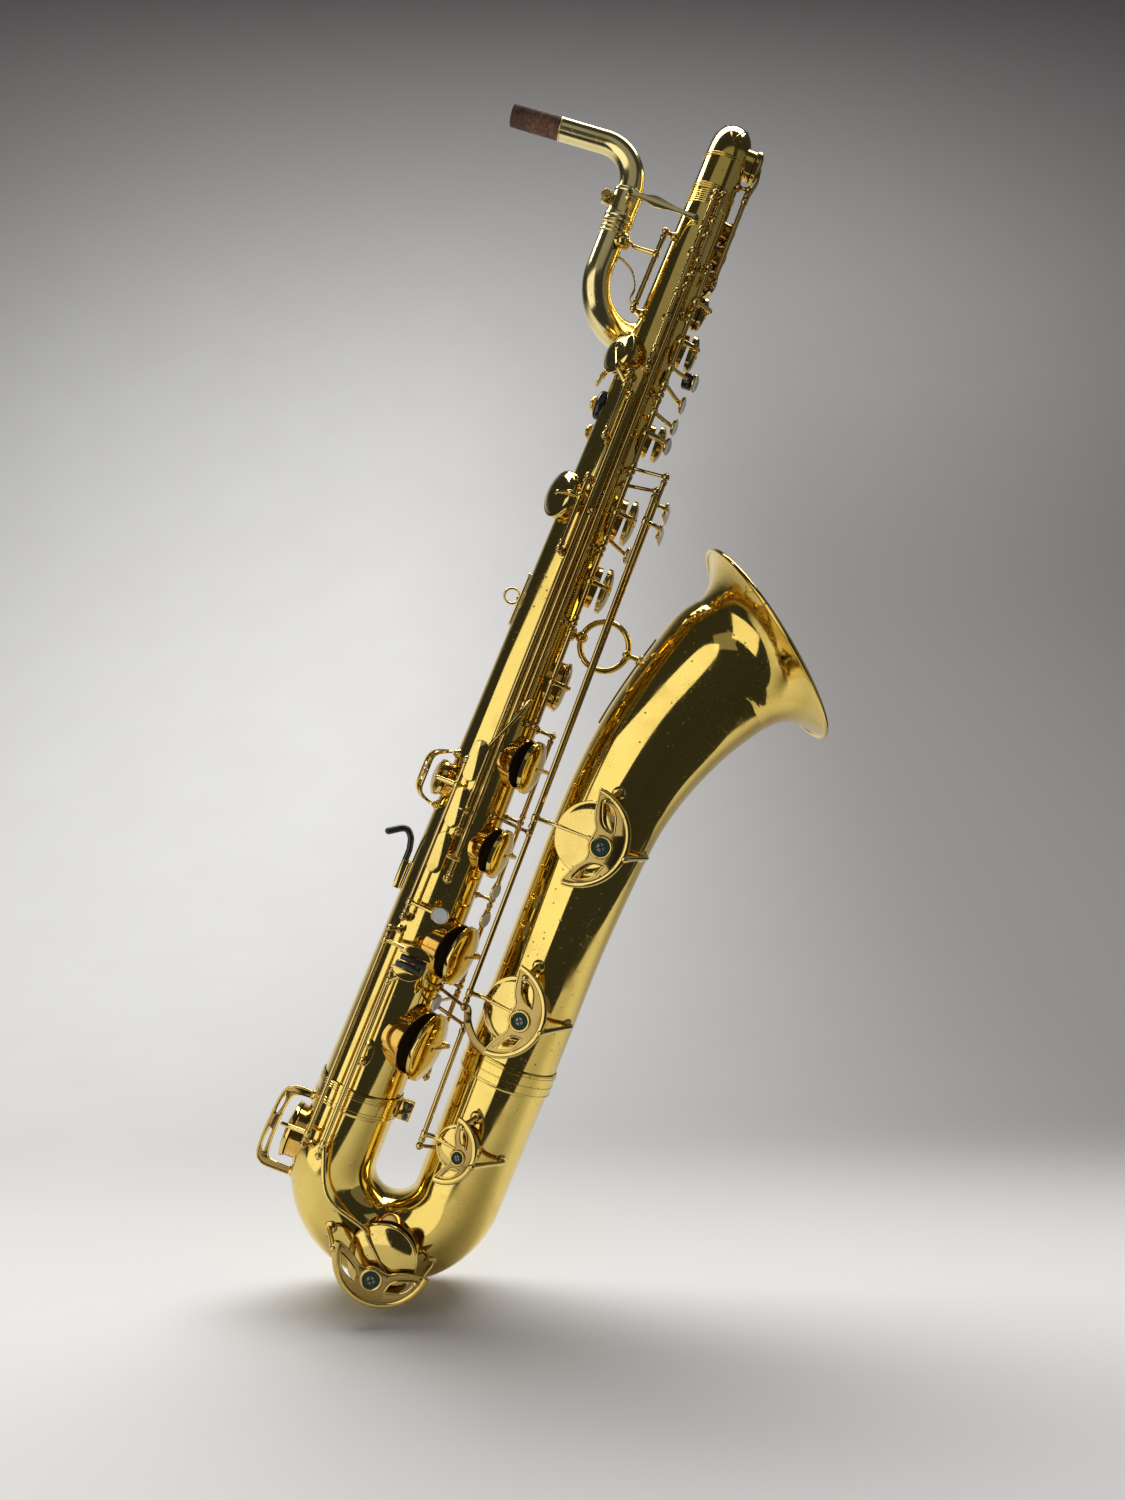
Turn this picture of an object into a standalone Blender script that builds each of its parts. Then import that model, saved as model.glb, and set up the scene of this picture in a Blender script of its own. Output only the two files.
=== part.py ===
"""Baritone saxophone, low B flat: body, bow, bell, pigtail, neck and its hinged keys.

Metres. +Z runs up the body tube, +X points to the bell and -Y to the player's right hand.
Sizes below are measured from the body tube's axis and the lowest point of the bow. The finished
parts are then moved so that the origin is the middle of the strap ring, where it hangs.
"""

import math

import bmesh
import bpy
from mathutils import Matrix, Vector

# Fits
GAP = 0.0003
WALL = 0.0011

# Body tube
BODY_BOTTOM_Z = 0.137
BODY_TOP_Z = 0.923
BODY_BOTTOM_RADIUS = 0.0335
BODY_TOP_RADIUS = 0.0177
BODY_SIDES = 24
BODY_BORE_SIDES = 12

# Bow
BOW_BEND_RADIUS = 0.053
BOW_BEND_Z = 0.089
BOW_END_Z = 0.2008
BOW_END_RADIUS = 0.0375
BOW_SIDES = 20
BOW_BORE_SIDES = 10
BOW_STEPS = 9
BELL_LEG_X = 2 * BOW_BEND_RADIUS

# Bell: its axis leans from upright to the rim's lean
BELL_LEAN = math.radians(37.3)
BELL_THROAT_REACH = 0.044
BELL_THROAT_Z = 0.567
BELL_THROAT = Vector((BELL_LEG_X + BELL_THROAT_REACH, 0, BELL_THROAT_Z))
BELL_THROAT_RADIUS = 0.059
BELL_FLARE_LENGTH = 0.0414
BELL_RIM_RADIUS = 0.0885
BELL_BEAD_RADIUS = 0.002
BELL_SIDES = 26
BELL_BORE_SIDES = 16

# Ferrules
FERRULE_WALL = 0.0018
FERRULE_LENGTH = 0.020
FERRULE_BEAD = 0.0006
FERRULE_SIDES = 20
CLAMP_LUG = Vector((0.011, 0.008, 0.016))

# Upper bow, pigtail and neck
UPPER_BEND_RADIUS = 0.0225
UPPER_BEND_RISE = 0.032
UPPER_END_RISE = 0.007
UPPER_BEND_Z = BODY_TOP_Z + UPPER_BEND_RISE
UPPER_END_Z = BODY_TOP_Z + UPPER_END_RISE
UPPER_END_RADIUS = 0.0152
PIGTAIL_FAR_X = -0.003
NECK_X = -0.0644
PIGTAIL_BEND_Z = 0.838
PIGTAIL_END_RADIUS = 0.0112
RECEIVER_BOTTOM_Z = 0.8745
RECEIVER_TOP_Z = 0.902
RECEIVER_RADIUS = 0.0126
RECEIVER_CUP_DEPTH = 0.0055
NECK_ROOT_RADIUS = 0.0106
NECK_TENON_DEPTH = 0.018
NECK_BEND_RADIUS = 0.031
NECK_DROOP = math.radians(5)
CORK_START_X = -0.1365
CORK_LENGTH = 0.0405
CORK_RADIUS = 0.0092
NECK_TIP_RADIUS = 0.0074
CROOK_SIDES = 12
CROOK_BORE_SIDES = 8
CROOK_STEPS = 8

# Keywork
CHIMNEY_HEIGHT = 0.0050
CHIMNEY_WALL = 0.0011
CHIMNEY_SIDES = 13
CUP_OVERHANG = 0.0025
FOOT_INSET = 0.0063
CUP_SIDE = 0.0036
CUP_CROWN = 0.0022
CUP_CROWN_SHARE = 0.55
PAD_LIFT = 0.0004
ROD_RADIUS = 0.0021
ROD_SIDES = 6
ARM_SIDES = 4
POST_SIDES = 5
CUP_SIDES = 12
BELL_CUP_SIDES = 16
SMALL_CUP_SIDES = 10
KNOB_SIDES = 10
ARM_RADIUS = 0.0020
TOUCH_ARM_RADIUS = 0.0018
POST_RADIUS = 0.0017
POST_BALL = 0.0031
POST_SINK = 0.0009
PEARL_RADIUS = 0.0072
PEARL_THICKNESS = 0.0042
# Its half section, in shares of the radius and the thickness
PEARL_PROFILE = ((0, 1), (0.8, 1), (1, 0.7), (1, 0), (0, 0))

# Strap ring, thumb hook and thumb rest, on the back of the body. The strap ring stands below the
# side B flat hole and the thumb rest above it.
SIDE_B_FLAT_Z = 0.650
STRAP_BELOW_HOLE = 0.089
STRAP_Z = SIDE_B_FLAT_Z - STRAP_BELOW_HOLE
STRAP_RING_RADIUS = 0.0062
STRAP_WIRE = 0.0010
STRAP_PLATE = Vector((0.0016, 0.007, 0.046))
HOOK_Z = 0.316
HOOK_PLATE = Vector((0.0016, 0.0125, 0.024))
HOOK_WIRE = 0.0026
HOOK_RISE = 0.034
HOOK_REACH = 0.0215
HOOK_BEND_SHARE = 0.85
HOOK_CREST_SHARE = 1.28
HOOK_TIP_SHARE = 1.08
HOOK_CREST_REACH_SHARE = 0.45
HOOK_SHOULDER = Vector((0.002, 0, 0.0025))
THUMB_REST_ABOVE_HOLE = 0.083
THUMB_REST_Z = SIDE_B_FLAT_Z + THUMB_REST_ABOVE_HOLE
THUMB_REST_RADIUS = 0.0072
THUMB_REST_STRETCH = 1.7
THUMB_REST_HEIGHT = 0.0055
# Its half section, in shares of the radius and the height
THUMB_REST_PROFILE = ((0, 1), (0.7, 0.9), (1, 0.5), (1, 0), (0, 0))

# Bell brace
BRACE_Z = 0.550
BRACE_BELL_STUB = 0.0118
BRACE_WIRE = 0.0021
BRACE_SIDES = 16
BRACE_BALL = 0.0052
BRACE_BELL_BALL = 0.0042
BRACE_FOOT_RADIUS = 0.006
BRACE_FOOT_THICKNESS = 0.002

# Palm key holes, measured down from the top of the body
PALM_D_DROP = 0.0620
PALM_E_FLAT_DROP = 0.0395
PALM_F_DROP = 0.0180

# Tone holes on the body: height, angle round the body, hole radius
BODY_HOLES = {
    "low_d": (0.197, -32, 0.0255),
    "low_e": (0.275, -32, 0.0222),
    "low_f": (0.362, -29, 0.0180),
    "low_f_sharp": (0.436, -30, 0.0195),
    "g_sharp": (0.506, 0, 0.0185),
    "g": (0.592, 5, 0.0165),
    "a": (0.651, 5, 0.0165),
    "b": (0.720, 5, 0.0125),
    "c": (0.7985, 5, 0.0128),
    "front_f": (0.8325, 5, 0.0120),
    "side_b_flat": (SIDE_B_FLAT_Z, -146, 0.0175),
    "side_c": (0.774, -144, 0.0155),
    "trill": (0.402, -160, 0.0125),
    "palm_d": (BODY_TOP_Z - PALM_D_DROP, 25, 0.0085),
    "palm_e_flat": (BODY_TOP_Z - PALM_E_FLAT_DROP, 25, 0.0080),
    "palm_f": (BODY_TOP_Z - PALM_F_DROP, 25, 0.0075),
}
# Tone holes on the bow: point on its axis, angle, hole radius
LOW_C_BEND_ANGLE = math.radians(-75)
LOW_C_AXIS = Vector(
    (
        BOW_BEND_RADIUS * (1 + math.cos(LOW_C_BEND_ANGLE)),
        0,
        BOW_BEND_Z + BOW_BEND_RADIUS * math.sin(LOW_C_BEND_ANGLE),
    )
)
C_SHARP_HOLE_Z = 0.137
BOW_HOLES = {
    "low_c_sharp": (Vector((BELL_LEG_X, 0, C_SHARP_HOLE_Z)), -112, 0.0155),
    "low_c": (LOW_C_AXIS, -90, 0.0253),
    "low_e_flat": (Vector((0, 0, BOW_BEND_Z)), 180, 0.0203),
}
# Tone holes on the bell: height, angle, hole radius
BELL_HOLES = {
    "low_b_flat": (0.4026, -101.5, 0.0268),
    "low_b": (0.2550, -108, 0.0243),
}
HIGH_E_HOLE = (Vector((0, 0.003, 0.961)), 0, 0.0110)
# Bell stations below the throat: axis off the bell leg, height, outer radius
BELL_STATIONS = [
    (0, BOW_END_Z + GAP, BOW_END_RADIUS),
    (-0.0002, BELL_HOLES["low_b"][0], 0.0380),
    (-0.0004, 0.320, 0.0387),
    (0.0016, BELL_HOLES["low_b_flat"][0], 0.0416),
    (0.0050, 0.443, 0.0440),
    (0.0130, 0.484, 0.0480),
    (0.0260, 0.525, 0.0525),
]
FLARE_SHARES = (0.40, 0.68, 0.87, 1.0)
FLARE_POWER = 3.4

# Octave pip on the pigtail's near leg
OCTAVE_PIP_ANGLE = -45
OCTAVE_PIP_Z = 0.8605
OCTAVE_PIP_HEIGHT = 0.003
OCTAVE_PIP_RADIUS = 0.004

# Hinges on the body: angle round it, height above it, lower and upper post
STACK_POSTS = (0.166, 0.246, 0.322, 0.390, 0.466)
UPPER_POSTS = (0.556, 0.620, 0.686, 0.752, 0.820, 0.862)
STACK_ANGLE = 10
STACK_HEIGHT = 0.014
UPPER_ANGLE = -48
UPPER_HEIGHT = 0.010
# Hinges that stand free of the body: lower and upper post ball
C_SHARP_HINGE = (
    Vector((BELL_LEG_X - 0.0445, -0.040, C_SHARP_HOLE_Z - 0.009)),
    Vector((BELL_LEG_X - 0.0465, -0.040, C_SHARP_HOLE_Z + 0.092)),
)
C_SHARP_POST_ANGLE = -135
LOW_C_POST_ANGLE = -102
E_FLAT_POST_ANGLE = -123
C_SHARP_TOP_POST_ANGLE = -20
LOW_B_POST_ANGLES = (-20, -26)
LOW_B_FLAT_POST_ANGLES = (-45, -37)
HIGH_E_POST_ANGLE = -12
OCTAVE_LEVER_POST_ANGLES = (177, 143)
# The low B and B flat hinges run up between the bow's legs
LOW_B_HINGE = (
    Vector((BOW_BEND_RADIUS + 0.0010, -0.042, 0.243)),
    Vector((BOW_BEND_RADIUS - 0.0040, -0.0235, 0.692)),
)
LOW_B_FLAT_HINGE = (
    Vector((BOW_BEND_RADIUS - 0.0015, -0.0470, 0.389)),
    Vector((BOW_BEND_RADIUS - 0.0070, -0.0350, 0.676)),
)
LOW_C_HINGE = (Vector((-0.0092, -0.0440, 0.093)), Vector((-0.0088, -0.0425, 0.250)))
E_FLAT_HINGE = (Vector((-0.0243, -0.0372, 0.094)), Vector((-0.0232, -0.0356, 0.278)))
HIGH_E_HINGE = (Vector((0.0268, -0.0075, 0.856)), Vector((0.0262, -0.0075, 0.938)))
OCTAVE_LEVER_ABOVE_REST = 0.037
OCTAVE_LEVER_Z = THUMB_REST_Z + OCTAVE_LEVER_ABOVE_REST
OCTAVE_LEVER_ENDS_Y = (0.0015, 0.0215)
OCTAVE_LEVER_X = -0.0280
OCTAVE_TOUCH_X = -0.0310
OCTAVE_TOUCH_Y = 0.0058
OCTAVE_TOUCH_ABOVE_REST = 0.010
OCTAVE_FACING = Vector((-1, 0, 0.25)).normalized()
OCTAVE_TOUCH = (0.016, 0.015, 0.002)
OCTAVE_TRAVEL = 6

# Side keys: rod angle, lower and upper post, touch height
SIDE_HEIGHT = 0.007
SIDE_TRAVEL = 7
SIDE_FACING = Vector((-0.15, -1, 0)).normalized()
SIDE_LEVERS = {
    "lever_side_b_flat": (-81.5, 0.330, 0.645, 0.349),
    "lever_side_c": (-92, 0.368, 0.742, 0.387),
    "lever_high_e": (-72, 0.472, 0.842, 0.426),
}
SIDE_TOUCH = (0.012, 0.034, 0.0022)
SIDE_TOUCH_X = -0.008
SIDE_TOUCH_Y = -0.0465
SIDE_KNEE = 0.0105
SIDE_CUP_ANGLE = -104
SIDE_CUP_HEIGHT = 0.012
SIDE_B_FLAT_POSTS = (0.606, 0.668)
SIDE_C_POSTS = (0.703, 0.757)
# Palm keys: rod angle, lower and upper post, touch place
PALM_HEIGHT = 0.0042
PALM_KEYS = {
    "palm_d": (60, 0.684, 0.866, Vector((-0.017, 0.031, 0.695))),
    "palm_e_flat": (78, 0.704, 0.890, Vector((-0.022, 0.027, 0.716))),
    "palm_f": (96, 0.725, 0.913, Vector((-0.027, 0.022, 0.738))),
}
PALM_TOUCH = (0.015, 0.014, 0.0022)
TRILL_HINGE = (-115, 0.009, 0.290, 0.424)
TRILL_PEARL = Vector((0.0105, -0.0435, 0.303))
OCTAVE_HINGE = (-154, 0.0085, 0.812, 0.880)
PINKY_TOUCH = Vector((0.0045, -0.0560, 0.262))
PINKY_RADIUS = 0.0140
PINKY_THICKNESS = 0.0025
PINKY_ARM_SHARE = 0.6
ROLLER_RADIUS = 0.0024
ROLLER_LENGTH = 0.021
TABLE_X = BOW_BEND_RADIUS + 0.0045
TABLE_Y = -0.006
TABLE_KNEE_X = BOW_BEND_RADIUS + 0.0052
LOW_B_KNEE_Y = -0.0215
LOW_B_FLAT_KNEE_Y = -0.029
LOW_B_TOUCH_Z = 0.668
LOW_B_FLAT_TOUCH_Z = 0.650
TABLE_TOUCH = (0.034, 0.014, 0.0022)

# How far each kind of key opens, in degrees
STACK_OPENS = 11
CLOSED_OPENS = 9
# How far the middle of an open bell key's cup stands off its rim
BELL_LIFTS = {"low_b": 0.00536, "low_b_flat": 0.00652}
PINKY_OPENS = 7
G_SHARP_LOW_Z = 0.468

# Finger pearls of the stacks, from the bottom up: height and angle on the body
LOWER_STACK = {
    "d": (0.2375, -62),
    "e": (0.3095, -32),
    "f": (0.3335, -32),
    "f_sharp": (None, None),
}
LOWER_PEARL_HEIGHT = 0.0125
LOWER_PEARL_FACING = -36
UPPER_STACK = {"g": None, "a": 0.6255, "b": 0.7370, "c": 0.7560}
UPPER_PEARL_ANGLE = 0
UPPER_PEARL_HEIGHT = 0.0125

# Neck brace and clamp
NECK_BRACE_Z = 0.8955
NECK_BRACE_Y = -0.0208
NECK_BRACE_WIDTH = 0.0090
NECK_BRACE_END_WIDTH = 0.0050
NECK_BRACE_THICKNESS = 0.0020
NECK_BRACE_BODY_X = -0.0050
NECK_BRACE_NECK_X = -0.0619
NECK_BRACE_WIDEST_X = -0.0391
NECK_BRACE_FOOT_RADIUS = 0.0022
CLAMP_LUG_REACH = 0.0075
CLAMP_LUG_HEIGHT = 0.012
CLAMP_LUG_WIDTH = 0.005
CLAMP_SCREW_RADIUS = 0.0018
CLAMP_KNOB_RADIUS = 0.0040
CLAMP_KNOB_END_RADIUS = 0.0034
CLAMP_KNOB_LENGTH = 0.0045

# Key guards: plate sizes at full scale
GUARD_THICKNESS = 0.0016
GUARD_ARC_RADIUS = 0.037
GUARD_ARC_CENTRE = -0.004
GUARD_FROM = 80
GUARD_TO = -85
GUARD_WAIST_X = 0.005
GUARD_WAIST_SHARE = 0.7
GUARD_HUB = (0.0132, -0.005)
GUARD_HUB_RADIUS = 0.0085
GUARD_LEAF_RADIUS = 0.0315
GUARD_LEAVES = ((66, 26), (-36, -72))
GUARD_LEAF_PULL = 0.86
GUARD_LEG_RADIUS = 0.0018
GUARD_FOOT = 0.004
BUMPER_RADIUS = 0.0052
GUARD_UPPER_TIP = (0.0030, 0.0320)
GUARD_FAR_SIDE = (0.0325, -0.004)
GUARD_LOWER_TIP = (0.0005, -0.0395)
# Each crescent guard: scale, height over the rim, turn, height of the felt's foot
GUARDS = {
    "low_b_flat": (1.0, 0.0185, 0, 0.0160),
    "low_b": (0.93, 0.0175, 0, 0.0148),
    "low_c_sharp": (0.66, 0.0150, 0, 0.0129),
    "low_c": (0.97, 0.0200, -90, 0.0172),
}
# Guard feet on a straight tube: height above the hole's middle, angle round the tube
GUARD_FEET = {
    "low_b_flat": ((0.041, -97), (0, -32)),
    "low_b": ((0.038, -103), (0, -38)),
    "low_c_sharp": ((0.0265, -107), (0, -58)),
}
# Guard feet on the bow: angle round the bend, distance outwards from its axis
LOW_C_GUARD_FEET = ((-43, 0.0150), (-124, 0.0060))

E_FLAT_GUARD_X = -0.0572
E_FLAT_GUARD_TOP = 0.121
E_FLAT_GUARD_BOTTOM = 0.056
E_FLAT_GUARD_CORNER = 0.006
TRILL_GUARD_HEIGHT = 0.0125
TRILL_GUARD_SPREAD = 0.004
TRILL_SPOKE_SHARE = 0.8

# Finishes: base colour, roughness, metallic
BRASS = ("lacquered_brass", (0.72, 0.50, 0.16), 0.22, 1.0)
DARK_BRASS = ("aged_brass", (0.52, 0.36, 0.12), 0.30, 1.0)
CORK = ("cork", (0.22, 0.12, 0.08), 0.85, 0.0)
BLACK = ("black_resin", (0.012, 0.012, 0.012), 0.25, 0.0)
FELT = ("bumper_felt", (0.02, 0.05, 0.035), 0.95, 0.0)

UP = Vector((0, 0, 1))

# Rim, outward direction and radius of each tone hole, noted as the holes are cut
seats = {}


def clear_scene():
    for item in list(bpy.data.objects):
        bpy.data.objects.remove(item, do_unlink=True)


def new_collection(name):
    group = bpy.data.collections.new(name)
    bpy.context.scene.collection.children.link(group)
    return group


def finish(spec):
    name, colour, roughness, metallic = spec
    found = bpy.data.materials.get(name)
    if found:
        return found
    made = bpy.data.materials.new(name)
    made.use_nodes = True
    shader = made.node_tree.nodes["Principled BSDF"]
    shader.inputs["Base Color"].default_value = (*colour, 1)
    shader.inputs["Roughness"].default_value = roughness
    shader.inputs["Metallic"].default_value = metallic
    return made


def frame_on(origin, z_axis, x_hint=Vector((1, 0, 0))):
    """A matrix at origin whose Z is z_axis and whose X leans to x_hint."""
    z = z_axis.normalized()
    x = x_hint - z * x_hint.dot(z)
    if x.length < 1e-6:
        x = z.orthogonal()
    x.normalize()
    y = z.cross(x)
    turn = Matrix((x, y, z)).transposed().to_4x4()
    return Matrix.Translation(origin) @ turn


def scratch(mesh):
    item = bpy.data.objects.new("piece", mesh)
    workbench.objects.link(item)
    return item


def from_bmesh(shape, matrix=Matrix.Identity(4)):
    mesh = bpy.data.meshes.new("piece")
    bmesh.ops.transform(shape, matrix=matrix, verts=shape.verts)
    shape.to_mesh(mesh)
    shape.free()
    return scratch(mesh)


def rod(start, end, radius, end_radius=None, sides=ROD_SIDES):
    """A straight round bar from start to end."""
    shape = bmesh.new()
    length = (end - start).length
    tip = radius if end_radius is None else end_radius
    bmesh.ops.create_cone(
        shape, cap_ends=True, segments=sides, radius1=radius, radius2=tip, depth=length
    )
    return from_bmesh(shape, frame_on((start + end) / 2, end - start))


def ball(centre, radius, sides=6):
    shape = bmesh.new()
    bmesh.ops.create_uvsphere(shape, u_segments=sides, v_segments=sides // 2 + 1, radius=radius)
    return from_bmesh(shape, Matrix.Translation(centre))


def block(size, matrix):
    shape = bmesh.new()
    bmesh.ops.create_cube(shape, size=1)
    return from_bmesh(shape, matrix @ Matrix.Diagonal((*size, 1)))


def turned(profile, matrix, sides):
    """A solid of revolution about the matrix's Z from (radius, height) points, top to bottom."""
    mesh = bpy.data.meshes.new("profile")
    points = [(radius, 0, height) for radius, height in profile]
    mesh.from_pydata(points, [(i, i + 1) for i in range(len(points) - 1)], [])
    item = scratch(mesh)
    screw = item.modifiers.new("turn", "SCREW")
    screw.steps = sides
    screw.render_steps = sides
    screw.use_merge_vertices = True
    screw.merge_threshold = 0.00001
    item.matrix_world = matrix
    return settled(item)


def settled(item):
    """The evaluated item as a plain mesh in world space, its seams welded."""
    bpy.context.view_layer.update()
    ready = item.evaluated_get(bpy.context.evaluated_depsgraph_get())
    mesh = bpy.data.meshes.new_from_object(ready)
    mesh.transform(item.matrix_world)
    shape = bmesh.new()
    shape.from_mesh(mesh)
    bmesh.ops.remove_doubles(shape, verts=shape.verts, dist=0.000002)
    bmesh.ops.recalc_face_normals(shape, faces=shape.faces)
    shape.to_mesh(mesh)
    shape.free()
    bpy.data.objects.remove(item, do_unlink=True)
    return scratch(mesh)


def tube(points, radii, sides):
    """A capped tube through points. radii is one radius or one for each point."""
    path = bpy.data.curves.new("path", "CURVE")
    path.dimensions = "3D"
    path.use_fill_caps = True
    path.bevel_resolution = (sides - 4) // 2
    path.bevel_depth = 1.0
    path.twist_mode = "MINIMUM"
    line = path.splines.new("POLY")
    line.points.add(len(points) - 1)
    for index, point in enumerate(points):
        line.points[index].co = (*point, 1)
        line.points[index].radius = radii[index] if isinstance(radii, list) else radii
    item = bpy.data.objects.new("path", path)
    workbench.objects.link(item)
    return settled(item)


def ring(centre, axis, radius, wire, sides, wire_sides=6):
    """A round wire ring."""
    path = bpy.data.curves.new("path", "CURVE")
    path.dimensions = "3D"
    path.bevel_resolution = (wire_sides - 4) // 2
    path.bevel_depth = wire
    line = path.splines.new("POLY")
    line.points.add(sides - 1)
    place = frame_on(centre, axis)
    for index, point in enumerate(line.points):
        angle = math.tau * index / sides
        spot = place @ Vector((radius * math.cos(angle), radius * math.sin(angle), 0))
        point.co = (*spot, 1)
    line.use_cyclic_u = True
    item = bpy.data.objects.new("path", path)
    workbench.objects.link(item)
    return settled(item)


def plate(outlines, thickness, matrix):
    """A flat plate: the first outline is its edge and the rest are openings in it."""
    path = bpy.data.curves.new("outline", "CURVE")
    path.dimensions = "2D"
    path.fill_mode = "BOTH"
    path.extrude = thickness / 2
    for outline in outlines:
        line = path.splines.new("POLY")
        line.points.add(len(outline) - 1)
        for index, (x, y) in enumerate(outline):
            line.points[index].co = (x, y, 0, 1)
        line.use_cyclic_u = True
    item = bpy.data.objects.new("outline", path)
    item.matrix_world = matrix
    workbench.objects.link(item)
    return settled(item)


def combine(base, others, operation):
    """base with every other joined to it or cut from it. The others are used up."""
    for other in others:
        step = base.modifiers.new("combine", "BOOLEAN")
        step.operation = operation
        step.object = other
        step.solver = "EXACT"
    result = settled(base)
    for other in others:
        bpy.data.objects.remove(other, do_unlink=True)
    return result


def add_part(name, spec, pieces, pivot=Matrix.Identity(4), swing=0.0):
    """Joins pieces into the named part, with its origin at pivot, turned by swing about pivot's Z."""
    item = combine(pieces[0], pieces[1:], "UNION") if len(pieces) > 1 else pieces[0]
    workbench.objects.unlink(item)
    item.name = name
    item.data.name = name
    item.data.transform(pivot.inverted())
    placed = Matrix.Translation(-hang_point()) @ pivot
    item.matrix_world = placed @ Matrix.Rotation(swing, 4, "Z")
    item.data.materials.clear()
    item.data.materials.append(finish(spec))
    item.data.shade_smooth()
    item.data.set_sharp_from_angle(angle=math.radians(35))
    instrument.objects.link(item)
    return item


def body_radius(z):
    share = (z - BODY_BOTTOM_Z) / (BODY_TOP_Z - BODY_BOTTOM_Z)
    return BODY_BOTTOM_RADIUS + share * (BODY_TOP_RADIUS - BODY_BOTTOM_RADIUS)


def around(angle):
    """Unit vector at angle degrees from +X towards +Y."""
    return Vector((math.cos(math.radians(angle)), math.sin(math.radians(angle)), 0))


def on_body(z, angle, height):
    return around(angle) * (body_radius(z) + height) + UP * z


def hang_point():
    """The middle of the strap ring's loop."""
    return on_body(STRAP_Z, 180, GAP + STRAP_PLATE.x + STRAP_RING_RADIUS - STRAP_WIRE / 4)


def smooth_path(points, steps):
    """Points of a Catmull-Rom curve through points, with steps pieces to each span."""
    ends = [points[0] * 2 - points[1], *points, points[-1] * 2 - points[-2]]
    found = []
    for index in range(1, len(ends) - 2):
        before, start, stop, after = ends[index - 1 : index + 3]
        for step in range(steps):
            t = step / steps
            found.append(
                start
                + (stop - before) * (t / 2)
                + (before * 2 - start * 5 + stop * 4 - after) * (t * t / 2)
                + (start * 3 - before - stop * 3 + after) * (t**3 / 2)
            )
    return [*found, points[-1]]


def arc(centre, from_dir, to_dir, radius, turn, steps):
    """Points of an arc about centre, starting along from_dir and heading for to_dir."""
    angles = [turn * step / steps for step in range(steps + 1)]
    return [centre + (from_dir * math.cos(a) + to_dir * math.sin(a)) * radius for a in angles]


def past_ends(points, amount):
    """points with both ends moved outwards by amount."""
    first = points[0] + (points[0] - points[1]).normalized() * amount
    last = points[-1] + (points[-1] - points[-2]).normalized() * amount
    return [first, *points[1:-1], last]


def seat_hole(name, axis_point, angle, tube_radius, hole_radius):
    """Notes where the hole's rim lies, for its key, and returns its chimney and its bore."""
    normal = around(angle)
    rim = axis_point + normal * (tube_radius + CHIMNEY_HEIGHT)
    seats[name] = (rim, normal, hole_radius)
    wall = rod(axis_point, rim, hole_radius + CHIMNEY_WALL, sides=CHIMNEY_SIDES)
    bore = rod(axis_point, rim + normal * CHIMNEY_HEIGHT, hole_radius, sides=CHIMNEY_SIDES)
    return wall, bore


def hollow(outer, bore, chimneys):
    """outer joined to its chimneys, then opened by its bore and theirs."""
    shell = combine(outer, [wall for wall, _ in chimneys], "UNION")
    return combine(shell, [bore, *(cut for _, cut in chimneys)], "DIFFERENCE")


def thinner(radii):
    return [radius - WALL for radius in radii]


def body_shell():
    ends = [UP * BODY_BOTTOM_Z, UP * BODY_TOP_Z]
    radii = [BODY_BOTTOM_RADIUS, BODY_TOP_RADIUS]
    outer = tube(ends, radii, BODY_SIDES)
    bore = tube(past_ends(ends, WALL), thinner(radii), BODY_BORE_SIDES)
    holes = []
    for name, (z, angle, radius) in BODY_HOLES.items():
        holes.append(seat_hole(name, UP * z, angle, body_radius(z), radius))
    return hollow(outer, bore, holes)


def bow_path():
    """Axis points of the bow and the tube radius at each."""
    bend = Vector((BOW_BEND_RADIUS, 0, BOW_BEND_Z))
    turn = arc(bend, Vector((-1, 0, 0)), -UP, BOW_BEND_RADIUS, math.pi, BOW_STEPS)
    start = UP * (BODY_BOTTOM_Z - GAP)
    end = Vector((BELL_LEG_X, 0, BOW_END_Z))
    points = [start, *turn, end]
    travelled = [0.0]
    for before, after in zip(points, points[1:]):
        travelled.append(travelled[-1] + (after - before).length)
    growth = (BOW_END_RADIUS - BODY_BOTTOM_RADIUS) / travelled[-1]
    return points, [BODY_BOTTOM_RADIUS + growth * length for length in travelled]


def bow_radius_at(point):
    points, radii = bow_path()
    nearest = min(range(len(points)), key=lambda index: (points[index] - point).length)
    return radii[nearest]


def make_bow():
    points, radii = bow_path()
    outer = tube(points, radii, BOW_SIDES)
    bore = tube(past_ends(points, WALL), thinner(radii), BOW_BORE_SIDES)
    holes = []
    for name, (axis_point, angle, radius) in BOW_HOLES.items():
        holes.append(seat_hole(name, axis_point, angle, bow_radius_at(axis_point), radius))
    shell = hollow(outer, bore, holes)
    posts = []
    for top, leg_x, angle in (
        (C_SHARP_HINGE[0], BELL_LEG_X, C_SHARP_POST_ANGLE),
        (LOW_C_HINGE[0], 0, LOW_C_POST_ANGLE),
        (E_FLAT_HINGE[0], 0, E_FLAT_POST_ANGLE),
    ):
        axis_point = Vector((leg_x, 0, top.z))
        posts += post(axis_point + around(angle) * (bow_radius_at(axis_point) - WALL), top)
    add_part("bow", BRASS, [shell, *posts])


def bell_path():
    points = [Vector((BELL_LEG_X + x, 0, z)) for x, z, _ in BELL_STATIONS]
    radii = [radius for _, _, radius in BELL_STATIONS]
    lean = Vector((math.sin(BELL_LEAN), 0, math.cos(BELL_LEAN)))
    for share in (0.0, *FLARE_SHARES):
        points.append(BELL_THROAT + lean * (BELL_FLARE_LENGTH * share))
        growth = (BELL_RIM_RADIUS - BELL_THROAT_RADIUS) * share**FLARE_POWER
        radii.append(BELL_THROAT_RADIUS + growth)
    return points, radii, lean


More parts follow.
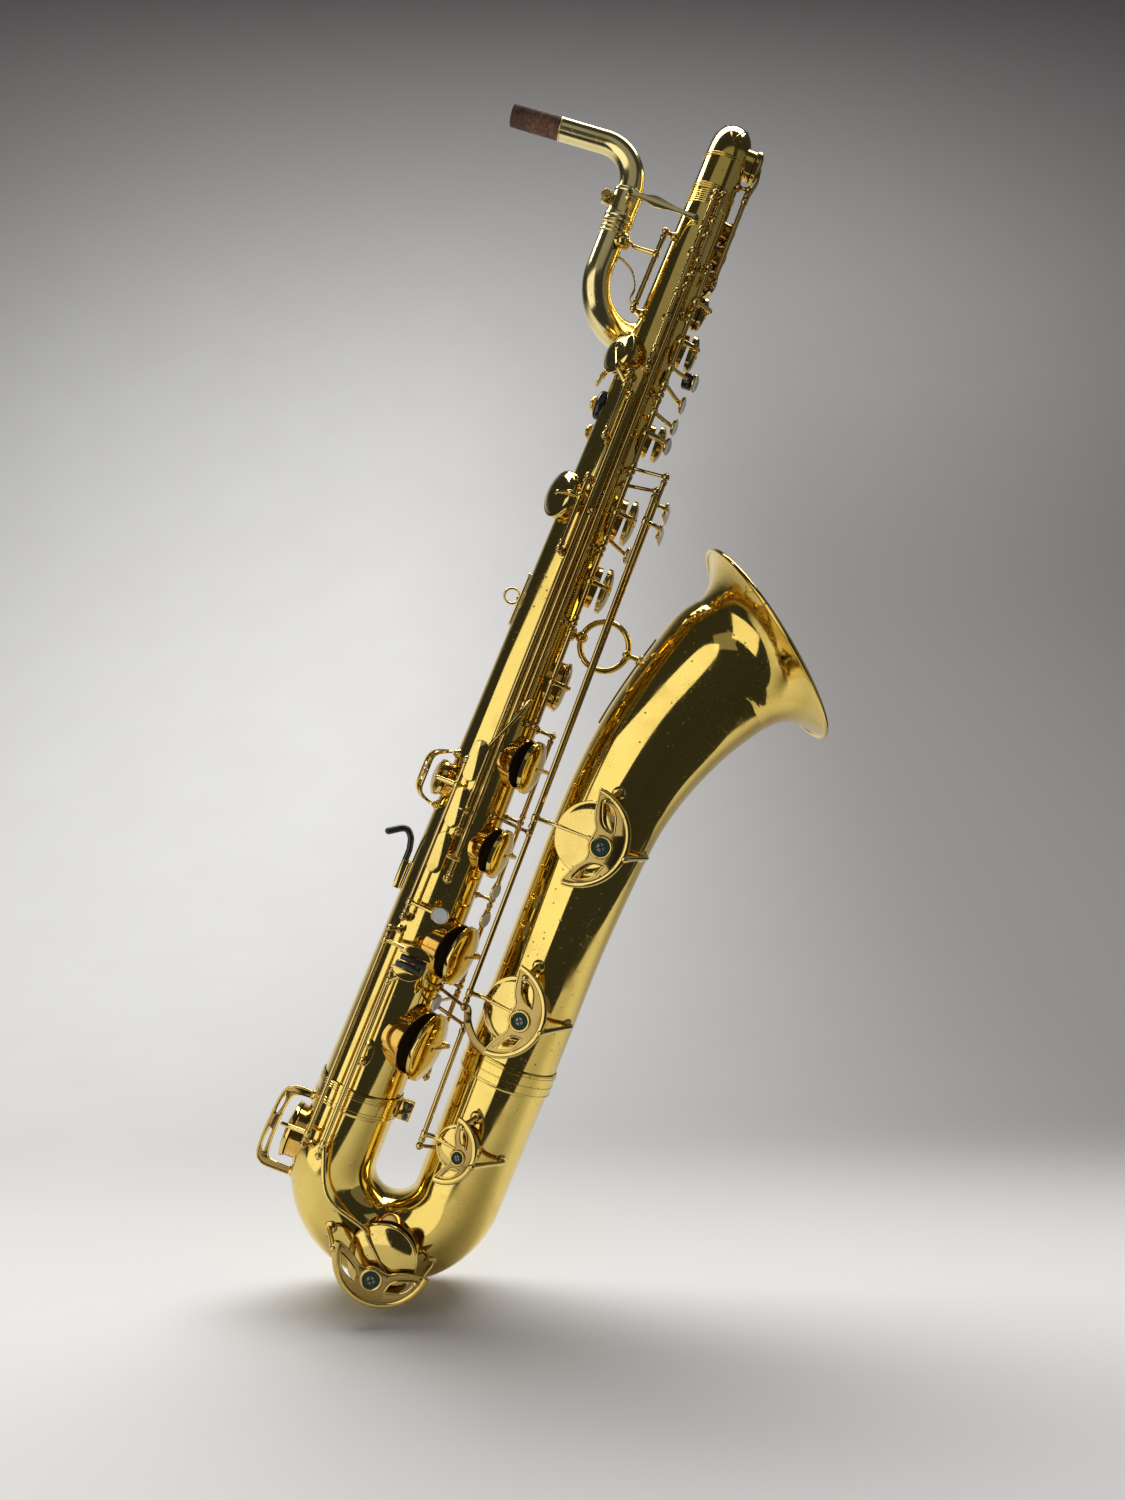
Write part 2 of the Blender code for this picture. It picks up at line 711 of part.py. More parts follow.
def make_bell():
    points, radii, lean = bell_path()
    outer = tube(points, radii, BELL_SIDES)
    bore = tube(past_ends(points, WALL), thinner(radii), BELL_BORE_SIDES)
    holes = []
    for name, (z, angle, radius) in BELL_HOLES.items():
        station = next(item for item in BELL_STATIONS if item[1] == z)
        axis_point = Vector((BELL_LEG_X + station[0], 0, z))
        holes.append(seat_hole(name, axis_point, angle, station[2], radius))
    shell = hollow(outer, bore, holes)
    bead = ring(points[-1], lean, BELL_RIM_RADIUS, BELL_BEAD_RADIUS, BELL_SIDES, ARM_SIDES)
    add_part("bell", BRASS, [shell, bead])


def ferrule_profile(inner, bottom):
    """Closed profile of a sleeve with a bead at each end."""
    outer = inner + FERRULE_WALL
    top = bottom + FERRULE_LENGTH
    bead = FERRULE_LENGTH / 6
    return [
        (inner, top),
        (outer + FERRULE_BEAD, top),
        (outer + FERRULE_BEAD, top - bead),
        (outer, top - bead),
        (outer, bottom + bead),
        (outer + FERRULE_BEAD, bottom + bead),
        (outer + FERRULE_BEAD, bottom),
        (inner, bottom),
        (inner, top),
    ]


def make_ferrules():
    low = BODY_BOTTOM_Z - FERRULE_LENGTH / 2
    inner = BODY_BOTTOM_RADIUS + 2 * GAP
    sleeve = turned(ferrule_profile(inner, low), Matrix.Identity(4), FERRULE_SIDES)
    lug_x = inner + FERRULE_WALL / 2 + CLAMP_LUG.x / 2
    lug = block(CLAMP_LUG, Matrix.Translation((lug_x, 0, BODY_BOTTOM_Z)))
    add_part("body_bow_ferrule", BRASS, [sleeve, lug])
    low = BOW_END_Z - FERRULE_LENGTH / 2
    place = Matrix.Translation((BELL_LEG_X, 0, 0))
    profile = ferrule_profile(BOW_END_RADIUS + GAP * 2, low)
    add_part("bell_bow_ferrule", BRASS, [turned(profile, place, FERRULE_SIDES)])


def make_upper_bow():
    centre = Vector((0, UPPER_BEND_RADIUS, UPPER_BEND_Z))
    turn = arc(centre, Vector((0, -1, 0)), UP, UPPER_BEND_RADIUS, math.pi, CROOK_STEPS)
    end = Vector((PIGTAIL_FAR_X, 2 * UPPER_BEND_RADIUS, UPPER_END_Z))
    for index, point in enumerate(turn):
        point.x = PIGTAIL_FAR_X * index / (len(turn) - 1)
    points = [UP * (BODY_TOP_Z + GAP), *turn, end]
    step = (UPPER_END_RADIUS - BODY_TOP_RADIUS) / (len(points) - 1)
    radii = [BODY_TOP_RADIUS + step * index for index in range(len(points))]
    outer = tube(points, radii, CROOK_SIDES + 2)
    bore = tube(past_ends(points, WALL), thinner(radii), CROOK_BORE_SIDES)
    axis_point, angle, radius = HIGH_E_HOLE
    hole = seat_hole("high_e", axis_point, angle, BODY_TOP_RADIUS, radius)
    add_part("upper_bow", BRASS, [hollow(outer, bore, [hole])])


def make_pigtail():
    far = Vector((PIGTAIL_FAR_X, 2 * UPPER_BEND_RADIUS, 0))
    near = Vector((NECK_X, 0, 0))
    across = near - far
    middle = far + across / 2 + UP * PIGTAIL_BEND_Z
    outward = -across.normalized()
    turn = arc(middle, outward, -UP, across.length / 2, math.pi, CROOK_STEPS + 1)
    points = [far + UP * (UPPER_END_Z - GAP), *turn, near + UP * (RECEIVER_BOTTOM_Z - GAP)]
    step = (PIGTAIL_END_RADIUS - UPPER_END_RADIUS) / (len(points) - 1)
    radii = [UPPER_END_RADIUS + step * index for index in range(len(points))]
    outer = tube(points, radii, CROOK_SIDES)
    bore = tube(past_ends(points, WALL), thinner(radii), CROOK_BORE_SIDES)
    rim = near + around(OCTAVE_PIP_ANGLE) * (PIGTAIL_END_RADIUS + OCTAVE_PIP_HEIGHT)
    rim = rim + UP * OCTAVE_PIP_Z
    seats["octave_pip"] = (rim, around(OCTAVE_PIP_ANGLE), OCTAVE_PIP_RADIUS)
    shell = combine(outer, [rod(near + UP * OCTAVE_PIP_Z, rim, OCTAVE_PIP_RADIUS)], "UNION")
    add_part("pigtail", BRASS, [combine(shell, [bore], "DIFFERENCE")])


def post(base, top):
    """A post from base to a round head at top, where a hinge rod ends."""
    length = (top - base).length
    profile = [
        (0, length + POST_BALL),
        (POST_BALL, length),
        (POST_RADIUS, length - POST_BALL),
        (POST_RADIUS, 0),
        (0, 0),
    ]
    return [turned(profile, frame_on(base, top - base), POST_SIDES)]


def body_post(top, angle):
    """A post on the body at angle, level with top."""
    return post(on_body(top.z, angle, -POST_SINK), top)


def hinge_on_body(angle, height, low, high):
    return on_body(low, angle, height), on_body(high, angle, height)


def shortened(hinge):
    """The hinge tube's ends, clear of the post balls."""
    low, high = hinge
    step = (high - low).normalized() * (POST_BALL + GAP)
    return low + step, high - step


def foot_on(hinge, point):
    """The hinge tube's nearest point to point, kept inside the tube by an arm's radius."""
    low, high = shortened(hinge)
    along = (high - low).normalized()
    reach = (point - low).dot(along)
    edge = FOOT_INSET
    reach = max(edge, min((high - low).length - edge, reach))
    return low + along * reach


def cup(rim, normal, radius, sides):
    """A key cup with its pad, seated over a rim."""
    top = CUP_SIDE + CUP_CROWN
    profile = [(0, top), (radius * CUP_CROWN_SHARE, top), (radius, CUP_SIDE), (radius, 0), (0, 0)]
    return turned(profile, frame_on(rim + normal * PAD_LIFT, normal, UP), sides)


def cup_arm(foot, rim, normal, radius):
    """An arm from the hinge, up over the cup's edge and on to its middle."""
    level = foot - rim
    level = (level - normal * level.dot(normal)).normalized()
    knee = rim + level * (radius + ARM_RADIUS) + normal * (CUP_SIDE + 2 * ARM_RADIUS)
    middle = rim + normal * (CUP_SIDE + CUP_CROWN / 2)
    return tube([foot, knee, middle], ARM_RADIUS, ARM_SIDES)


def pearl(hinge, centre, normal):
    """A finger touch: a pearl in a dish, on an arm from the hinge."""
    profile = [(PEARL_RADIUS * r, PEARL_THICKNESS * h) for r, h in PEARL_PROFILE]
    disc = turned(profile, frame_on(centre, normal, UP), KNOB_SIDES)
    seat = centre + normal * (PEARL_THICKNESS / 3)
    arm = tube([foot_on(hinge, centre), seat], ARM_RADIUS, ARM_SIDES)
    return [disc, arm]


def paddle(hinge, centre, normal, size, knees=()):
    """A flat touch plate of size (width, height, thickness) on an arm from the hinge."""
    width, height, thickness = size
    flat = block((height, width, thickness), frame_on(centre, normal, UP))
    arm = tube([foot_on(hinge, centre), *knees, centre], TOUCH_ARM_RADIUS, ARM_SIDES)
    return [flat, arm]


def make_key(name, hole, hinge, opens, stands_open=False, touches=(), cup_sides=CUP_SIDES):
    """A key over a tone hole. Its origin is on its hinge, and turning about its Z opens it."""
    rim, normal, hole_radius = seats[hole]
    radius = hole_radius + CUP_OVERHANG
    foot = foot_on(hinge, rim)
    along = (hinge[1] - hinge[0]).normalized()
    if along.cross(rim - foot).dot(normal) < 0:
        along = -along
    low, high = shortened(hinge)
    pieces = [
        rod(low, high, ROD_RADIUS),
        cup(rim, normal, radius, cup_sides),
        cup_arm(foot, rim, normal, radius),
        *touches,
    ]
    swing = math.radians(opens)
    pivot = frame_on(foot, along, rim - foot)
    item = add_part(name, BRASS, pieces, pivot, swing if stands_open else 0.0)
    item["opens_deg"] = float(opens)
    item["stands_open"] = stands_open
    return item


def make_lever(name, hinge, pieces, press_point, press_dir, travel):
    """A lever with no cup. Turning about its Z presses it down."""
    foot = foot_on(hinge, press_point)
    along = (hinge[1] - hinge[0]).normalized()
    if along.cross(press_point - foot).dot(press_dir) < 0:
        along = -along
    low, high = shortened(hinge)
    pivot = frame_on(foot, along, press_point - foot)
    item = add_part(name, BRASS, [rod(low, high, ROD_RADIUS), *pieces], pivot)
    item["opens_deg"] = float(travel)
    item["stands_open"] = False
    return item


def stack_hinge(index):
    return hinge_on_body(STACK_ANGLE, STACK_HEIGHT, *STACK_POSTS[index : index + 2])


def upper_hinge(index):
    return hinge_on_body(UPPER_ANGLE, UPPER_HEIGHT, *UPPER_POSTS[index : index + 2])


def body_posts():
    """Every post that stands on the body tube."""
    straight = [(STACK_ANGLE, STACK_HEIGHT, z) for z in STACK_POSTS]
    straight += [(UPPER_ANGLE, UPPER_HEIGHT, z) for z in (G_SHARP_LOW_Z, *UPPER_POSTS)]
    for angle, low, high, _ in SIDE_LEVERS.values():
        straight += [(angle, SIDE_HEIGHT, low), (angle, SIDE_HEIGHT, high)]
    for angle, low, high, _ in PALM_KEYS.values():
        straight += [(angle, PALM_HEIGHT, low), (angle, PALM_HEIGHT, high)]
    for z in (*SIDE_B_FLAT_POSTS, *SIDE_C_POSTS):
        straight.append((SIDE_CUP_ANGLE, SIDE_CUP_HEIGHT, z))
    for angle, height, *ends in (TRILL_HINGE, OCTAVE_HINGE):
        straight += [(angle, height, z) for z in ends]
    pieces = []
    for angle, height, z in straight:
        pieces += body_post(on_body(z, angle, height), angle)
    leaning = [
        (C_SHARP_HINGE[1], C_SHARP_TOP_POST_ANGLE),
        *zip(LOW_B_HINGE, LOW_B_POST_ANGLES),
        *zip(LOW_B_FLAT_HINGE, LOW_B_FLAT_POST_ANGLES),
        (LOW_C_HINGE[1], LOW_C_POST_ANGLE),
        (E_FLAT_HINGE[1], E_FLAT_POST_ANGLE),
        (HIGH_E_HINGE[0], HIGH_E_POST_ANGLE),
        *zip(octave_lever_hinge(), OCTAVE_LEVER_POST_ANGLES),
    ]
    for top, angle in leaning:
        pieces += body_post(top, angle)
    return pieces


def octave_lever_hinge():
    return tuple(Vector((OCTAVE_LEVER_X, y, OCTAVE_LEVER_Z)) for y in OCTAVE_LEVER_ENDS_Y)


def make_stack_keys():
    facing = around(LOWER_PEARL_FACING)
    for index, (name, (pearl_z, angle)) in enumerate(LOWER_STACK.items()):
        hinge = stack_hinge(index)
        touch = pearl(hinge, on_body(pearl_z, angle, LOWER_PEARL_HEIGHT), facing) if pearl_z else ()
        make_key("key_" + name, "low_" + name, hinge, STACK_OPENS, True, touch)
    for index, (name, pearl_z) in enumerate(UPPER_STACK.items()):
        hinge = upper_hinge(index)
        spot = on_body(pearl_z or 0, UPPER_PEARL_ANGLE, UPPER_PEARL_HEIGHT)
        touch = pearl(hinge, spot, around(UPPER_PEARL_ANGLE)) if pearl_z else ()
        make_key("key_" + name, name, hinge, STACK_OPENS, True, touch)
    make_key("key_front_f", "front_f", upper_hinge(len(UPPER_STACK)), CLOSED_OPENS)
    g_sharp = hinge_on_body(UPPER_ANGLE, UPPER_HEIGHT, G_SHARP_LOW_Z, UPPER_POSTS[0])
    make_key("key_g_sharp", "g_sharp", g_sharp, CLOSED_OPENS)


def make_bell_keys():
    for name, hinge, touch_z, knee_y in (
        ("low_b", LOW_B_HINGE, LOW_B_TOUCH_Z, LOW_B_KNEE_Y),
        ("low_b_flat", LOW_B_FLAT_HINGE, LOW_B_FLAT_TOUCH_Z, LOW_B_FLAT_KNEE_Y),
    ):
        centre = Vector((TABLE_X, TABLE_Y, touch_z))
        knee = Vector((TABLE_KNEE_X, knee_y, touch_z))
        touch = paddle(hinge, centre, Vector((1, 0, 0)), TABLE_TOUCH, [knee])
        rim = seats[name][0]
        opens = math.degrees(math.asin(BELL_LIFTS[name] / (rim - foot_on(hinge, rim)).length))
        make_key("key_" + name, name, hinge, opens, True, touch, BELL_CUP_SIDES)
    make_key("key_low_c_sharp", "low_c_sharp", C_SHARP_HINGE, CLOSED_OPENS)


def half_disc(radius, gap, side):
    """Outline of a half disc whose straight edge is gap from the middle, on one side."""
    span = math.acos(gap / radius)
    angles = [span - 2 * span * step / 8 for step in range(9)]
    return [(radius * math.sin(a), side * radius * math.cos(a)) for a in angles]


def make_pinky_keys():
    facing = Vector((0, -1, 0))
    halves = (
        ("key_low_e_flat", "low_e_flat", E_FLAT_HINGE, 1, PINKY_OPENS, False),
        ("key_low_c", "low_c", LOW_C_HINGE, -1, PINKY_OPENS, True),
    )
    for name, hole, hinge, side, opens, stands_open in halves:
        place = frame_on(PINKY_TOUCH, facing)
        edge = 2 * ROLLER_RADIUS + 3 * GAP
        touch = plate([half_disc(PINKY_RADIUS, edge, side)], PINKY_THICKNESS, place)
        spot = PINKY_TOUCH + UP * (side * PINKY_RADIUS * PINKY_ARM_SHARE)
        arm = tube([foot_on(hinge, spot), spot], TOUCH_ARM_RADIUS, ARM_SIDES)
        key = make_key(name, hole, hinge, opens, stands_open, [touch, arm], BELL_CUP_SIDES)
        centre = PINKY_TOUCH + UP * side * (ROLLER_RADIUS + GAP)
        half = Vector((ROLLER_LENGTH / 2, 0, 0))
        roller = rod(centre - half, centre + half, ROLLER_RADIUS, sides=KNOB_SIDES)
        roller_pivot = frame_on(centre, half)
        piece = add_part("roller_" + hole, BLACK, [roller], roller_pivot)
        if stands_open:
            rest = key.matrix_world
            shut = rest @ Matrix.Rotation(-math.radians(opens), 4, "Z")
            piece.matrix_world = rest @ shut.inverted() @ piece.matrix_world


def make_side_keys():
    for name, posts in (("side_b_flat", SIDE_B_FLAT_POSTS), ("side_c", SIDE_C_POSTS)):
        hinge = hinge_on_body(SIDE_CUP_ANGLE, SIDE_CUP_HEIGHT, *posts)
        make_key("key_" + name, name, hinge, CLOSED_OPENS)
    for name, (angle, low, high, touch_z) in SIDE_LEVERS.items():
        hinge = hinge_on_body(angle, SIDE_HEIGHT, low, high)
        centre = Vector((SIDE_TOUCH_X, SIDE_TOUCH_Y, touch_z))
        root = foot_on(hinge, centre)
        knee = on_body(root.z, angle, SIDE_HEIGHT + SIDE_KNEE)
        touch = paddle(hinge, centre, SIDE_FACING, SIDE_TOUCH, [knee])
        make_lever(name, hinge, touch, centre, -SIDE_FACING, SIDE_TRAVEL)
    make_key("key_high_e", "high_e", HIGH_E_HINGE, CLOSED_OPENS)
    hinge = hinge_on_body(*TRILL_HINGE)
    touch = pearl(hinge, TRILL_PEARL, Vector((0, -1, 0)))
    make_key("key_trill", "trill", hinge, CLOSED_OPENS, touches=touch)


def make_palm_keys():
    for name, (angle, low, high, spot) in PALM_KEYS.items():
        hinge = hinge_on_body(angle, PALM_HEIGHT, low, high)
        facing = Vector((spot.x, spot.y, 0)).normalized()
        touch = paddle(hinge, spot, facing, PALM_TOUCH)
        make_key("key_" + name, name, hinge, CLOSED_OPENS, False, touch, SMALL_CUP_SIDES)


def make_octave_keys():
    hinge = hinge_on_body(*OCTAVE_HINGE)
    make_key("key_octave_vent", "octave_pip", hinge, CLOSED_OPENS, cup_sides=SMALL_CUP_SIDES)
    hinge = octave_lever_hinge()
    rest_top = THUMB_REST_Z + THUMB_REST_RADIUS * THUMB_REST_STRETCH
    centre = Vector((OCTAVE_TOUCH_X, OCTAVE_TOUCH_Y, rest_top + OCTAVE_TOUCH_ABOVE_REST))
    touch = paddle(hinge, centre, OCTAVE_FACING, OCTAVE_TOUCH)
    make_lever("octave_lever", hinge, touch, centre, Vector((1, 0, 0)), OCTAVE_TRAVEL)


def make_receiver():
    """The neck's socket: a sleeve on the pigtail's end, slit lug at its back."""
    bottom = RECEIVER_BOTTOM_Z
    socket = NECK_ROOT_RADIUS - WALL / 2
    profile = [
        (socket + GAP, RECEIVER_TOP_Z),
        (RECEIVER_RADIUS, RECEIVER_TOP_Z),
        (RECEIVER_RADIUS, bottom),
        (PIGTAIL_END_RADIUS - 2 * WALL, bottom),
        (PIGTAIL_END_RADIUS - 2 * WALL, bottom + RECEIVER_CUP_DEPTH),
        (socket + GAP, bottom + RECEIVER_CUP_DEPTH),
        (socket + GAP, RECEIVER_TOP_Z),
    ]
    sleeve = turned(profile, Matrix.Translation((NECK_X, 0, 0)), CROOK_SIDES + 4)
    lugs = []
    lug_x = NECK_X - RECEIVER_RADIUS - CLAMP_LUG_REACH / 2 + WALL
    z = RECEIVER_TOP_Z - CLAMP_LUG_HEIGHT / 2 - 2 * WALL
    size = (CLAMP_LUG_REACH + WALL, CLAMP_LUG_WIDTH, CLAMP_LUG_HEIGHT)
    lugs.append(block(size, Matrix.Translation((lug_x, 0, z))))
    hole_x = lug_x - CLAMP_LUG_REACH / 6
    across = Vector((0, CLAMP_LUG_WIDTH, 0))
    middle = Vector((hole_x, 0, z))
    socketed = combine(sleeve, lugs, "UNION")
    drill = rod(middle - across, middle + across, CLAMP_SCREW_RADIUS + GAP, sides=KNOB_SIDES)
    add_part("neck_receiver", BRASS, [combine(socketed, [drill], "DIFFERENCE")])
    front = CLAMP_LUG_WIDTH / 2 + GAP
    shaft = rod(middle + across * 0.9, middle - across * 0.9, CLAMP_SCREW_RADIUS)
    knob_start = middle - Vector((0, front, 0))
    knob_end = knob_start - Vector((0, CLAMP_KNOB_LENGTH, 0))
    knob = rod(knob_start, knob_end, CLAMP_KNOB_RADIUS, CLAMP_KNOB_END_RADIUS, sides=KNOB_SIDES)
    pivot = frame_on(middle, Vector((0, -1, 0)))
    add_part("neck_clamp_screw", DARK_BRASS, [shaft, knob], pivot)


def neck_path():
    centre = Vector((NECK_X - NECK_BEND_RADIUS, 0, RECEIVER_TOP_Z + 2 * WALL))
    bend = arc(centre, Vector((1, 0, 0)), UP, NECK_BEND_RADIUS, math.pi / 2 + NECK_DROOP, CROOK_STEPS)
    run = Vector((-math.cos(NECK_DROOP), 0, -math.sin(NECK_DROOP)))
    cork_start = bend[-1] + run * ((bend[-1].x - CORK_START_X) / math.cos(NECK_DROOP))
    root = Vector((NECK_X, 0, RECEIVER_TOP_Z - NECK_TENON_DEPTH))
    return root, bend, cork_start, run


def make_neck():
    root, bend, cork_start, run = neck_path()
    tip = cork_start + run * CORK_LENGTH
    tenon = NECK_ROOT_RADIUS - WALL / 2
    shoulder = Vector((NECK_X, 0, RECEIVER_TOP_Z + GAP))
    points = [shoulder, *bend, cork_start]
    step = (CORK_RADIUS - NECK_ROOT_RADIUS) / (len(points) - 1)
    radii = [NECK_ROOT_RADIUS + step * index for index in range(len(points))]
    outer = tube(points, radii, CROOK_SIDES)
    tenon_piece = rod(root, bend[0], tenon, sides=CROOK_SIDES)
    tip_piece = rod(cork_start - run * CORK_RADIUS, tip, NECK_TIP_RADIUS, sides=CROOK_SIDES)
    shell = combine(outer, [tenon_piece, tip_piece], "UNION")
    start = cork_start + run * GAP
    bore_points = [root - UP * WALL, *points, tip + run * WALL]
    bore = tube(bore_points, NECK_TIP_RADIUS - WALL, CROOK_BORE_SIDES)
    pivot = Matrix.Translation(root)
    add_part("neck", BRASS, [combine(shell, [bore], "DIFFERENCE")], pivot)
    cork_inner = NECK_TIP_RADIUS + GAP
    profile = [
        (cork_inner, CORK_LENGTH),
        (CORK_RADIUS, CORK_LENGTH),
        (CORK_RADIUS, 0),
        (cork_inner, 0),
        (cork_inner, CORK_LENGTH),
    ]
    sleeve = turned(profile, frame_on(start, run, UP), CROOK_SIDES + 4)
    add_part("neck_cork", CORK, [sleeve], pivot)


def make_neck_brace():
    """A flat bar from the receiver's near side to the body's, widest in its middle."""
    left = NECK_BRACE_NECK_X
    right = NECK_BRACE_BODY_X
    middle = NECK_BRACE_WIDEST_X
    half = NECK_BRACE_END_WIDTH / 2
    wide = NECK_BRACE_WIDTH / 2
    outline = [(left - half, -half), (middle, -wide), (right + half, -half)]
    outline += [(right + half, half), (middle, wide), (left - half, half)]
    place = frame_on(Vector((0, NECK_BRACE_Y, NECK_BRACE_Z)), Vector((0, -1, 0)))
    bar = plate([outline], NECK_BRACE_THICKNESS, place)
    feet = []
    for x, surface in (
        (left, -math.sqrt(RECEIVER_RADIUS**2 - (left - NECK_X) ** 2)),
        (right, -math.sqrt(body_radius(NECK_BRACE_Z) ** 2 - right**2)),
    ):
        inner = Vector((x, surface - 2 * GAP, NECK_BRACE_Z))
        outer = Vector((x, NECK_BRACE_Y, NECK_BRACE_Z))
        feet.append(rod(inner, outer, NECK_BRACE_FOOT_RADIUS))
    add_part("neck_brace", BRASS, [bar, *feet])


def back_frame(z, height):
    """A frame on the back of the body: Z up along it, X outwards."""
    along = on_body(BODY_TOP_Z, 180, 0) - on_body(BODY_BOTTOM_Z, 180, 0)
    return frame_on(on_body(z, 180, height), along, Vector((-1, 0, 0)))


def make_strap_ring():
    base = block(STRAP_PLATE, back_frame(STRAP_Z, GAP + STRAP_PLATE.x / 2))
    loop = ring(hang_point(), Vector((0, 1, 0)), STRAP_RING_RADIUS, STRAP_WIRE, BRACE_SIDES)
    add_part("strap_ring", BRASS, [base, loop])


def make_thumb_hook():
    base = block(HOOK_PLATE, back_frame(HOOK_Z, GAP + HOOK_PLATE.x / 2))
    cheeks = []
    cheek = (2 * HOOK_WIRE, WALL, HOOK_PLATE.z)
    for side in (-1, 1):
        shift = Vector((0, side * (HOOK_WIRE + GAP + WALL / 2), 0))
        place = back_frame(HOOK_Z, GAP + HOOK_PLATE.x + HOOK_WIRE - WALL / 2)
        cheeks.append(block(cheek, Matrix.Translation(shift) @ place))
    add_part("thumb_hook_plate", BRASS, [base, *cheeks])
    stand = GAP * 2 + HOOK_PLATE.x + HOOK_WIRE
    foot = on_body(HOOK_Z - HOOK_PLATE.z / 3, 180, stand)
    rise = foot + UP * (HOOK_RISE * HOOK_BEND_SHARE)
    crest = foot + Vector((-HOOK_REACH * HOOK_CREST_REACH_SHARE, 0, HOOK_RISE * HOOK_CREST_SHARE))
    tip = foot + Vector((-HOOK_REACH, 0, HOOK_RISE * HOOK_TIP_SHARE))
    shoulder = (rise + crest) / 2 + HOOK_SHOULDER
    points = [foot, *smooth_path([rise, shoulder, crest, tip], 3)]
    add_part("thumb_hook", BLACK, [tube(points, HOOK_WIRE, 8)], Matrix.Translation(foot))


def make_thumb_rest():
    stretch = Matrix.Diagonal((THUMB_REST_STRETCH, 1, 1, 1))
    out = Vector((-1, 0, 0))
    place = frame_on(on_body(THUMB_REST_Z, 180, GAP), out, UP) @ stretch
    profile = [(THUMB_REST_RADIUS * r, THUMB_REST_HEIGHT * h) for r, h in THUMB_REST_PROFILE]
    add_part("thumb_rest", BLACK, [turned(profile, place, CROOK_SIDES + 4)])


def make_bell_brace():
    """A ring between the body and the bell, on a foot at each side."""
    body_side = body_radius(BRACE_Z) + GAP
    ring_left = body_side + BRACE_FOOT_THICKNESS + BRACE_BALL
    base, normal = bell_left_surface(BRACE_Z)
    ring_radius = (base.x - BRACE_BELL_STUB - ring_left) / 2
    centre = Vector((ring_left + ring_radius, 0, BRACE_Z))
    loop = ring(centre, Vector((0, 1, 0)), ring_radius, BRACE_WIRE, BRACE_SIDES)
    foot = Vector((body_side, 0, BRACE_Z))
    ahead = Vector((1, 0, 0))
    left_foot = rod(foot, foot + ahead * BRACE_FOOT_THICKNESS, BRACE_FOOT_RADIUS, sides=KNOB_SIDES)
    left_stub = rod(foot + ahead * WALL, Vector((ring_left, 0, BRACE_Z)), BRACE_WIRE)
    left_ball = ball(Vector((ring_left, 0, BRACE_Z)), BRACE_BALL)
    right = centre + ahead * ring_radius
    right_ball = ball(right, BRACE_BELL_BALL)
    right_foot = rod(base, base + normal * BRACE_FOOT_THICKNESS, BRACE_FOOT_RADIUS, sides=KNOB_SIDES)
    right_stub = rod(right, base + normal * WALL, BRACE_WIRE)
    pieces = [loop, left_ball, left_stub, left_foot, right_ball, right_stub, right_foot]
    add_part("bell_brace", BRASS, pieces)


def bell_left_surface(z):
    """A point just off the bell's left side at height z, and the outward direction there."""
    points, radii, _ = bell_path()
    for start, end, r_start, r_end in zip(points, points[1:], radii, radii[1:]):
        along = (end - start).normalized()
        normal = Vector((-along.z, 0, along.x))
        low = start + normal * r_start
        high = end + normal * r_end
        if low.z <= z <= high.z:
            share = (z - low.z) / (high.z - low.z)
            return low + (high - low) * share + normal * (3 * GAP), normal
    raise ValueError("the bell brace is not beside the bell")


def bell_surface(z, angle):
    for (x0, z0, r0), (x1, z1, r1) in zip(BELL_STATIONS, BELL_STATIONS[1:]):
        if z0 <= z <= z1:
            share = (z - z0) / (z1 - z0)
            axis = Vector((BELL_LEG_X + x0 + (x1 - x0) * share, 0, z))
            normal = around(angle)
            return axis + normal * (r0 + (r1 - r0) * share + 2 * GAP), normal
    raise ValueError("no bell at that height")


def bell_leg_surface(z, angle):
    axis = Vector((BELL_LEG_X, 0, z))
    normal = around(angle)
    return axis + normal * (BOW_END_RADIUS + GAP), normal


def bow_surface(bend_angle, offset):
    """A point on the bow's near side: bend_angle round the bend, offset outwards from its axis."""
    out = Vector((math.cos(math.radians(bend_angle)), 0, math.sin(math.radians(bend_angle))))
    axis = Vector((BOW_BEND_RADIUS, 0, BOW_BEND_Z)) + out * BOW_BEND_RADIUS
    radius = bow_radius_at(axis)
    base = axis + out * offset - Vector((0, math.sqrt(radius**2 - offset**2), 0))
    return base, (base - axis).normalized()


def guard_outline(scale):
    """Crescent round the cup's far side, with its two leaf openings."""
    centre = GUARD_ARC_CENTRE * scale
    edge = []
    for step in range(11):
        angle = math.radians(GUARD_FROM + (GUARD_TO - GUARD_FROM) * step / 10)
        radius = GUARD_ARC_RADIUS * scale
        edge.append((centre + radius * math.cos(angle), centre + radius * math.sin(angle)))
    hub_x, hub_y = (value * scale for value in GUARD_HUB)
    waist = GUARD_WAIST_X * scale
    half = GUARD_HUB_RADIUS * scale * GUARD_WAIST_SHARE
    edge += [(waist, hub_y - half), (waist, hub_y + half)]
    leaves = []
    for first, last in GUARD_LEAVES:
        outer = []
        for step in range(5):
            angle = math.radians(first + (last - first) * step / 4)
            radius = GUARD_LEAF_RADIUS * scale
            outer.append((centre + radius * math.cos(angle), centre + radius * math.sin(angle)))
        chord_x = (outer[0][0] + outer[-1][0]) / 2
        chord_y = (outer[0][1] + outer[-1][1]) / 2
        leaves.append([*outer, (chord_x * GUARD_LEAF_PULL, chord_y * GUARD_LEAF_PULL)])
    return [edge, *leaves], (hub_x, hub_y)


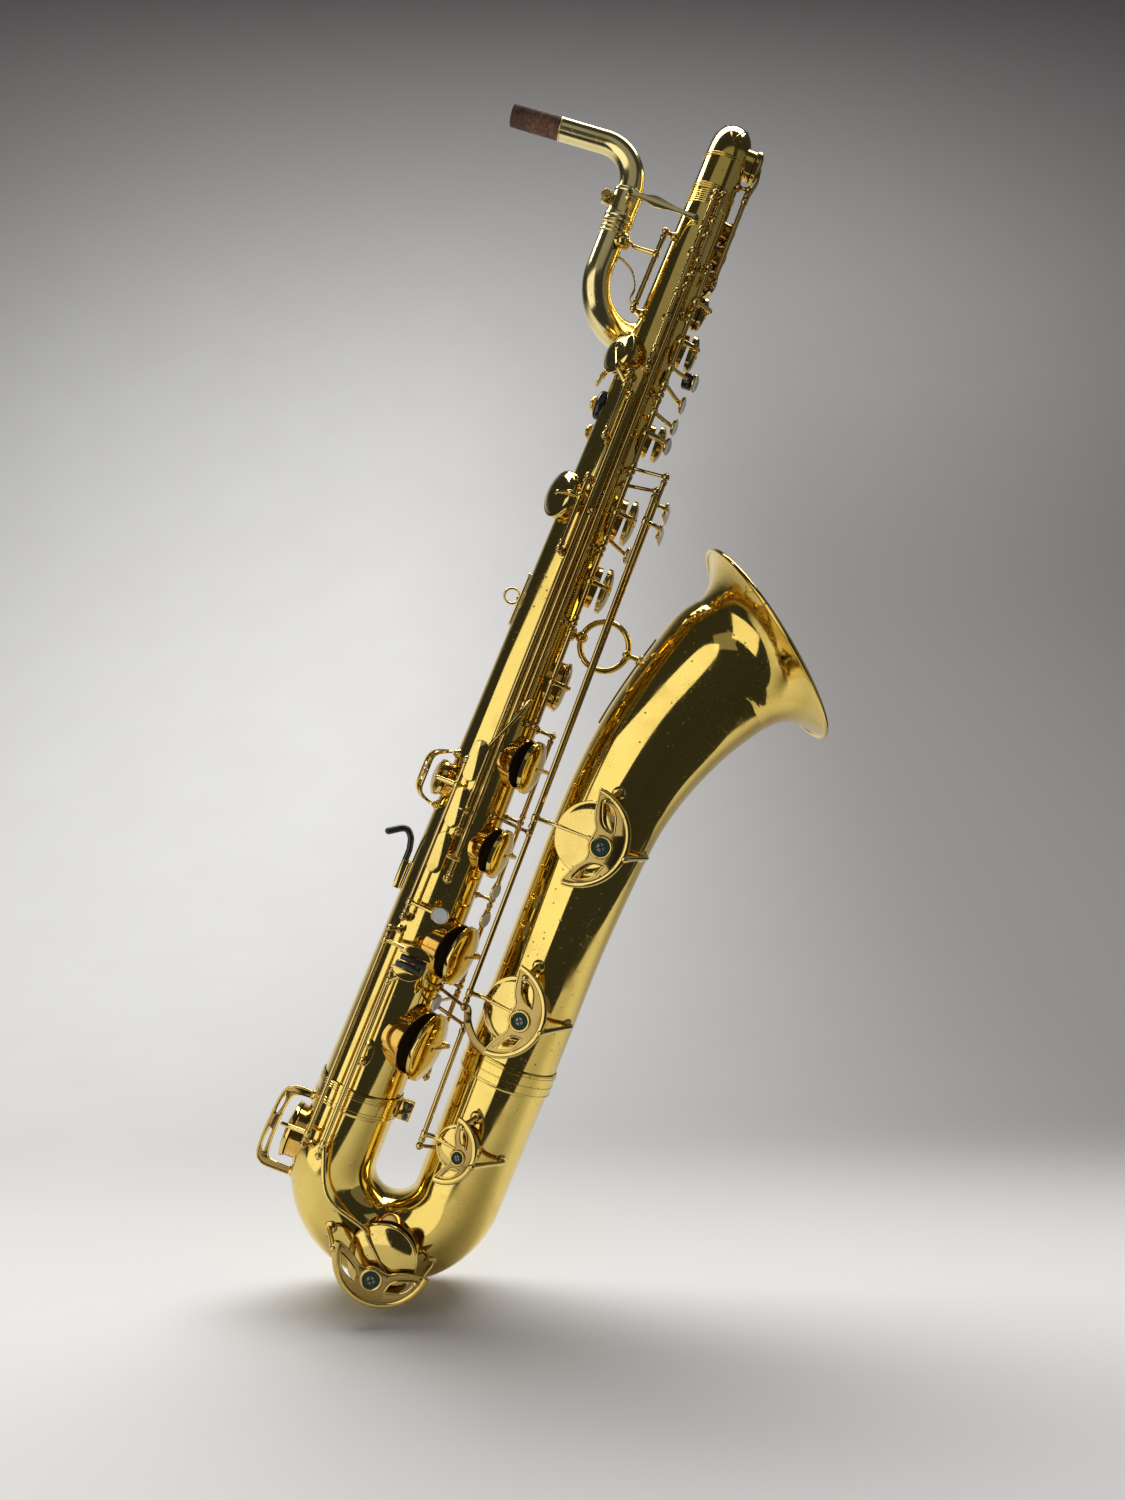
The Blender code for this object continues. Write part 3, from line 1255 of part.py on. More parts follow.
def make_guard(name, scale, height, turn, legs, opened):
    """A crescent guard over a key, on legs, with its hub and a felt bumper under the hub."""
    rim, normal, _ = seats[name]
    place = frame_on(rim + normal * height, normal) @ Matrix.Rotation(math.radians(turn), 4, "Z")
    outlines, (hub_x, hub_y) = guard_outline(scale)
    sheet = plate(outlines, GUARD_THICKNESS, place)
    hub = place @ Vector((hub_x, hub_y, 0))
    boss_end = hub + normal * (GUARD_THICKNESS * 1.4)
    boss_start = hub - normal * (GUARD_THICKNESS * 0.5 + WALL / 2)
    boss = rod(boss_start, boss_end, GUARD_HUB_RADIUS * scale, sides=KNOB_SIDES)
    pieces = [sheet, boss]
    for (x, y), (base, out) in legs:
        top = place @ Vector((x * scale, y * scale, 0))
        pieces.append(tube([base, base + out * GUARD_FOOT, top], GUARD_LEG_RADIUS, 4))
    add_part("guard_" + name, BRASS, pieces)
    felt_top = boss_start - normal * GAP
    felt_bottom = hub - normal * (height - opened)
    felt = rod(felt_bottom, felt_top, BUMPER_RADIUS * scale, sides=KNOB_SIDES)
    add_part("bumper_" + name, FELT, [felt])


def guard_legs(name):
    """Where each leg of a crescent guard meets its plate, and its foot on the tube."""
    if name == "low_c":
        tops = (GUARD_UPPER_TIP, GUARD_LOWER_TIP)
        return list(zip(tops, (bow_surface(*foot) for foot in LOW_C_GUARD_FEET)))
    if name in BELL_HOLES:
        middle, surface = BELL_HOLES[name][0], bell_surface
    else:
        middle, surface = C_SHARP_HOLE_Z, bell_leg_surface
    feet = [surface(middle + above, angle) for above, angle in GUARD_FEET[name]]
    return list(zip((GUARD_UPPER_TIP, GUARD_FAR_SIDE), feet))


def make_guards():
    for name, (scale, height, turn, opened) in GUARDS.items():
        make_guard(name, scale, height, turn, guard_legs(name), opened)
    make_e_flat_guard()
    make_trill_guard()


def make_e_flat_guard():
    """A wire bracket behind the E flat cup."""
    top_x = -(BODY_BOTTOM_RADIUS + 3 * GAP)
    outer = BOW_BEND_RADIUS + bow_radius_at(Vector((0, 0, E_FLAT_GUARD_BOTTOM))) + 4 * GAP
    drop = BOW_BEND_Z - E_FLAT_GUARD_BOTTOM
    bottom_x = BOW_BEND_RADIUS - math.sqrt(outer**2 - drop**2)
    corner = E_FLAT_GUARD_CORNER
    points = [
        Vector((top_x, 0, E_FLAT_GUARD_TOP)),
        Vector((E_FLAT_GUARD_X + corner, 0, E_FLAT_GUARD_TOP)),
        Vector((E_FLAT_GUARD_X, 0, E_FLAT_GUARD_TOP - corner)),
        Vector((E_FLAT_GUARD_X, 0, E_FLAT_GUARD_BOTTOM + corner)),
        Vector((E_FLAT_GUARD_X + corner, 0, E_FLAT_GUARD_BOTTOM)),
        Vector((bottom_x, 0, E_FLAT_GUARD_BOTTOM)),
    ]
    add_part("guard_low_e_flat", BRASS, [tube(points, GUARD_LEG_RADIUS, ROD_SIDES)])


def make_trill_guard():
    """A spoked ring over the trill cup, on two legs."""
    rim, normal, radius = seats["trill"]
    centre = rim + normal * TRILL_GUARD_HEIGHT
    reach = radius + CUP_OVERHANG + GUARD_LEG_RADIUS
    loop = ring(centre, normal, reach, GUARD_LEG_RADIUS, 16)
    pieces = [loop]
    for side in (1, -1):
        edge = centre + UP * (side * reach)
        base = on_body(edge.z + side * TRILL_GUARD_SPREAD, BODY_HOLES["trill"][1], 2 * GAP)
        pieces.append(rod(base, edge, GUARD_LEG_RADIUS, sides=6))
    spoke = GUARD_LEG_RADIUS * TRILL_SPOKE_SHARE
    pieces.append(rod(centre - UP * reach, centre + UP * reach, spoke, sides=6))
    add_part("guard_trill", BRASS, pieces)


def build():
    body = body_shell()
    make_bow()
    make_bell()
    make_ferrules()
    make_upper_bow()
    make_pigtail()
    add_part("body_tube", BRASS, [body, *body_posts()])
    make_receiver()
    make_neck()
    make_neck_brace()
    make_strap_ring()
    make_thumb_hook()
    make_thumb_rest()
    make_bell_brace()
    make_stack_keys()
    make_bell_keys()
    make_pinky_keys()
    make_side_keys()
    make_palm_keys()
    make_octave_keys()
    make_guards()


clear_scene()
instrument = new_collection("baritone_saxophone")
workbench = new_collection("workbench")
build()
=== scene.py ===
"""Looks for the baritone saxophone.

Every piece is drawn in the sizes that the model was made in, measured from the body tube's axis and
the lowest point of the bow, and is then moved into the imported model's frame.
"""

import math

import bmesh
import bpy
from mathutils import Matrix, Vector


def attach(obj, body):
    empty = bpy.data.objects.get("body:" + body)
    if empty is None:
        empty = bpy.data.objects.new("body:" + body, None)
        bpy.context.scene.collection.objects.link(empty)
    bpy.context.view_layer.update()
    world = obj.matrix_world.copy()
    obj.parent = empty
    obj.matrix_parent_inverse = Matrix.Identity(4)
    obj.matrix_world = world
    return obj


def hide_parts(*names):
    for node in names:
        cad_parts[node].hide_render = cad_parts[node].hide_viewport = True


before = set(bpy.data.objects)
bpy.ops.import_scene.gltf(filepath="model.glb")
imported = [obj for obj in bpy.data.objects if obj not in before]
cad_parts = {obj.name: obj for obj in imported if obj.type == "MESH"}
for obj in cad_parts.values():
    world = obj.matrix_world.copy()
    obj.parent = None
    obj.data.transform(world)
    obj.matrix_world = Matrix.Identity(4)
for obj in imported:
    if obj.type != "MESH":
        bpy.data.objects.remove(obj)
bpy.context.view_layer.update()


# Fits
GAP = 0.0003
WALL = 0.0011

# Body tube
BODY_BOTTOM_Z = 0.137
BODY_TOP_Z = 0.923
BODY_BOTTOM_RADIUS = 0.0335
BODY_TOP_RADIUS = 0.0177

# Bow
BOW_BEND_RADIUS = 0.053
BOW_BEND_Z = 0.089
BOW_END_Z = 0.2008
BOW_END_RADIUS = 0.0375
BOW_STEPS = 9
BELL_LEG_X = 2 * BOW_BEND_RADIUS

# Bell: its axis leans from upright to the rim's lean
BELL_LEAN = math.radians(37.3)
BELL_THROAT_REACH = 0.044
BELL_THROAT_Z = 0.567
BELL_THROAT = Vector((BELL_LEG_X + BELL_THROAT_REACH, 0, BELL_THROAT_Z))
BELL_THROAT_RADIUS = 0.059
BELL_FLARE_LENGTH = 0.0414
BELL_RIM_RADIUS = 0.0885
BELL_BEAD_RADIUS = 0.002

# Ferrules
FERRULE_WALL = 0.0018
FERRULE_LENGTH = 0.02
FERRULE_BEAD = 0.0006
CLAMP_LUG = Vector((0.011, 0.008, 0.016))
# Each half of a split lug: its width and the shift of its middle, as shares of the lug's width
LUG_HALF = 0.42
LUG_SHIFT = 0.28

# Upper bow, pigtail and neck
UPPER_BEND_RADIUS = 0.0225
UPPER_BEND_RISE = 0.032
UPPER_END_RISE = 0.007
UPPER_BEND_Z = BODY_TOP_Z + UPPER_BEND_RISE
UPPER_END_Z = BODY_TOP_Z + UPPER_END_RISE
UPPER_END_RADIUS = 0.0152
PIGTAIL_FAR_X = -0.003
NECK_X = -0.0644
PIGTAIL_BEND_Z = 0.838
PIGTAIL_END_RADIUS = 0.0112
RECEIVER_BOTTOM_Z = 0.8745
RECEIVER_TOP_Z = 0.902
RECEIVER_RADIUS = 0.0126
NECK_ROOT_RADIUS = 0.0106
NECK_TENON_DEPTH = 0.018
NECK_BEND_RADIUS = 0.031
NECK_DROOP = math.radians(5)
CORK_START_X = -0.1365
CORK_LENGTH = 0.0405
CORK_RADIUS = 0.0092
NECK_TIP_RADIUS = 0.0074

# Keywork
CHIMNEY_HEIGHT = 0.005
CHIMNEY_WALL = 0.0011
CUP_OVERHANG = 0.0025
FOOT_INSET = 0.0063
CUP_SIDE = 0.0036
CUP_CROWN = 0.0022
PAD_LIFT = 0.0004
ROD_RADIUS = 0.0021
ARM_RADIUS = 0.002
TOUCH_ARM_RADIUS = 0.0018
POST_RADIUS = 0.0017
POST_BALL = 0.0031
PEARL_RADIUS = 0.0072
PEARL_THICKNESS = 0.0042

# Strap ring, thumb hook and thumb rest, on the back of the body. The strap ring stands below the
# side B flat hole and the thumb rest above it.
SIDE_B_FLAT_Z = 0.65
STRAP_BELOW_HOLE = 0.089
STRAP_Z = SIDE_B_FLAT_Z - STRAP_BELOW_HOLE
STRAP_RING_RADIUS = 0.0062
STRAP_WIRE = 0.001
STRAP_PLATE = Vector((0.0016, 0.007, 0.046))
HOOK_Z = 0.316
HOOK_PLATE = Vector((0.0016, 0.0125, 0.024))
HOOK_WIRE = 0.0026
HOOK_RISE = 0.034
HOOK_REACH = 0.0215
HOOK_BEND_SHARE = 0.85
HOOK_CREST_SHARE = 1.28
HOOK_TIP_SHARE = 1.08
HOOK_CREST_REACH_SHARE = 0.45
HOOK_SHOULDER = Vector((0.002, 0, 0.0025))
THUMB_REST_ABOVE_HOLE = 0.083
THUMB_REST_Z = SIDE_B_FLAT_Z + THUMB_REST_ABOVE_HOLE
THUMB_REST_RADIUS = 0.0072
THUMB_REST_STRETCH = 1.7
THUMB_REST_HEIGHT = 0.0055

# Bell brace
BRACE_Z = 0.55
BRACE_BELL_STUB = 0.0118
BRACE_WIRE = 0.0021
BRACE_BALL = 0.0052
BRACE_BELL_BALL = 0.0042
BRACE_FOOT_RADIUS = 0.006
BRACE_FOOT_THICKNESS = 0.002

# Palm key holes, measured down from the top of the body
PALM_D_DROP = 0.062
PALM_E_FLAT_DROP = 0.0395
PALM_F_DROP = 0.018

# Tone holes on the body: height, angle round the body, hole radius
BODY_HOLES = {
    "low_d": (0.197, -32, 0.0255),
    "low_e": (0.275, -32, 0.0222),
    "low_f": (0.362, -29, 0.018),
    "low_f_sharp": (0.436, -30, 0.0195),
    "g_sharp": (0.506, 0, 0.0185),
    "g": (0.592, 5, 0.0165),
    "a": (0.651, 5, 0.0165),
    "b": (0.72, 5, 0.0125),
    "c": (0.7985, 5, 0.0128),
    "front_f": (0.8325, 5, 0.012),
    "side_b_flat": (SIDE_B_FLAT_Z, -146, 0.0175),
    "side_c": (0.774, -144, 0.0155),
    "trill": (0.402, -160, 0.0125),
    "palm_d": (BODY_TOP_Z - PALM_D_DROP, 25, 0.0085),
    "palm_e_flat": (BODY_TOP_Z - PALM_E_FLAT_DROP, 25, 0.008),
    "palm_f": (BODY_TOP_Z - PALM_F_DROP, 25, 0.0075),
}
# Tone holes on the bow: point on its axis, angle, hole radius
LOW_C_BEND_ANGLE = math.radians(-75)
LOW_C_AXIS = Vector(
    (
        BOW_BEND_RADIUS * (1 + math.cos(LOW_C_BEND_ANGLE)),
        0,
        BOW_BEND_Z + BOW_BEND_RADIUS * math.sin(LOW_C_BEND_ANGLE),
    )
)
C_SHARP_HOLE_Z = 0.137
BOW_HOLES = {
    "low_c_sharp": (Vector((BELL_LEG_X, 0, C_SHARP_HOLE_Z)), -112, 0.0155),
    "low_c": (LOW_C_AXIS, -90, 0.0253),
    "low_e_flat": (Vector((0, 0, BOW_BEND_Z)), 180, 0.0203),
}
# Tone holes on the bell: height, angle, hole radius
BELL_HOLES = {
    "low_b_flat": (0.4026, -101.5, 0.0268),
    "low_b": (0.255, -108, 0.0243),
}
HIGH_E_HOLE = (Vector((0, 0.003, 0.961)), 0, 0.011)
# Bell stations below the throat: axis off the bell leg, height, outer radius
BELL_STATIONS = [
    (0, BOW_END_Z + GAP, BOW_END_RADIUS),
    (-0.0002, BELL_HOLES["low_b"][0], 0.038),
    (-0.0004, 0.32, 0.0387),
    (0.0016, BELL_HOLES["low_b_flat"][0], 0.0416),
    (0.005, 0.443, 0.044), (0.013, 0.484, 0.048), (0.026, 0.525, 0.0525),
]
FLARE_POWER = 3.4

# Octave pip on the pigtail's near leg
OCTAVE_PIP_ANGLE = -45
OCTAVE_PIP_Z = 0.8605
OCTAVE_PIP_HEIGHT = 0.003
OCTAVE_PIP_RADIUS = 0.004

# Heights of the stacks' posts, and the angle and height of their hinges on the body
STACK_POSTS = (0.166, 0.246, 0.322, 0.39, 0.466)
UPPER_POSTS = (0.556, 0.62, 0.686, 0.752, 0.82, 0.862)
STACK_ANGLE = 10
STACK_HEIGHT = 0.014
UPPER_ANGLE = -48
UPPER_HEIGHT = 0.01
# Hinges that stand free of the body: lower and upper post ball
C_SHARP_HINGE = (
    Vector((BELL_LEG_X - 0.0445, -0.04, C_SHARP_HOLE_Z - 0.009)),
    Vector((BELL_LEG_X - 0.0465, -0.04, C_SHARP_HOLE_Z + 0.092)),
)
# Where on its tube the post of each free hinge stands, lower before upper
C_SHARP_POST_ANGLE = -135
LOW_C_POST_ANGLE = -102
E_FLAT_POST_ANGLE = -123
C_SHARP_TOP_POST_ANGLE = -20
LOW_B_POST_ANGLES = (-20, -26)
LOW_B_FLAT_POST_ANGLES = (-45, -37)
HIGH_E_POST_ANGLES = (-12, -16)
OCTAVE_LEVER_POST_ANGLES = (177, 143)
# The low B and B flat hinges run up between the bow's legs
LOW_B_HINGE = (
    Vector((BOW_BEND_RADIUS + 0.001, -0.042, 0.243)),
    Vector((BOW_BEND_RADIUS - 0.004, -0.0235, 0.692)),
)
LOW_B_FLAT_HINGE = (
    Vector((BOW_BEND_RADIUS - 0.0015, -0.047, 0.389)),
    Vector((BOW_BEND_RADIUS - 0.007, -0.035, 0.676)),
)
LOW_C_HINGE = (Vector((-0.0092, -0.044, 0.093)), Vector((-0.0088, -0.0425, 0.25)))
E_FLAT_HINGE = (Vector((-0.0243, -0.0372, 0.094)), Vector((-0.0232, -0.0356, 0.278)))
HIGH_E_HINGE = (Vector((0.0268, -0.0075, 0.856)), Vector((0.0262, -0.0075, 0.938)))
OCTAVE_LEVER_ABOVE_REST = 0.037
OCTAVE_LEVER_Z = THUMB_REST_Z + OCTAVE_LEVER_ABOVE_REST
OCTAVE_LEVER_ENDS_Y = (0.0015, 0.0215)
OCTAVE_LEVER_X = -0.028
OCTAVE_TOUCH_X = -0.031
OCTAVE_TOUCH_Y = 0.0058
OCTAVE_TOUCH_ABOVE_REST = 0.01
OCTAVE_FACING = Vector((-1, 0, 0.25)).normalized()
OCTAVE_TOUCH = (0.016, 0.015, 0.002)

SIDE_HEIGHT = 0.007
SIDE_FACING = Vector((-0.15, -1, 0)).normalized()
# Side levers: rod angle, lower and upper post, touch height
SIDE_LEVERS = {
    "lever_side_b_flat": (-81.5, 0.33, 0.645, 0.349),
    "lever_side_c": (-92, 0.368, 0.742, 0.387),
    "lever_high_e": (-72, 0.472, 0.842, 0.426),
}
SIDE_TOUCH = (0.012, 0.034, 0.0022)
SIDE_TOUCH_X = -0.008
SIDE_TOUCH_Y = -0.0465
SIDE_KNEE = 0.0105
SIDE_CUP_ANGLE = -104
SIDE_CUP_HEIGHT = 0.012
SIDE_B_FLAT_POSTS = (0.606, 0.668)
SIDE_C_POSTS = (0.703, 0.757)
PALM_HEIGHT = 0.0042
# Palm keys: rod angle, lower and upper post, touch place
PALM_KEYS = {
    "palm_d": (60, 0.684, 0.866, Vector((-0.017, 0.031, 0.695))),
    "palm_e_flat": (78, 0.704, 0.89, Vector((-0.022, 0.027, 0.716))),
    "palm_f": (96, 0.725, 0.913, Vector((-0.027, 0.022, 0.738))),
}
PALM_TOUCH = (0.015, 0.014, 0.0022)
# Angle on the body, height above it, lower and upper post
TRILL_HINGE = (-115, 0.009, 0.29, 0.424)
OCTAVE_HINGE = (-154, 0.0085, 0.812, 0.88)
TRILL_PEARL = Vector((0.0105, -0.0435, 0.303))
# The little finger's round touch, its rollers, and the table of low B and B flat touches
PINKY_TOUCH = Vector((0.0045, -0.056, 0.262))
PINKY_RADIUS = 0.014
PINKY_THICKNESS = 0.0025
ROLLER_RADIUS = 0.0024
ROLLER_LENGTH = 0.021
TABLE_X = BOW_BEND_RADIUS + 0.0045
TABLE_Y = -0.006
TABLE_KNEE_X = BOW_BEND_RADIUS + 0.0052
LOW_B_KNEE_Y = -0.0215
LOW_B_FLAT_KNEE_Y = -0.029
LOW_B_TOUCH_Z = 0.668
LOW_B_FLAT_TOUCH_Z = 0.65
TABLE_TOUCH = (0.034, 0.014, 0.0022)

# How far the stack keys and low C stand open, in degrees
STACK_OPENS = 11
PINKY_OPENS = 7
# How far the middle of an open bell key's cup stands off its rim
BELL_LIFTS = {"low_b": 0.00536, "low_b_flat": 0.00652}
# Lower post of the G sharp key
G_SHARP_LOW_Z = 0.468

# Finger pearls of the stacks, from the bottom up: height and angle on the body
LOWER_STACK = {
    "d": (0.2375, -62),
    "e": (0.3095, -32),
    "f": (0.3335, -32),
    "f_sharp": (None, None),
}
LOWER_PEARL_HEIGHT = 0.0125
LOWER_PEARL_FACING = -36
UPPER_STACK = {"g": None, "a": 0.6255, "b": 0.737, "c": 0.756}
UPPER_PEARL_ANGLE = 0
UPPER_PEARL_HEIGHT = 0.0125

# Neck brace and clamp
NECK_BRACE_Z = 0.8955
NECK_BRACE_Y = -0.0208
NECK_BRACE_WIDTH = 0.009
NECK_BRACE_END_WIDTH = 0.005
NECK_BRACE_THICKNESS = 0.002
NECK_BRACE_BODY_X = -0.005
NECK_BRACE_NECK_X = -0.0619
NECK_BRACE_WIDEST_X = -0.0391
NECK_BRACE_FOOT_RADIUS = 0.0022
CLAMP_LUG_REACH = 0.0075
CLAMP_LUG_HEIGHT = 0.012
CLAMP_LUG_WIDTH = 0.005
CLAMP_SCREW_RADIUS = 0.0018
CLAMP_KNOB_RADIUS = 0.004
CLAMP_KNOB_END_RADIUS = 0.0034
CLAMP_KNOB_LENGTH = 0.0045

# Key guards at full scale: the plate, its legs and where each leg meets it
GUARD_THICKNESS = 0.0016
GUARD_HUB_RADIUS = 0.0085
GUARD_LEG_RADIUS = 0.0018
GUARD_FOOT = 0.004
BUMPER_RADIUS = 0.0052
GUARD_UPPER_TIP = (0.003, 0.032)
GUARD_FAR_SIDE = (0.0325, -0.004)
GUARD_LOWER_TIP = (0.0005, -0.0395)
# Each crescent guard: scale, height over the rim, turn, height of the felt's foot
GUARDS = {
    "low_b_flat": (1.0, 0.0185, 0, 0.016),
    "low_b": (0.93, 0.0175, 0, 0.0148),
    "low_c_sharp": (0.66, 0.015, 0, 0.0129),
    "low_c": (0.97, 0.02, -90, 0.0172),
}
# Guard feet on a straight tube: height above the hole's middle, angle round the tube
GUARD_FEET = {
    "low_b_flat": ((0.041, -97), (0, -32)),
    "low_b": ((0.038, -103), (0, -38)),
    "low_c_sharp": ((0.0265, -107), (0, -58)),
}
# Guard feet on the bow: angle round the bend, distance outwards from its axis
LOW_C_GUARD_FEET = ((-43, 0.015), (-124, 0.006))

# Wire guards
E_FLAT_GUARD_TOP = 0.121
E_FLAT_GUARD_BOTTOM = 0.056
TRILL_GUARD_HEIGHT = 0.0125

UP = Vector((0, 0, 1))
RIGHT = Vector((1, 0, 0))
LEFT = Vector((-1, 0, 0))
FRONT = Vector((0, -1, 0))
BACK = Vector((0, 1, 0))
# Points nearer than this are one point
TINY = 1e-6
# The most of an edge that the rounding of one of its corners takes
ROUNDED_SHARE = 0.45
# Edges that turn more sharply than this are shaded as corners
SHARP_ANGLE = math.radians(38)
# How much the corners of small turned pieces are softened
SOFT_EDGE = 0.0003
MID_EDGE = 0.0004
BROAD_EDGE = 0.0005
# A flat strap's thickness, as a share of its width
STRAP_FLATNESS = 0.24


def frame_on(origin, z_axis, x_hint=RIGHT):
    """A matrix at origin whose Z is z_axis and whose X leans to x_hint."""
    z = z_axis.normalized()
    x = x_hint - z * x_hint.dot(z)
    if x.length < TINY:
        x = z.orthogonal()
    x.normalize()
    turn = Matrix((x, z.cross(x), z)).transposed().to_4x4()
    return Matrix.Translation(origin) @ turn


def around(angle):
    """Unit vector at angle degrees from +X towards +Y."""
    return Vector((math.cos(math.radians(angle)), math.sin(math.radians(angle)), 0))


def body_radius(z):
    share = (z - BODY_BOTTOM_Z) / (BODY_TOP_Z - BODY_BOTTOM_Z)
    return BODY_BOTTOM_RADIUS + share * (BODY_TOP_RADIUS - BODY_BOTTOM_RADIUS)


def on_body(z, angle, height=0.0):
    return around(angle) * (body_radius(z) + height) + UP * z


HANG_POINT = on_body(STRAP_Z, 180, GAP + STRAP_PLATE.x + STRAP_RING_RADIUS - STRAP_WIRE / 4)


def smooth_path(points, steps):
    """Points of a Catmull-Rom curve through points, vectors of any kind, steps to each span."""
    ends = [points[0] * 2 - points[1], *points, points[-1] * 2 - points[-2]]
    found = []
    for index in range(1, len(ends) - 2):
        before, start, stop, after = ends[index - 1 : index + 3]
        for step in range(steps):
            t = step / steps
            found.append(
                start
                + (stop - before) * (t / 2)
                + (before * 2 - start * 5 + stop * 4 - after) * (t * t / 2)
                + (start * 3 - before - stop * 3 + after) * (t**3 / 2)
            )
    return [*found, points[-1]]


def arc(centre, from_dir, to_dir, radius, turn, steps):
    angles = [turn * step / steps for step in range(steps + 1)]
    return [centre + (from_dir * math.cos(a) + to_dir * math.sin(a)) * radius for a in angles]


def flat_points(*millimetres):
    """Points of a flat outline, given in millimetres."""
    return [Vector(pair) / 1000 for pair in millimetres]


def loop_through(points):
    """A smooth closed outline through points."""
    return smooth_path([*points, points[0]], 6)[:-1]


def taper(start, stop, count):
    """Radii that change evenly from start to stop."""
    step = (stop - start) / (count - 1)
    return [start + step * index for index in range(count)]


def rounded(profile, radius, steps=3):
    """profile with its inner corners rounded off."""
    points = [Vector(point) for point in profile]
    found = [points[0]]
    for before, corner, after in zip(points, points[1:], points[2:]):
        into = corner - before
        out = after - corner
        cut = min(radius, into.length * ROUNDED_SHARE, out.length * ROUNDED_SHARE)
        start = corner - into.normalized() * cut
        stop = corner + out.normalized() * cut
        for step in range(steps + 1):
            t = step / steps
            found.append(start * (1 - t) ** 2 + corner * (2 * t * (1 - t)) + stop * t * t)
    return [tuple(point) for point in (*found, points[-1])]


def section(shares, radius, height):
    """A half section from shares of a radius and a height."""
    return [(radius * across, height * up) for across, up in shares]


def lathe(profile, matrix=Matrix.Identity(4), steps=32):
    """A surface of revolution about the matrix's Z from (radius, height) points."""
    shape = bmesh.new()
    verts = [shape.verts.new((radius, 0, height)) for radius, height in profile]
    edges = [shape.edges.new(pair) for pair in zip(verts, verts[1:])]
    bmesh.ops.spin(
        shape, geom=verts + edges, axis=(0, 0, 1), angle=math.tau, steps=steps, use_merge=True
    )
    bmesh.ops.remove_doubles(shape, verts=shape.verts, dist=TINY)
    bmesh.ops.recalc_face_normals(shape, faces=shape.faces)
    shape.transform(matrix)
    return shape


def sweep(points, radii, sides=16, flat=1.0, across=None, caps=True, closed=False):
    """A rod along points. radii is one radius or one for each point; flat squeezes its section
    square to across, which is the direction of its width."""
    count = len(points)
    if not isinstance(radii, (list, tuple)):
        radii = [radii] * count
    places = []
    side = across
    for index, point in enumerate(points):
        before = points[index - 1] if index or closed else point
        after = points[(index + 1) % count] if index + 1 < count or closed else point
        along = (after - before).normalized()
        if side is None:
            side = along.orthogonal()
        side = (side - along * side.dot(along)).normalized()
        radius = radii[index]
        axes = Matrix((side * radius, along.cross(side) * (radius * flat), along)).transposed()
        places.append(Matrix.Translation(point) @ axes.to_4x4())
        side = side if across is None else across
    shape = bmesh.new()
    capped = caps and not closed
    bmesh.ops.create_circle(shape, cap_ends=capped, segments=sides, radius=1, matrix=places[0])
    first = shape.edges[:]
    edges = first
    for place, after in zip(places, places[1:]):
        made = bmesh.ops.extrude_edge_only(shape, edges=edges)["geom"]
        verts = [item for item in made if isinstance(item, bmesh.types.BMVert)]
        bmesh.ops.transform(shape, matrix=after @ place.inverted(), verts=verts)
        edges = [item for item in made if isinstance(item, bmesh.types.BMEdge) and item.is_boundary]
    if closed:
        bmesh.ops.bridge_loops(shape, edges=first + edges)
    elif capped:
        bmesh.ops.contextual_create(shape, geom=edges)
    bmesh.ops.recalc_face_normals(shape, faces=shape.faces)
    return shape


def ball(centre, radius, sides=20):
    shape = bmesh.new()
    bmesh.ops.create_uvsphere(
        shape, u_segments=sides, v_segments=sides // 2, radius=radius, matrix=Matrix.Translation(centre)
    )
    return shape


def block(size, matrix, bevel):
    """A box with rounded edges."""
    shape = bmesh.new()
    bmesh.ops.create_cube(shape, size=1)
    shape.transform(Matrix.Diagonal((*size, 1)))
    bmesh.ops.bevel(
        shape, geom=shape.edges[:], offset=bevel, segments=3, profile=0.5, affect="EDGES", material=-1
    )
    shape.transform(matrix)
    return shape


def plate(outlines, thickness, matrix, bevel):
    """A flat plate with rounded edges: the first outline is its edge, the rest are openings."""
    path = bpy.data.curves.new("outline", "CURVE")
    path.dimensions = "2D"
    path.fill_mode = "BOTH"
    path.extrude = thickness / 2 - bevel
    path.bevel_depth = bevel
    path.bevel_resolution = 1
    path.offset = -bevel
    for outline in outlines:
        line = path.splines.new("POLY")
        line.points.add(len(outline) - 1)
        for point, (x, y) in zip(line.points, outline):
            point.co = (x, y, 0, 1)
        line.use_cyclic_u = True
    item = bpy.data.objects.new("outline", path)
    shape = bmesh.new()
    shape.from_mesh(item.to_mesh())
    item.to_mesh_clear()
    bpy.data.objects.remove(item)
    bmesh.ops.remove_doubles(shape, verts=shape.verts, dist=TINY)
    bmesh.ops.recalc_face_normals(shape, faces=shape.faces)
    shape.transform(matrix)
    return shape


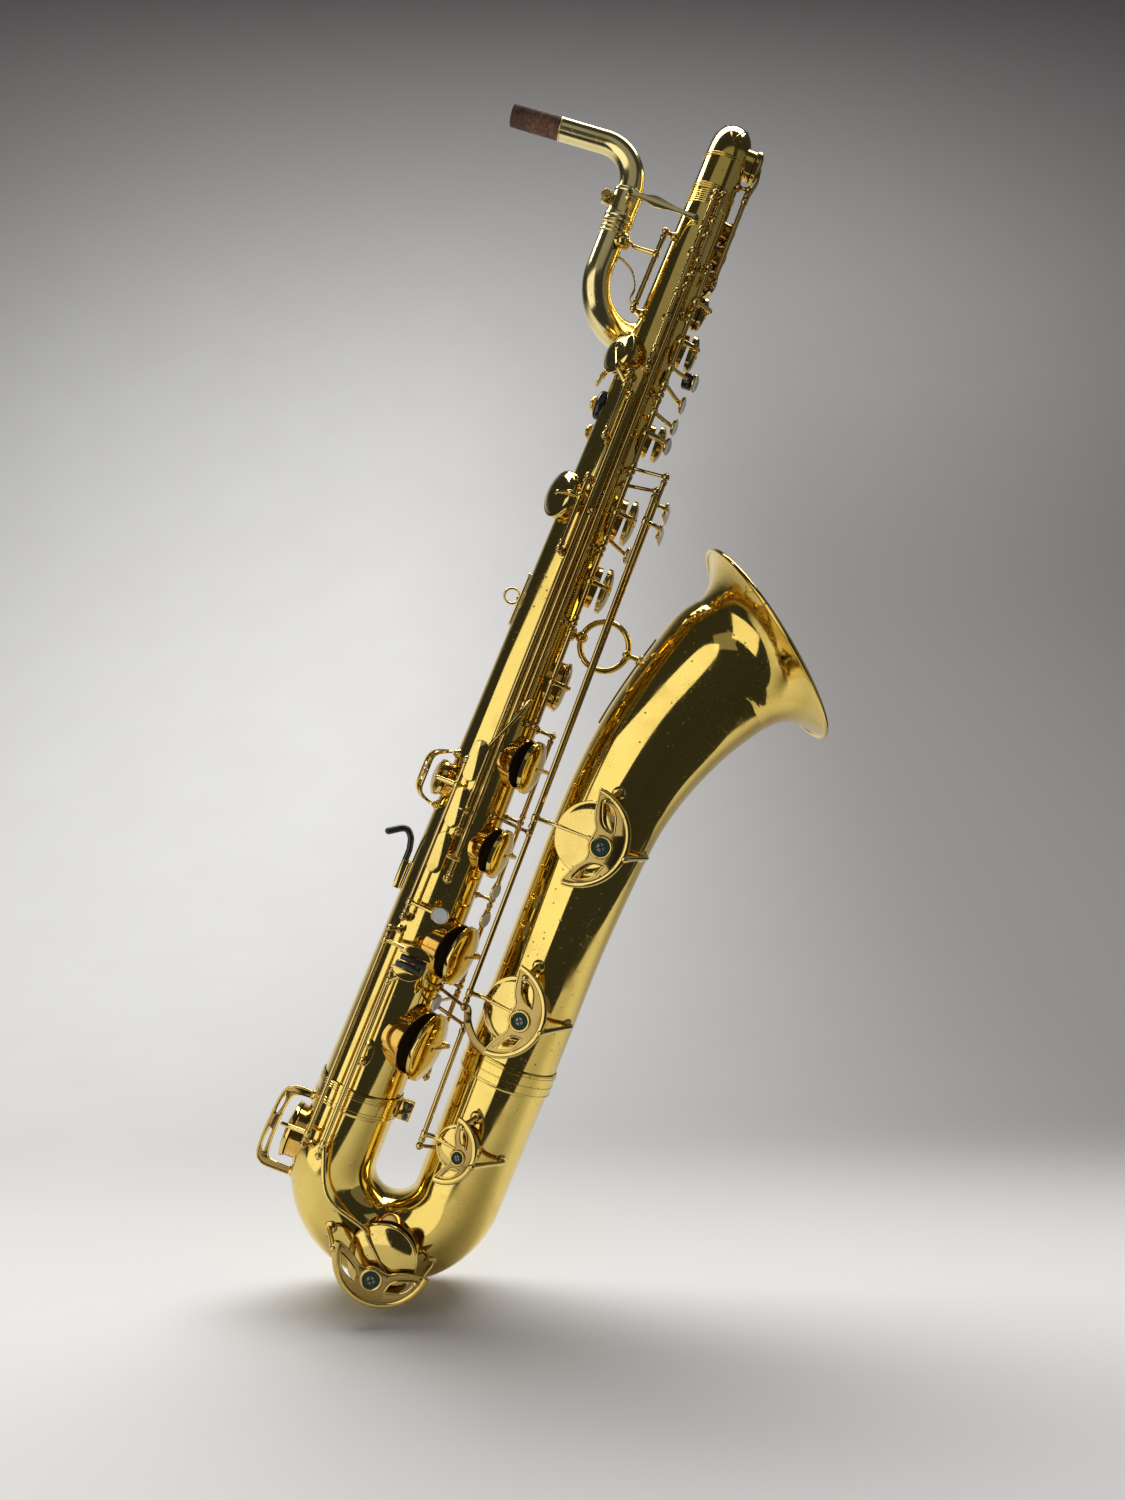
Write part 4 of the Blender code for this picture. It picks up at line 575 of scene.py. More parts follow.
class Piece:
    """One finished object. Shapes are added to it at the model's sizes, each in a material."""

    def __init__(self, name, body, *nodes, slot="brass"):
        self.name = name
        self.body = body
        self.nodes = nodes
        self.slot = slot
        self.shape = bmesh.new()
        self.materials = []

    def add(self, shape, material):
        if material not in self.materials:
            self.materials.append(material)
        index = self.materials.index(material)
        for face in shape.faces:
            face.material_index = index
            face.smooth = True
        mesh = bpy.data.meshes.new("shape")
        shape.to_mesh(mesh)
        shape.free()
        self.shape.from_mesh(mesh)
        bpy.data.meshes.remove(mesh)

    # Each of these makes a shape and adds it: a turned one, a rod or a plate
    def turn(self, material, *sizes, **settings):
        self.add(lathe(*sizes, **settings), material)

    def bend(self, material, *sizes, **settings):
        self.add(sweep(*sizes, **settings), material)

    def cut(self, material, *sizes, **settings):
        self.add(plate(*sizes, **settings), material)

    def done(self, swing=Matrix.Identity(4)):
        """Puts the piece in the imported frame, turned by swing first."""
        self.shape.transform(Matrix.Translation(-HANG_POINT) @ swing)
        mesh = bpy.data.meshes.new(self.name)
        self.shape.to_mesh(mesh)
        self.shape.free()
        mesh.set_sharp_from_angle(angle=SHARP_ANGLE)
        for material in self.materials:
            mesh.materials.append(material)
        item = bpy.data.objects.new(self.name, mesh)
        bpy.context.scene.collection.objects.link(item)
        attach(item, self.body)
        if self.nodes:
            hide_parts(*self.nodes)


def add_band(piece, centre, axis, radius, wire, finish, sides=10, steps=64):
    """A raised ring round a tube."""
    place = frame_on(centre, axis)
    points = arc(centre, place.col[0].xyz, place.col[1].xyz, radius, math.tau, steps)[:-1]
    piece.bend(finish, points, wire, sides, closed=True)


def add_split_lug(piece, centre, size, bevel, finish):
    """A clamp's lug, sawn in two across its width."""
    half = Vector((size.x, size.y * LUG_HALF, size.z))
    for side in (-1, 1):
        shift = Vector((0, side * size.y * LUG_SHIFT, 0))
        piece.add(block(half, Matrix.Translation(centre + shift), bevel), finish)


class Wire:
    """A socket in a finish. Arithmetic on it adds the nodes that work it out."""

    def __init__(self, finish, socket):
        self.finish = finish
        self.socket = socket

    def maths(self, operation, first, second):
        return self.finish.node("ShaderNodeMath", {"operation": operation}, {0: first, 1: second})

    def __add__(self, other):
        return self.maths("ADD", self, other)

    __radd__ = __add__

    def __sub__(self, other):
        return self.maths("SUBTRACT", self, other)

    def __rsub__(self, other):
        return self.maths("SUBTRACT", other, self)

    def __mul__(self, other):
        return self.maths("MULTIPLY", self, other)

    __rmul__ = __mul__

    def __pow__(self, other):
        return self.maths("POWER", self, other)


class Finish:
    """A material, made up of nodes on its Principled shader."""

    def __init__(self, name):
        self.material = bpy.data.materials.new(name)
        self.material.use_nodes = True
        self.tree = self.material.node_tree
        self.shader = self.tree.nodes["Principled BSDF"]
        self.place = self.node("ShaderNodeTexCoord", out="Object")

    def feed(self, socket, value):
        if isinstance(value, Wire):
            self.tree.links.new(value.socket, socket)
        else:
            socket.default_value = value

    def node(self, kind, settings=None, inputs=None, out=0):
        made = self.tree.nodes.new(kind)
        for key, value in (settings or {}).items():
            setattr(made, key, value)
        for key, value in (inputs or {}).items():
            self.feed(made.inputs[key], value)
        return Wire(self, made.outputs[out])

    def noise(self, scale, detail=3.0, stretch=(1, 1, 1), roughness=0.5):
        where = self.place
        if stretch != (1, 1, 1):
            where = self.node("ShaderNodeMapping", inputs={"Vector": where, "Scale": stretch})
        values = {"Vector": where, "Scale": scale, "Detail": detail, "Roughness": roughness}
        return self.node("ShaderNodeTexNoise", inputs=values)

    def cells(self, scale, feature="F1", out="Distance"):
        values = {"Vector": self.place, "Scale": scale}
        return self.node("ShaderNodeTexVoronoi", {"feature": feature}, values, out)

    def along(self, way):
        """The distance along a direction."""
        inputs = {0: self.place, 1: way}
        return self.node("ShaderNodeVectorMath", {"operation": "DOT_PRODUCT"}, inputs, "Value")

    def between(self, value, low, high):
        """0 below low, 1 above high and smooth between; the other way round where low is higher."""
        values = {"Value": value, "From Min": low, "From Max": high}
        return self.node("ShaderNodeMapRange", {"interpolation_type": "SMOOTHSTEP"}, values)

    def mix(self, share, first, second):
        values = {0: share, 6: first, 7: second}
        return self.node("ShaderNodeMix", {"data_type": "RGBA"}, values, 2)

    def done(self, height=None, strength=0.2, distance=0.0002, **sockets):
        for name, value in sockets.items():
            self.feed(self.shader.inputs[name.replace("_", " ")], value)
        if height is not None:
            values = {"Height": height, "Strength": strength, "Distance": distance}
            self.feed(self.shader.inputs["Normal"], self.node("ShaderNodeBump", inputs=values))
        return self.material


def brass(name, bright, deep, shine=0.05, spots=0.5, haze=0.5):
    """Polished brass under lacquer: cloudy tarnish, dark pits and fine handling scratches."""
    finish = Finish(name)
    clouds = finish.between(finish.noise(14, 5.0, (1, 1, 0.45), 0.6), 0.36, 0.68)
    patches = finish.between(finish.noise(46, 4.0), 0.54, 0.7)
    pitted = finish.between(finish.noise(24, 2.0), 0.44, 0.66)
    small = finish.between(finish.cells(430), 0.2, 0.07) * pitted
    large = finish.between(finish.cells(130), 0.15, 0.06) * finish.between(finish.noise(9, 1.0), 0.43, 0.58)
    pits = finish.node("ShaderNodeMath", {"operation": "MAXIMUM"}, {0: small, 1: large}) * spots
    scratches = finish.noise(260, 2.0, (1, 1, 0.06))
    colour = finish.mix(clouds * haze, (*bright, 1), (*deep, 1))
    colour = finish.mix(patches * (0.35 * haze), colour, (deep[0] * 0.72, deep[1] * 0.62, deep[2] * 0.5, 1))
    colour = finish.mix(pits, colour, (0.05, 0.03, 0.01, 1))
    rough = shine + clouds * 0.04 + scratches * 0.03 + patches * 0.04 + pits * 0.4
    return finish.done(
        height=scratches * 0.3 + finish.noise(30, 2.0) * 0.9 - pits * 1.4,
        strength=0.08,
        distance=0.0004,
        Base_Color=colour,
        Metallic=1.0 - pits * 0.55,
        Roughness=rough,
        Coat_Weight=0.12 - pits * 0.1,
        Coat_Roughness=0.03,
    )


def cork_finish():
    finish = Finish("cork")
    grain = finish.noise(420, 4.0)
    lumps = finish.cells(260, "F1", "Color")
    tone = finish.node("ShaderNodeRGBToBW", inputs={"Color": lumps})
    seams = finish.between(finish.cells(260, "DISTANCE_TO_EDGE"), 0.1, 0.0)
    along = finish.node("ShaderNodeSeparateXYZ", inputs={"Vector": finish.place}, out="X")
    worn = finish.between(along, -0.118, -0.139)
    colour = finish.mix(tone * 0.9, (0.105, 0.04, 0.022, 1), (0.235, 0.105, 0.058, 1))
    colour = finish.mix(worn * 0.75, colour, (0.06, 0.03, 0.02, 1))
    colour = finish.mix(seams * 0.7, colour, (0.03, 0.014, 0.009, 1))
    colour = finish.mix(finish.between(grain, 0.55, 0.75) * 0.4, colour, (0.3, 0.16, 0.1, 1))
    return finish.done(
        height=grain - seams * 0.8,
        strength=0.6,
        distance=0.0006,
        Base_Color=colour,
        Roughness=0.62 + grain * 0.3,
    )


def resin_finish():
    finish = Finish("black_resin")
    dust = finish.between(finish.noise(900, 3.0), 0.62, 0.74)
    rubbed = finish.between(finish.noise(60, 3.0), 0.45, 0.7)
    colour = finish.mix(rubbed * 0.6, (0.01, 0.01, 0.011, 1), (0.026, 0.025, 0.024, 1))
    colour = finish.mix(dust * 0.25, colour, (0.1, 0.095, 0.09, 1))
    return finish.done(
        height=finish.noise(700, 2.0),
        strength=0.05,
        Base_Color=colour,
        Roughness=0.2 + rubbed * 0.18 + dust * 0.2,
        Coat_Weight=0.25 - dust * 0.2,
    )


def pearl_finish():
    finish = Finish("shell_pearl")
    swirl = finish.noise(210, 5.0, (1, 1, 1), 0.65)
    sheen = finish.between(finish.noise(120, 2.0), 0.35, 0.65)
    colour = finish.mix(swirl, (0.46, 0.45, 0.45, 1), (0.8, 0.79, 0.76, 1))
    colour = finish.mix(sheen * 0.28, colour, (0.5, 0.62, 0.6, 1))
    return finish.done(
        Base_Color=colour,
        Roughness=0.16 + swirl * 0.12,
        Coat_Weight=0.4 + sheen * 0.3,
    )


def felt_finish():
    finish = Finish("bumper_felt")
    fibres = finish.noise(1500, 4.0)
    colour = finish.mix(fibres, (0.008, 0.03, 0.021, 1), (0.04, 0.095, 0.07, 1))
    rough = 0.9 + fibres * 0.1
    return finish.done(height=fibres, strength=0.8, distance=0.0005, Base_Color=colour, Roughness=rough)


def leather_finish():
    finish = Finish("pad_leather")
    creases = finish.between(finish.cells(900, "DISTANCE_TO_EDGE"), 0.06, 0.0)
    tone = finish.noise(160, 3.0)
    colour = finish.mix(tone, (0.055, 0.024, 0.01, 1), (0.17, 0.085, 0.036, 1))
    return finish.done(
        height=tone - creases,
        strength=0.4,
        distance=0.0003,
        Base_Color=finish.mix(creases * 0.6, colour, (0.02, 0.01, 0.005, 1)),
        Roughness=0.55 + tone * 0.2,
    )


# Painted shade: a near-black tarnished-brass colour for the discs and walls that stand in for the shaded
# insides of tone holes, screw slots and the neck's tip; stain mottles it at random.
def bore_shade_finish():
    finish = Finish("tube_bore_shade")
    stain = finish.noise(60, 4.0)
    colour = finish.mix(stain, (0.03, 0.017, 0.006, 1), (0.095, 0.055, 0.018, 1))
    return finish.done(Base_Color=colour, Metallic=0.4 + stain * 0.3, Roughness=0.55 + stain * 0.25)


def steel_finish():
    finish = Finish("blued_screw")
    wear = finish.noise(800, 3.0)
    colour = finish.mix(wear, (0.1, 0.095, 0.085, 1), (0.34, 0.32, 0.28, 1))
    rough = 0.25 + wear * 0.2
    return finish.done(height=wear, strength=0.1, Base_Color=colour, Metallic=1.0, Roughness=rough)


BRASS_BODY = brass("body_brass", (0.86, 0.655, 0.175), (0.66, 0.445, 0.095), 0.045, 0.75, 0.5)
BRASS_BELL = brass("bell_brass", (0.87, 0.655, 0.165), (0.66, 0.44, 0.09), 0.04, 0.85, 0.5)
BRASS_NECK = brass("neck_brass", (0.9, 0.765, 0.365), (0.79, 0.62, 0.24), 0.14, 0.25, 0.5)
BRASS_KEY = brass("key_brass", (0.83, 0.63, 0.185), (0.6, 0.4, 0.095), 0.05, 0.55, 0.6)
BRASS_ROD = brass("rod_brass", (0.7, 0.515, 0.165), (0.42, 0.265, 0.07), 0.09, 0.6, 0.8)
BRASS_DARK = brass("guard_brass", (0.48, 0.335, 0.105), (0.25, 0.16, 0.045), 0.12, 0.6, 0.8)
BRASS_WARM = brass("chimney_brass", (0.84, 0.54, 0.115), (0.58, 0.28, 0.045), 0.07, 0.4, 0.7)
CORK = cork_finish()
RESIN = resin_finish()
PEARL = pearl_finish()
FELT = felt_finish()
LEATHER = leather_finish()
BORE_SHADE = bore_shade_finish()
STEEL = steel_finish()


# Fine lines on the ferrules, as shares of their length, and the strips under the posts
BODY_FERRULE_LINES = (0.9, 0.8, 0.7, 0.24, 0.12)
BELL_FERRULE_LINES = (0.92, 0.82, 0.45, 0.12)
# How far a tone hole's lip stands below its pad's seat, so that a pad can tip over it
PAD_ROOM = 0.0003
RIB_END = 0.006
RIB_HALF_WIDTH = 0.0042
RIB_HALF_WAIST = 0.0024
# A tone hole's rolled lip, as a share of its wall, and its section in shares of the lip
CHIMNEY_LIP = CHIMNEY_WALL * 0.4
LIP_SECTION = ((0, -4), (1, -3), (1, -1.6), (0, -0.5), (-0.5, 0))
# A post's foot and stem, as shares of its radius, and the foot's section: shares and heights
POST_FOOT = 2.2
POST_COLLAR = 1.25
POST_STEM = 0.86
POST_FOOT_SECTION = ((0, -0.0006), (1, -0.0006), (1, 0.0009), (0.8, 0.0014))
POST_COLLAR_HEIGHT = 0.0022
POST_STEM_HEIGHT = 0.0042
# Heights below a post's ball, as shares of its radius, where the stem ends and the ball starts
POST_NECK = 1.6
POST_THROAT = 1.05
POST_BALL_FROM = -50
PIVOT_HEAD = ((0, 0.0007), (0.0011, 0.0007), (0.0013, 0.0004), (0.0013, 0))
PIVOT_DEPTH = 0.86
# Fine rings at the top of the body: how many, the first one's drop, their pitch and wire
BODY_RINGS = 7
BODY_RING_DROP = 0.0012
BODY_RING_PITCH = 0.0017
BODY_RING_WIRE = 0.0005
# Shares of the bell's flare at which its radius is worked out
FLARE_SHARES = (0.0, 0.2, 0.4, 0.55, 0.68, 0.78, 0.87, 0.94, 1.0)
# A screw's slot, edge, and the depth and width of the bottom of its slot, painted dark as shade, as shares
SCREW_SLOT = 0.16
SCREW_EDGE = 0.2
SCREW_BOTTOM = ((0, 0.4), (0.9, 0.4), (0.9, 0))
# The body clamp's lug and its two screws, as shares of the lug's size
LUG_BEVEL = 0.0009
LUG_SCREW_SPOTS = ((0.12, -0.49, -0.27), (0.12, -0.49, 0.27))
LUG_SCREW_RADIUS = 0.0027
LUG_SCREW_HEIGHT = 0.0018


def bow_path(steps):
    """Axis points of the bow and the tube radius at each."""
    bend = Vector((BOW_BEND_RADIUS, 0, BOW_BEND_Z))
    turn = arc(bend, LEFT, -UP, BOW_BEND_RADIUS, math.pi, steps)
    points = [UP * BODY_BOTTOM_Z, *turn, Vector((BELL_LEG_X, 0, BOW_END_Z))]
    travelled = [0.0]
    for before, after in zip(points, points[1:]):
        travelled.append(travelled[-1] + (after - before).length)
    growth = (BOW_END_RADIUS - BODY_BOTTOM_RADIUS) / travelled[-1]
    return points, [BODY_BOTTOM_RADIUS + growth * length for length in travelled]


def bow_radius_at(point):
    points, radii = bow_path(BOW_STEPS)
    nearest = min(range(len(points)), key=lambda index: (points[index] - point).length)
    return radii[nearest]


def bell_line(steps=8):
    """Axis points of the bell, the outer radius at each, and the way its mouth faces."""
    lean = Vector((math.sin(BELL_LEAN), 0, math.cos(BELL_LEAN)))
    marks = [Vector((BELL_LEG_X + x, z, radius)) for x, z, radius in BELL_STATIONS]
    for share in FLARE_SHARES:
        spot = BELL_THROAT + lean * (BELL_FLARE_LENGTH * share)
        growth = (BELL_RIM_RADIUS - BELL_THROAT_RADIUS) * share**FLARE_POWER
        marks.append(Vector((spot.x, spot.z, BELL_THROAT_RADIUS + growth)))
    fine = smooth_path(marks, steps)
    return [Vector((x, 0, z)) for x, z, _ in fine], [radius for _, _, radius in fine], lean


# Rim, outward direction, hole radius and tube radius at each tone hole
seats = {}


def seat(name, axis_point, angle, tube_radius, hole_radius):
    normal = around(angle)
    rim = axis_point + normal * (tube_radius + CHIMNEY_HEIGHT)
    seats[name] = (rim, normal, hole_radius, tube_radius)


for name, (z, angle, radius) in BODY_HOLES.items():
    seat(name, UP * z, angle, body_radius(z), radius)
for name, (axis_point, angle, radius) in BOW_HOLES.items():
    seat(name, axis_point, angle, bow_radius_at(axis_point), radius)
for name, (z, angle, radius) in BELL_HOLES.items():
    station = next(item for item in BELL_STATIONS if item[1] == z)
    seat(name, Vector((BELL_LEG_X + station[0], 0, z)), angle, station[2], radius)
axis_point, angle, radius = HIGH_E_HOLE
seat("high_e", axis_point, angle, BODY_TOP_RADIUS, radius)
near_leg = Vector((NECK_X, 0, OCTAVE_PIP_Z))
pip_way = around(OCTAVE_PIP_ANGLE)
pip_rim = near_leg + pip_way * (PIGTAIL_END_RADIUS + OCTAVE_PIP_HEIGHT)
seats["octave_pip"] = (pip_rim, pip_way, OCTAVE_PIP_RADIUS, PIGTAIL_END_RADIUS)


def add_chimney(piece, name, finish):
    """A drawn tone-hole wall with its rolled lip, and a dark disc inside it that closes the hole: painted
    shade in place of the open bore.
    """
    rim, normal, hole_radius, tube_radius = seats[name]
    outer = hole_radius + CHIMNEY_WALL
    sag = tube_radius - math.sqrt(max(tube_radius**2 - outer**2, 0))
    depth = CHIMNEY_HEIGHT + sag + WALL
    place = frame_on(rim - normal * PAD_ROOM, normal, UP)
    lip = [(outer + across, up) for across, up in section(LIP_SECTION, CHIMNEY_LIP, CHIMNEY_LIP)]
    bottom = WALL - CHIMNEY_HEIGHT
    wall = [(outer, -depth), *lip, (hole_radius, 0), (hole_radius, bottom)]
    piece.turn(finish, wall, place, 56)
    # The dark disc at the hole's bottom is painted shade in place of the open bore.
    piece.turn(BORE_SHADE, [(hole_radius, bottom), (0, bottom)], place, 40)


def add_post(piece, base, top, along, finish):
    """A turned key post: a foot, a waisted stem and a ball head with its pivot screw."""
    length = (top - base).length
    stem = POST_STEM * POST_RADIUS
    profile = section(POST_FOOT_SECTION, POST_FOOT * POST_RADIUS, 1)
    if length > 3 * POST_BALL:
        profile += [(POST_RADIUS * POST_COLLAR, POST_COLLAR_HEIGHT), (stem, POST_STEM_HEIGHT)]
        profile.append((stem, length - POST_BALL * POST_NECK))
    profile.append((POST_RADIUS, length - POST_BALL * POST_THROAT))
    for step in range(9):
        turn = math.radians(POST_BALL_FROM + (90 - POST_BALL_FROM) * step / 8)
        profile.append((POST_BALL * math.cos(turn), length + POST_BALL * math.sin(turn)))
    profile[-1] = (0, length + POST_BALL)
    piece.turn(finish, profile, frame_on(base, top - base), 20)
    for way in (-1, 1):
        head = frame_on(top + along * (way * POST_BALL * PIVOT_DEPTH), along * way)
        piece.turn(STEEL, PIVOT_HEAD, head, 14)


def hinge_on_body(angle, height, low, high):
    return on_body(low, angle, height), on_body(high, angle, height)


def octave_lever_hinge():
    return tuple(Vector((OCTAVE_LEVER_X, y, OCTAVE_LEVER_Z)) for y in OCTAVE_LEVER_ENDS_Y)


def add_body_posts(piece):
    straight = [(STACK_ANGLE, STACK_HEIGHT, z) for z in STACK_POSTS]
    straight += [(UPPER_ANGLE, UPPER_HEIGHT, z) for z in (G_SHARP_LOW_Z, *UPPER_POSTS)]
    for angle, low, high, _ in SIDE_LEVERS.values():
        straight += [(angle, SIDE_HEIGHT, low), (angle, SIDE_HEIGHT, high)]
    for angle, low, high, _ in PALM_KEYS.values():
        straight += [(angle, PALM_HEIGHT, low), (angle, PALM_HEIGHT, high)]
    straight += [(SIDE_CUP_ANGLE, SIDE_CUP_HEIGHT, z) for z in (*SIDE_B_FLAT_POSTS, *SIDE_C_POSTS)]
    for angle, height, *ends in (TRILL_HINGE, OCTAVE_HINGE):
        straight += [(angle, height, z) for z in ends]
    for angle, height, z in straight:
        add_post(piece, on_body(z, angle), on_body(z, angle, height), UP, BRASS_ROD)
    octave = octave_lever_hinge()
    across = (octave[1] - octave[0]).normalized()
    leaning = [
        (C_SHARP_HINGE[1], C_SHARP_TOP_POST_ANGLE, UP),
        *zip(LOW_B_HINGE, LOW_B_POST_ANGLES, (UP, UP)),
        *zip(LOW_B_FLAT_HINGE, LOW_B_FLAT_POST_ANGLES, (UP, UP)),
        (LOW_C_HINGE[1], LOW_C_POST_ANGLE, UP),
        (E_FLAT_HINGE[1], E_FLAT_POST_ANGLE, UP),
        (HIGH_E_HINGE[0], HIGH_E_POST_ANGLES[0], UP),
        *zip(octave, OCTAVE_LEVER_POST_ANGLES, (across, across)),
    ]
    for top, angle, along in leaning:
        add_post(piece, on_body(top.z, angle), top, along, BRASS_ROD)


def add_rib(piece, angle, heights):
    """A thin scalloped strip on the body under a row of posts."""
    low, high = on_body(heights[0], angle), on_body(heights[-1], angle)
    along = (high - low).normalized()
    out = around(angle)
    place = frame_on((low + high) / 2, out - along * out.dot(along), along)
    half = (high - low).length / 2
    stops = [2 * half * (z - heights[0]) / (heights[-1] - heights[0]) - half for z in heights]
    marks = [Vector((-half - RIB_END, 0)), Vector((stops[0], RIB_HALF_WIDTH))]
    for before, after in zip(stops, stops[1:]):
        marks += [Vector(((before + after) / 2, RIB_HALF_WAIST)), Vector((after, RIB_HALF_WIDTH))]
    edge = smooth_path([*marks, Vector((half + RIB_END, 0))], 6)
    outline = [tuple(spot) for spot in edge] + [(spot.x, -spot.y) for spot in reversed(edge[1:-1])]
    piece.cut(BRASS_BODY, [outline], WALL, place, WALL / 4)


def make_body():
    piece = Piece("body_tube_shell", "body", "body_tube")
    heights = [BODY_BOTTOM_Z + (BODY_TOP_Z - BODY_BOTTOM_Z) * step / 40 for step in range(41)]
    piece.turn(BRASS_BODY, [(body_radius(z), z) for z in heights], steps=96)
    for name in BODY_HOLES:
        add_chimney(piece, name, BRASS_WARM)
    add_body_posts(piece)
    add_rib(piece, UPPER_ANGLE, UPPER_POSTS)
    add_rib(piece, SIDE_CUP_ANGLE, (*SIDE_B_FLAT_POSTS, *SIDE_C_POSTS))
    for step in range(BODY_RINGS):
        z = BODY_TOP_Z - BODY_RING_DROP - BODY_RING_PITCH * step
        add_band(piece, UP * z, UP, body_radius(z), BODY_RING_WIRE, BRASS_BODY, 8)
    piece.done()


def make_bow():
    piece = Piece("bow_shell", "body", "bow")
    points, radii = bow_path(48)
    piece.bend(BRASS_BODY, points, radii, 80, caps=False)
    for name in BOW_HOLES:
        add_chimney(piece, name, BRASS_WARM)
    for top, leg_x, angle in (
        (C_SHARP_HINGE[0], BELL_LEG_X, C_SHARP_POST_ANGLE),
        (LOW_C_HINGE[0], 0, LOW_C_POST_ANGLE),
        (E_FLAT_HINGE[0], 0, E_FLAT_POST_ANGLE),
    ):
        axis = Vector((leg_x, 0, top.z))
        add_post(piece, axis + around(angle) * bow_radius_at(axis), top, UP, BRASS_ROD)
    piece.done()


def make_bell():
    piece = Piece("bell_shell", "body", "bell")
    points, radii, lean = bell_line()
    piece.bend(BRASS_BELL, points, radii, 112, caps=False)
    inside = sweep(points, [radius - WALL for radius in radii], 112, caps=False)
    bmesh.ops.reverse_faces(inside, faces=inside.faces)
    piece.add(inside, BRASS_BELL)
    add_band(piece, points[-1], lean, BELL_RIM_RADIUS, BELL_BEAD_RADIUS, BRASS_BELL, 14, 112)
    for name in BELL_HOLES:
        add_chimney(piece, name, BRASS_WARM)
    piece.done()


def ferrule_profile(inner, low, lines):
    """Half section of a thin sleeve with fine raised lines at shares of its length."""
    outer = inner + FERRULE_WALL / 2
    high = low + FERRULE_LENGTH
    line = FERRULE_BEAD / 2
    profile = [(inner, high), (outer - line, high), (outer, high - 2 * line)]
    for share in lines:
        z = low + FERRULE_LENGTH * share
        profile += [(outer, z + 2 * line), (outer + line, z + line)]
        profile += [(outer + line, z - line), (outer, z - 2 * line)]
    return [*profile, (outer, low + 2 * line), (outer - line, low), (inner, low)]


def add_screw(piece, place, radius, height, cross=False):
    """A cheese-head screw with one slot or a cross, its head along the place's Z."""
    slot = radius * SCREW_SLOT
    head = rounded([(0, 0), (radius, 0), (radius, height), (0, height)], radius * SCREW_EDGE)
    for side in (-1, 1):
        for flank in (-1, 1) if cross else (0,):
            shape = lathe(head, steps=28)
            for way in (RIGHT * side, BACK * flank) if cross else (RIGHT * side,):
                geom = shape.verts[:] + shape.edges[:] + shape.faces[:]
                cut = bmesh.ops.bisect_plane(
                    shape, geom=geom, plane_co=way * slot, plane_no=way, clear_inner=True
                )
                edges = [item for item in cut["geom_cut"] if isinstance(item, bmesh.types.BMEdge)]
                bmesh.ops.holes_fill(shape, edges=edges)
            bmesh.ops.recalc_face_normals(shape, faces=shape.faces)
            shape.transform(place)
            piece.add(shape, STEEL)
    # The slot's bottom is a dark disc of painted shade.
    piece.turn(BORE_SHADE, section(SCREW_BOTTOM, radius, height), place, 20)


def make_ferrules():
    inner = BODY_BOTTOM_RADIUS + 2 * GAP
    piece = Piece("body_ferrule", "body", "body_bow_ferrule")
    profile = ferrule_profile(inner, BODY_BOTTOM_Z - FERRULE_LENGTH / 2, BODY_FERRULE_LINES)
    piece.turn(BRASS_BODY, profile, steps=88)
    lug = Vector((inner + FERRULE_WALL / 2 + CLAMP_LUG.x / 2, 0, BODY_BOTTOM_Z))
    add_split_lug(piece, lug, CLAMP_LUG, LUG_BEVEL, BRASS_KEY)
    for shares in LUG_SCREW_SPOTS:
        spot = lug + Vector(shares) * CLAMP_LUG
        add_screw(piece, frame_on(spot, FRONT), LUG_SCREW_RADIUS, LUG_SCREW_HEIGHT)
    piece.done()
    piece = Piece("bell_ferrule", "body", "bell_bow_ferrule")
    profile = ferrule_profile(BOW_END_RADIUS + 2 * GAP, BOW_END_Z - FERRULE_LENGTH / 2, BELL_FERRULE_LINES)
    piece.turn(BRASS_BELL, profile, Matrix.Translation((BELL_LEG_X, 0, 0)), 88)
    piece.done()


make_body()
make_bow()
make_bell()
make_ferrules()


# A flat strap that arches from the pigtail to the body, and half its width
PIGTAIL_STRAP = [
    Vector((-0.053, 0, 0.8508)), Vector((-0.049, 0, 0.85)), Vector((-0.0385, 0, 0.844)),
    Vector((-0.0318, 0, 0.8335)), Vector((-0.0315, 0, 0.8225)), Vector((-0.025, 0, 0.815)),
    Vector((-0.0195, 0, 0.813)),
]
PIGTAIL_STRAP_HALF = 0.0036
# Steps along the top bend, and the pointed cap plate over it: the steps it covers, how far its edges
# spread round the tube, and their height
UPPER_STEPS = 40
CAP_FIRST = 5
CAP_LAST = 35
CAP_SPREAD = 42
CAP_EDGE = 0.0006
# Raised rings on the upper bow's foot: distance from its end, and how far proud of the tube
UPPER_RINGS = ((0.001, 0.00025), (0.0027, 0.0002), (0.0044, 0.0002), (0.029, 0.00015), (0.0308, 0.00015))
UPPER_RING_WIRE = 0.0005
# Rings either side of the joint with the pigtail, and rings under the neck's socket
JOINT_RINGS = (0.001, 0.0042)
PIGTAIL_RINGS = (-0.0014, -0.0048)
JOINT_RING_PROUD = 0.0002
JOINT_RING_WIRE = 0.0006
SOCKET_RINGS = (-0.0016, -0.005, -0.0084)
SOCKET_RING_PROUD = 0.0003
SOCKET_RING_WIRE = 0.0008
# The octave pip's section: shares of its radius, and heights
OCTAVE_PIP_SECTION = (
    (1.25, -OCTAVE_PIP_HEIGHT - 0.001),
    (1, -OCTAVE_PIP_HEIGHT * 0.5),
    (1, -0.0003), (0.9, 0), (0.5, 0), (0.5, -0.001), (0, -0.001),
)
# The socket's section: how many grooves deep, and the height from its top and from its bottom
RECEIVER_GROOVE = 0.0004
RECEIVER_UPPER = ((0, 0), (0, -0.0015), (1, -0.0022))
RECEIVER_LOWER = ((1, 0.0075), (0, 0.007), (0, 0.0042), (1, 0.0037), (1, 0.002), (0, 0.0015), (0, 0))
RECEIVER_LUG_BEVEL = 0.0008
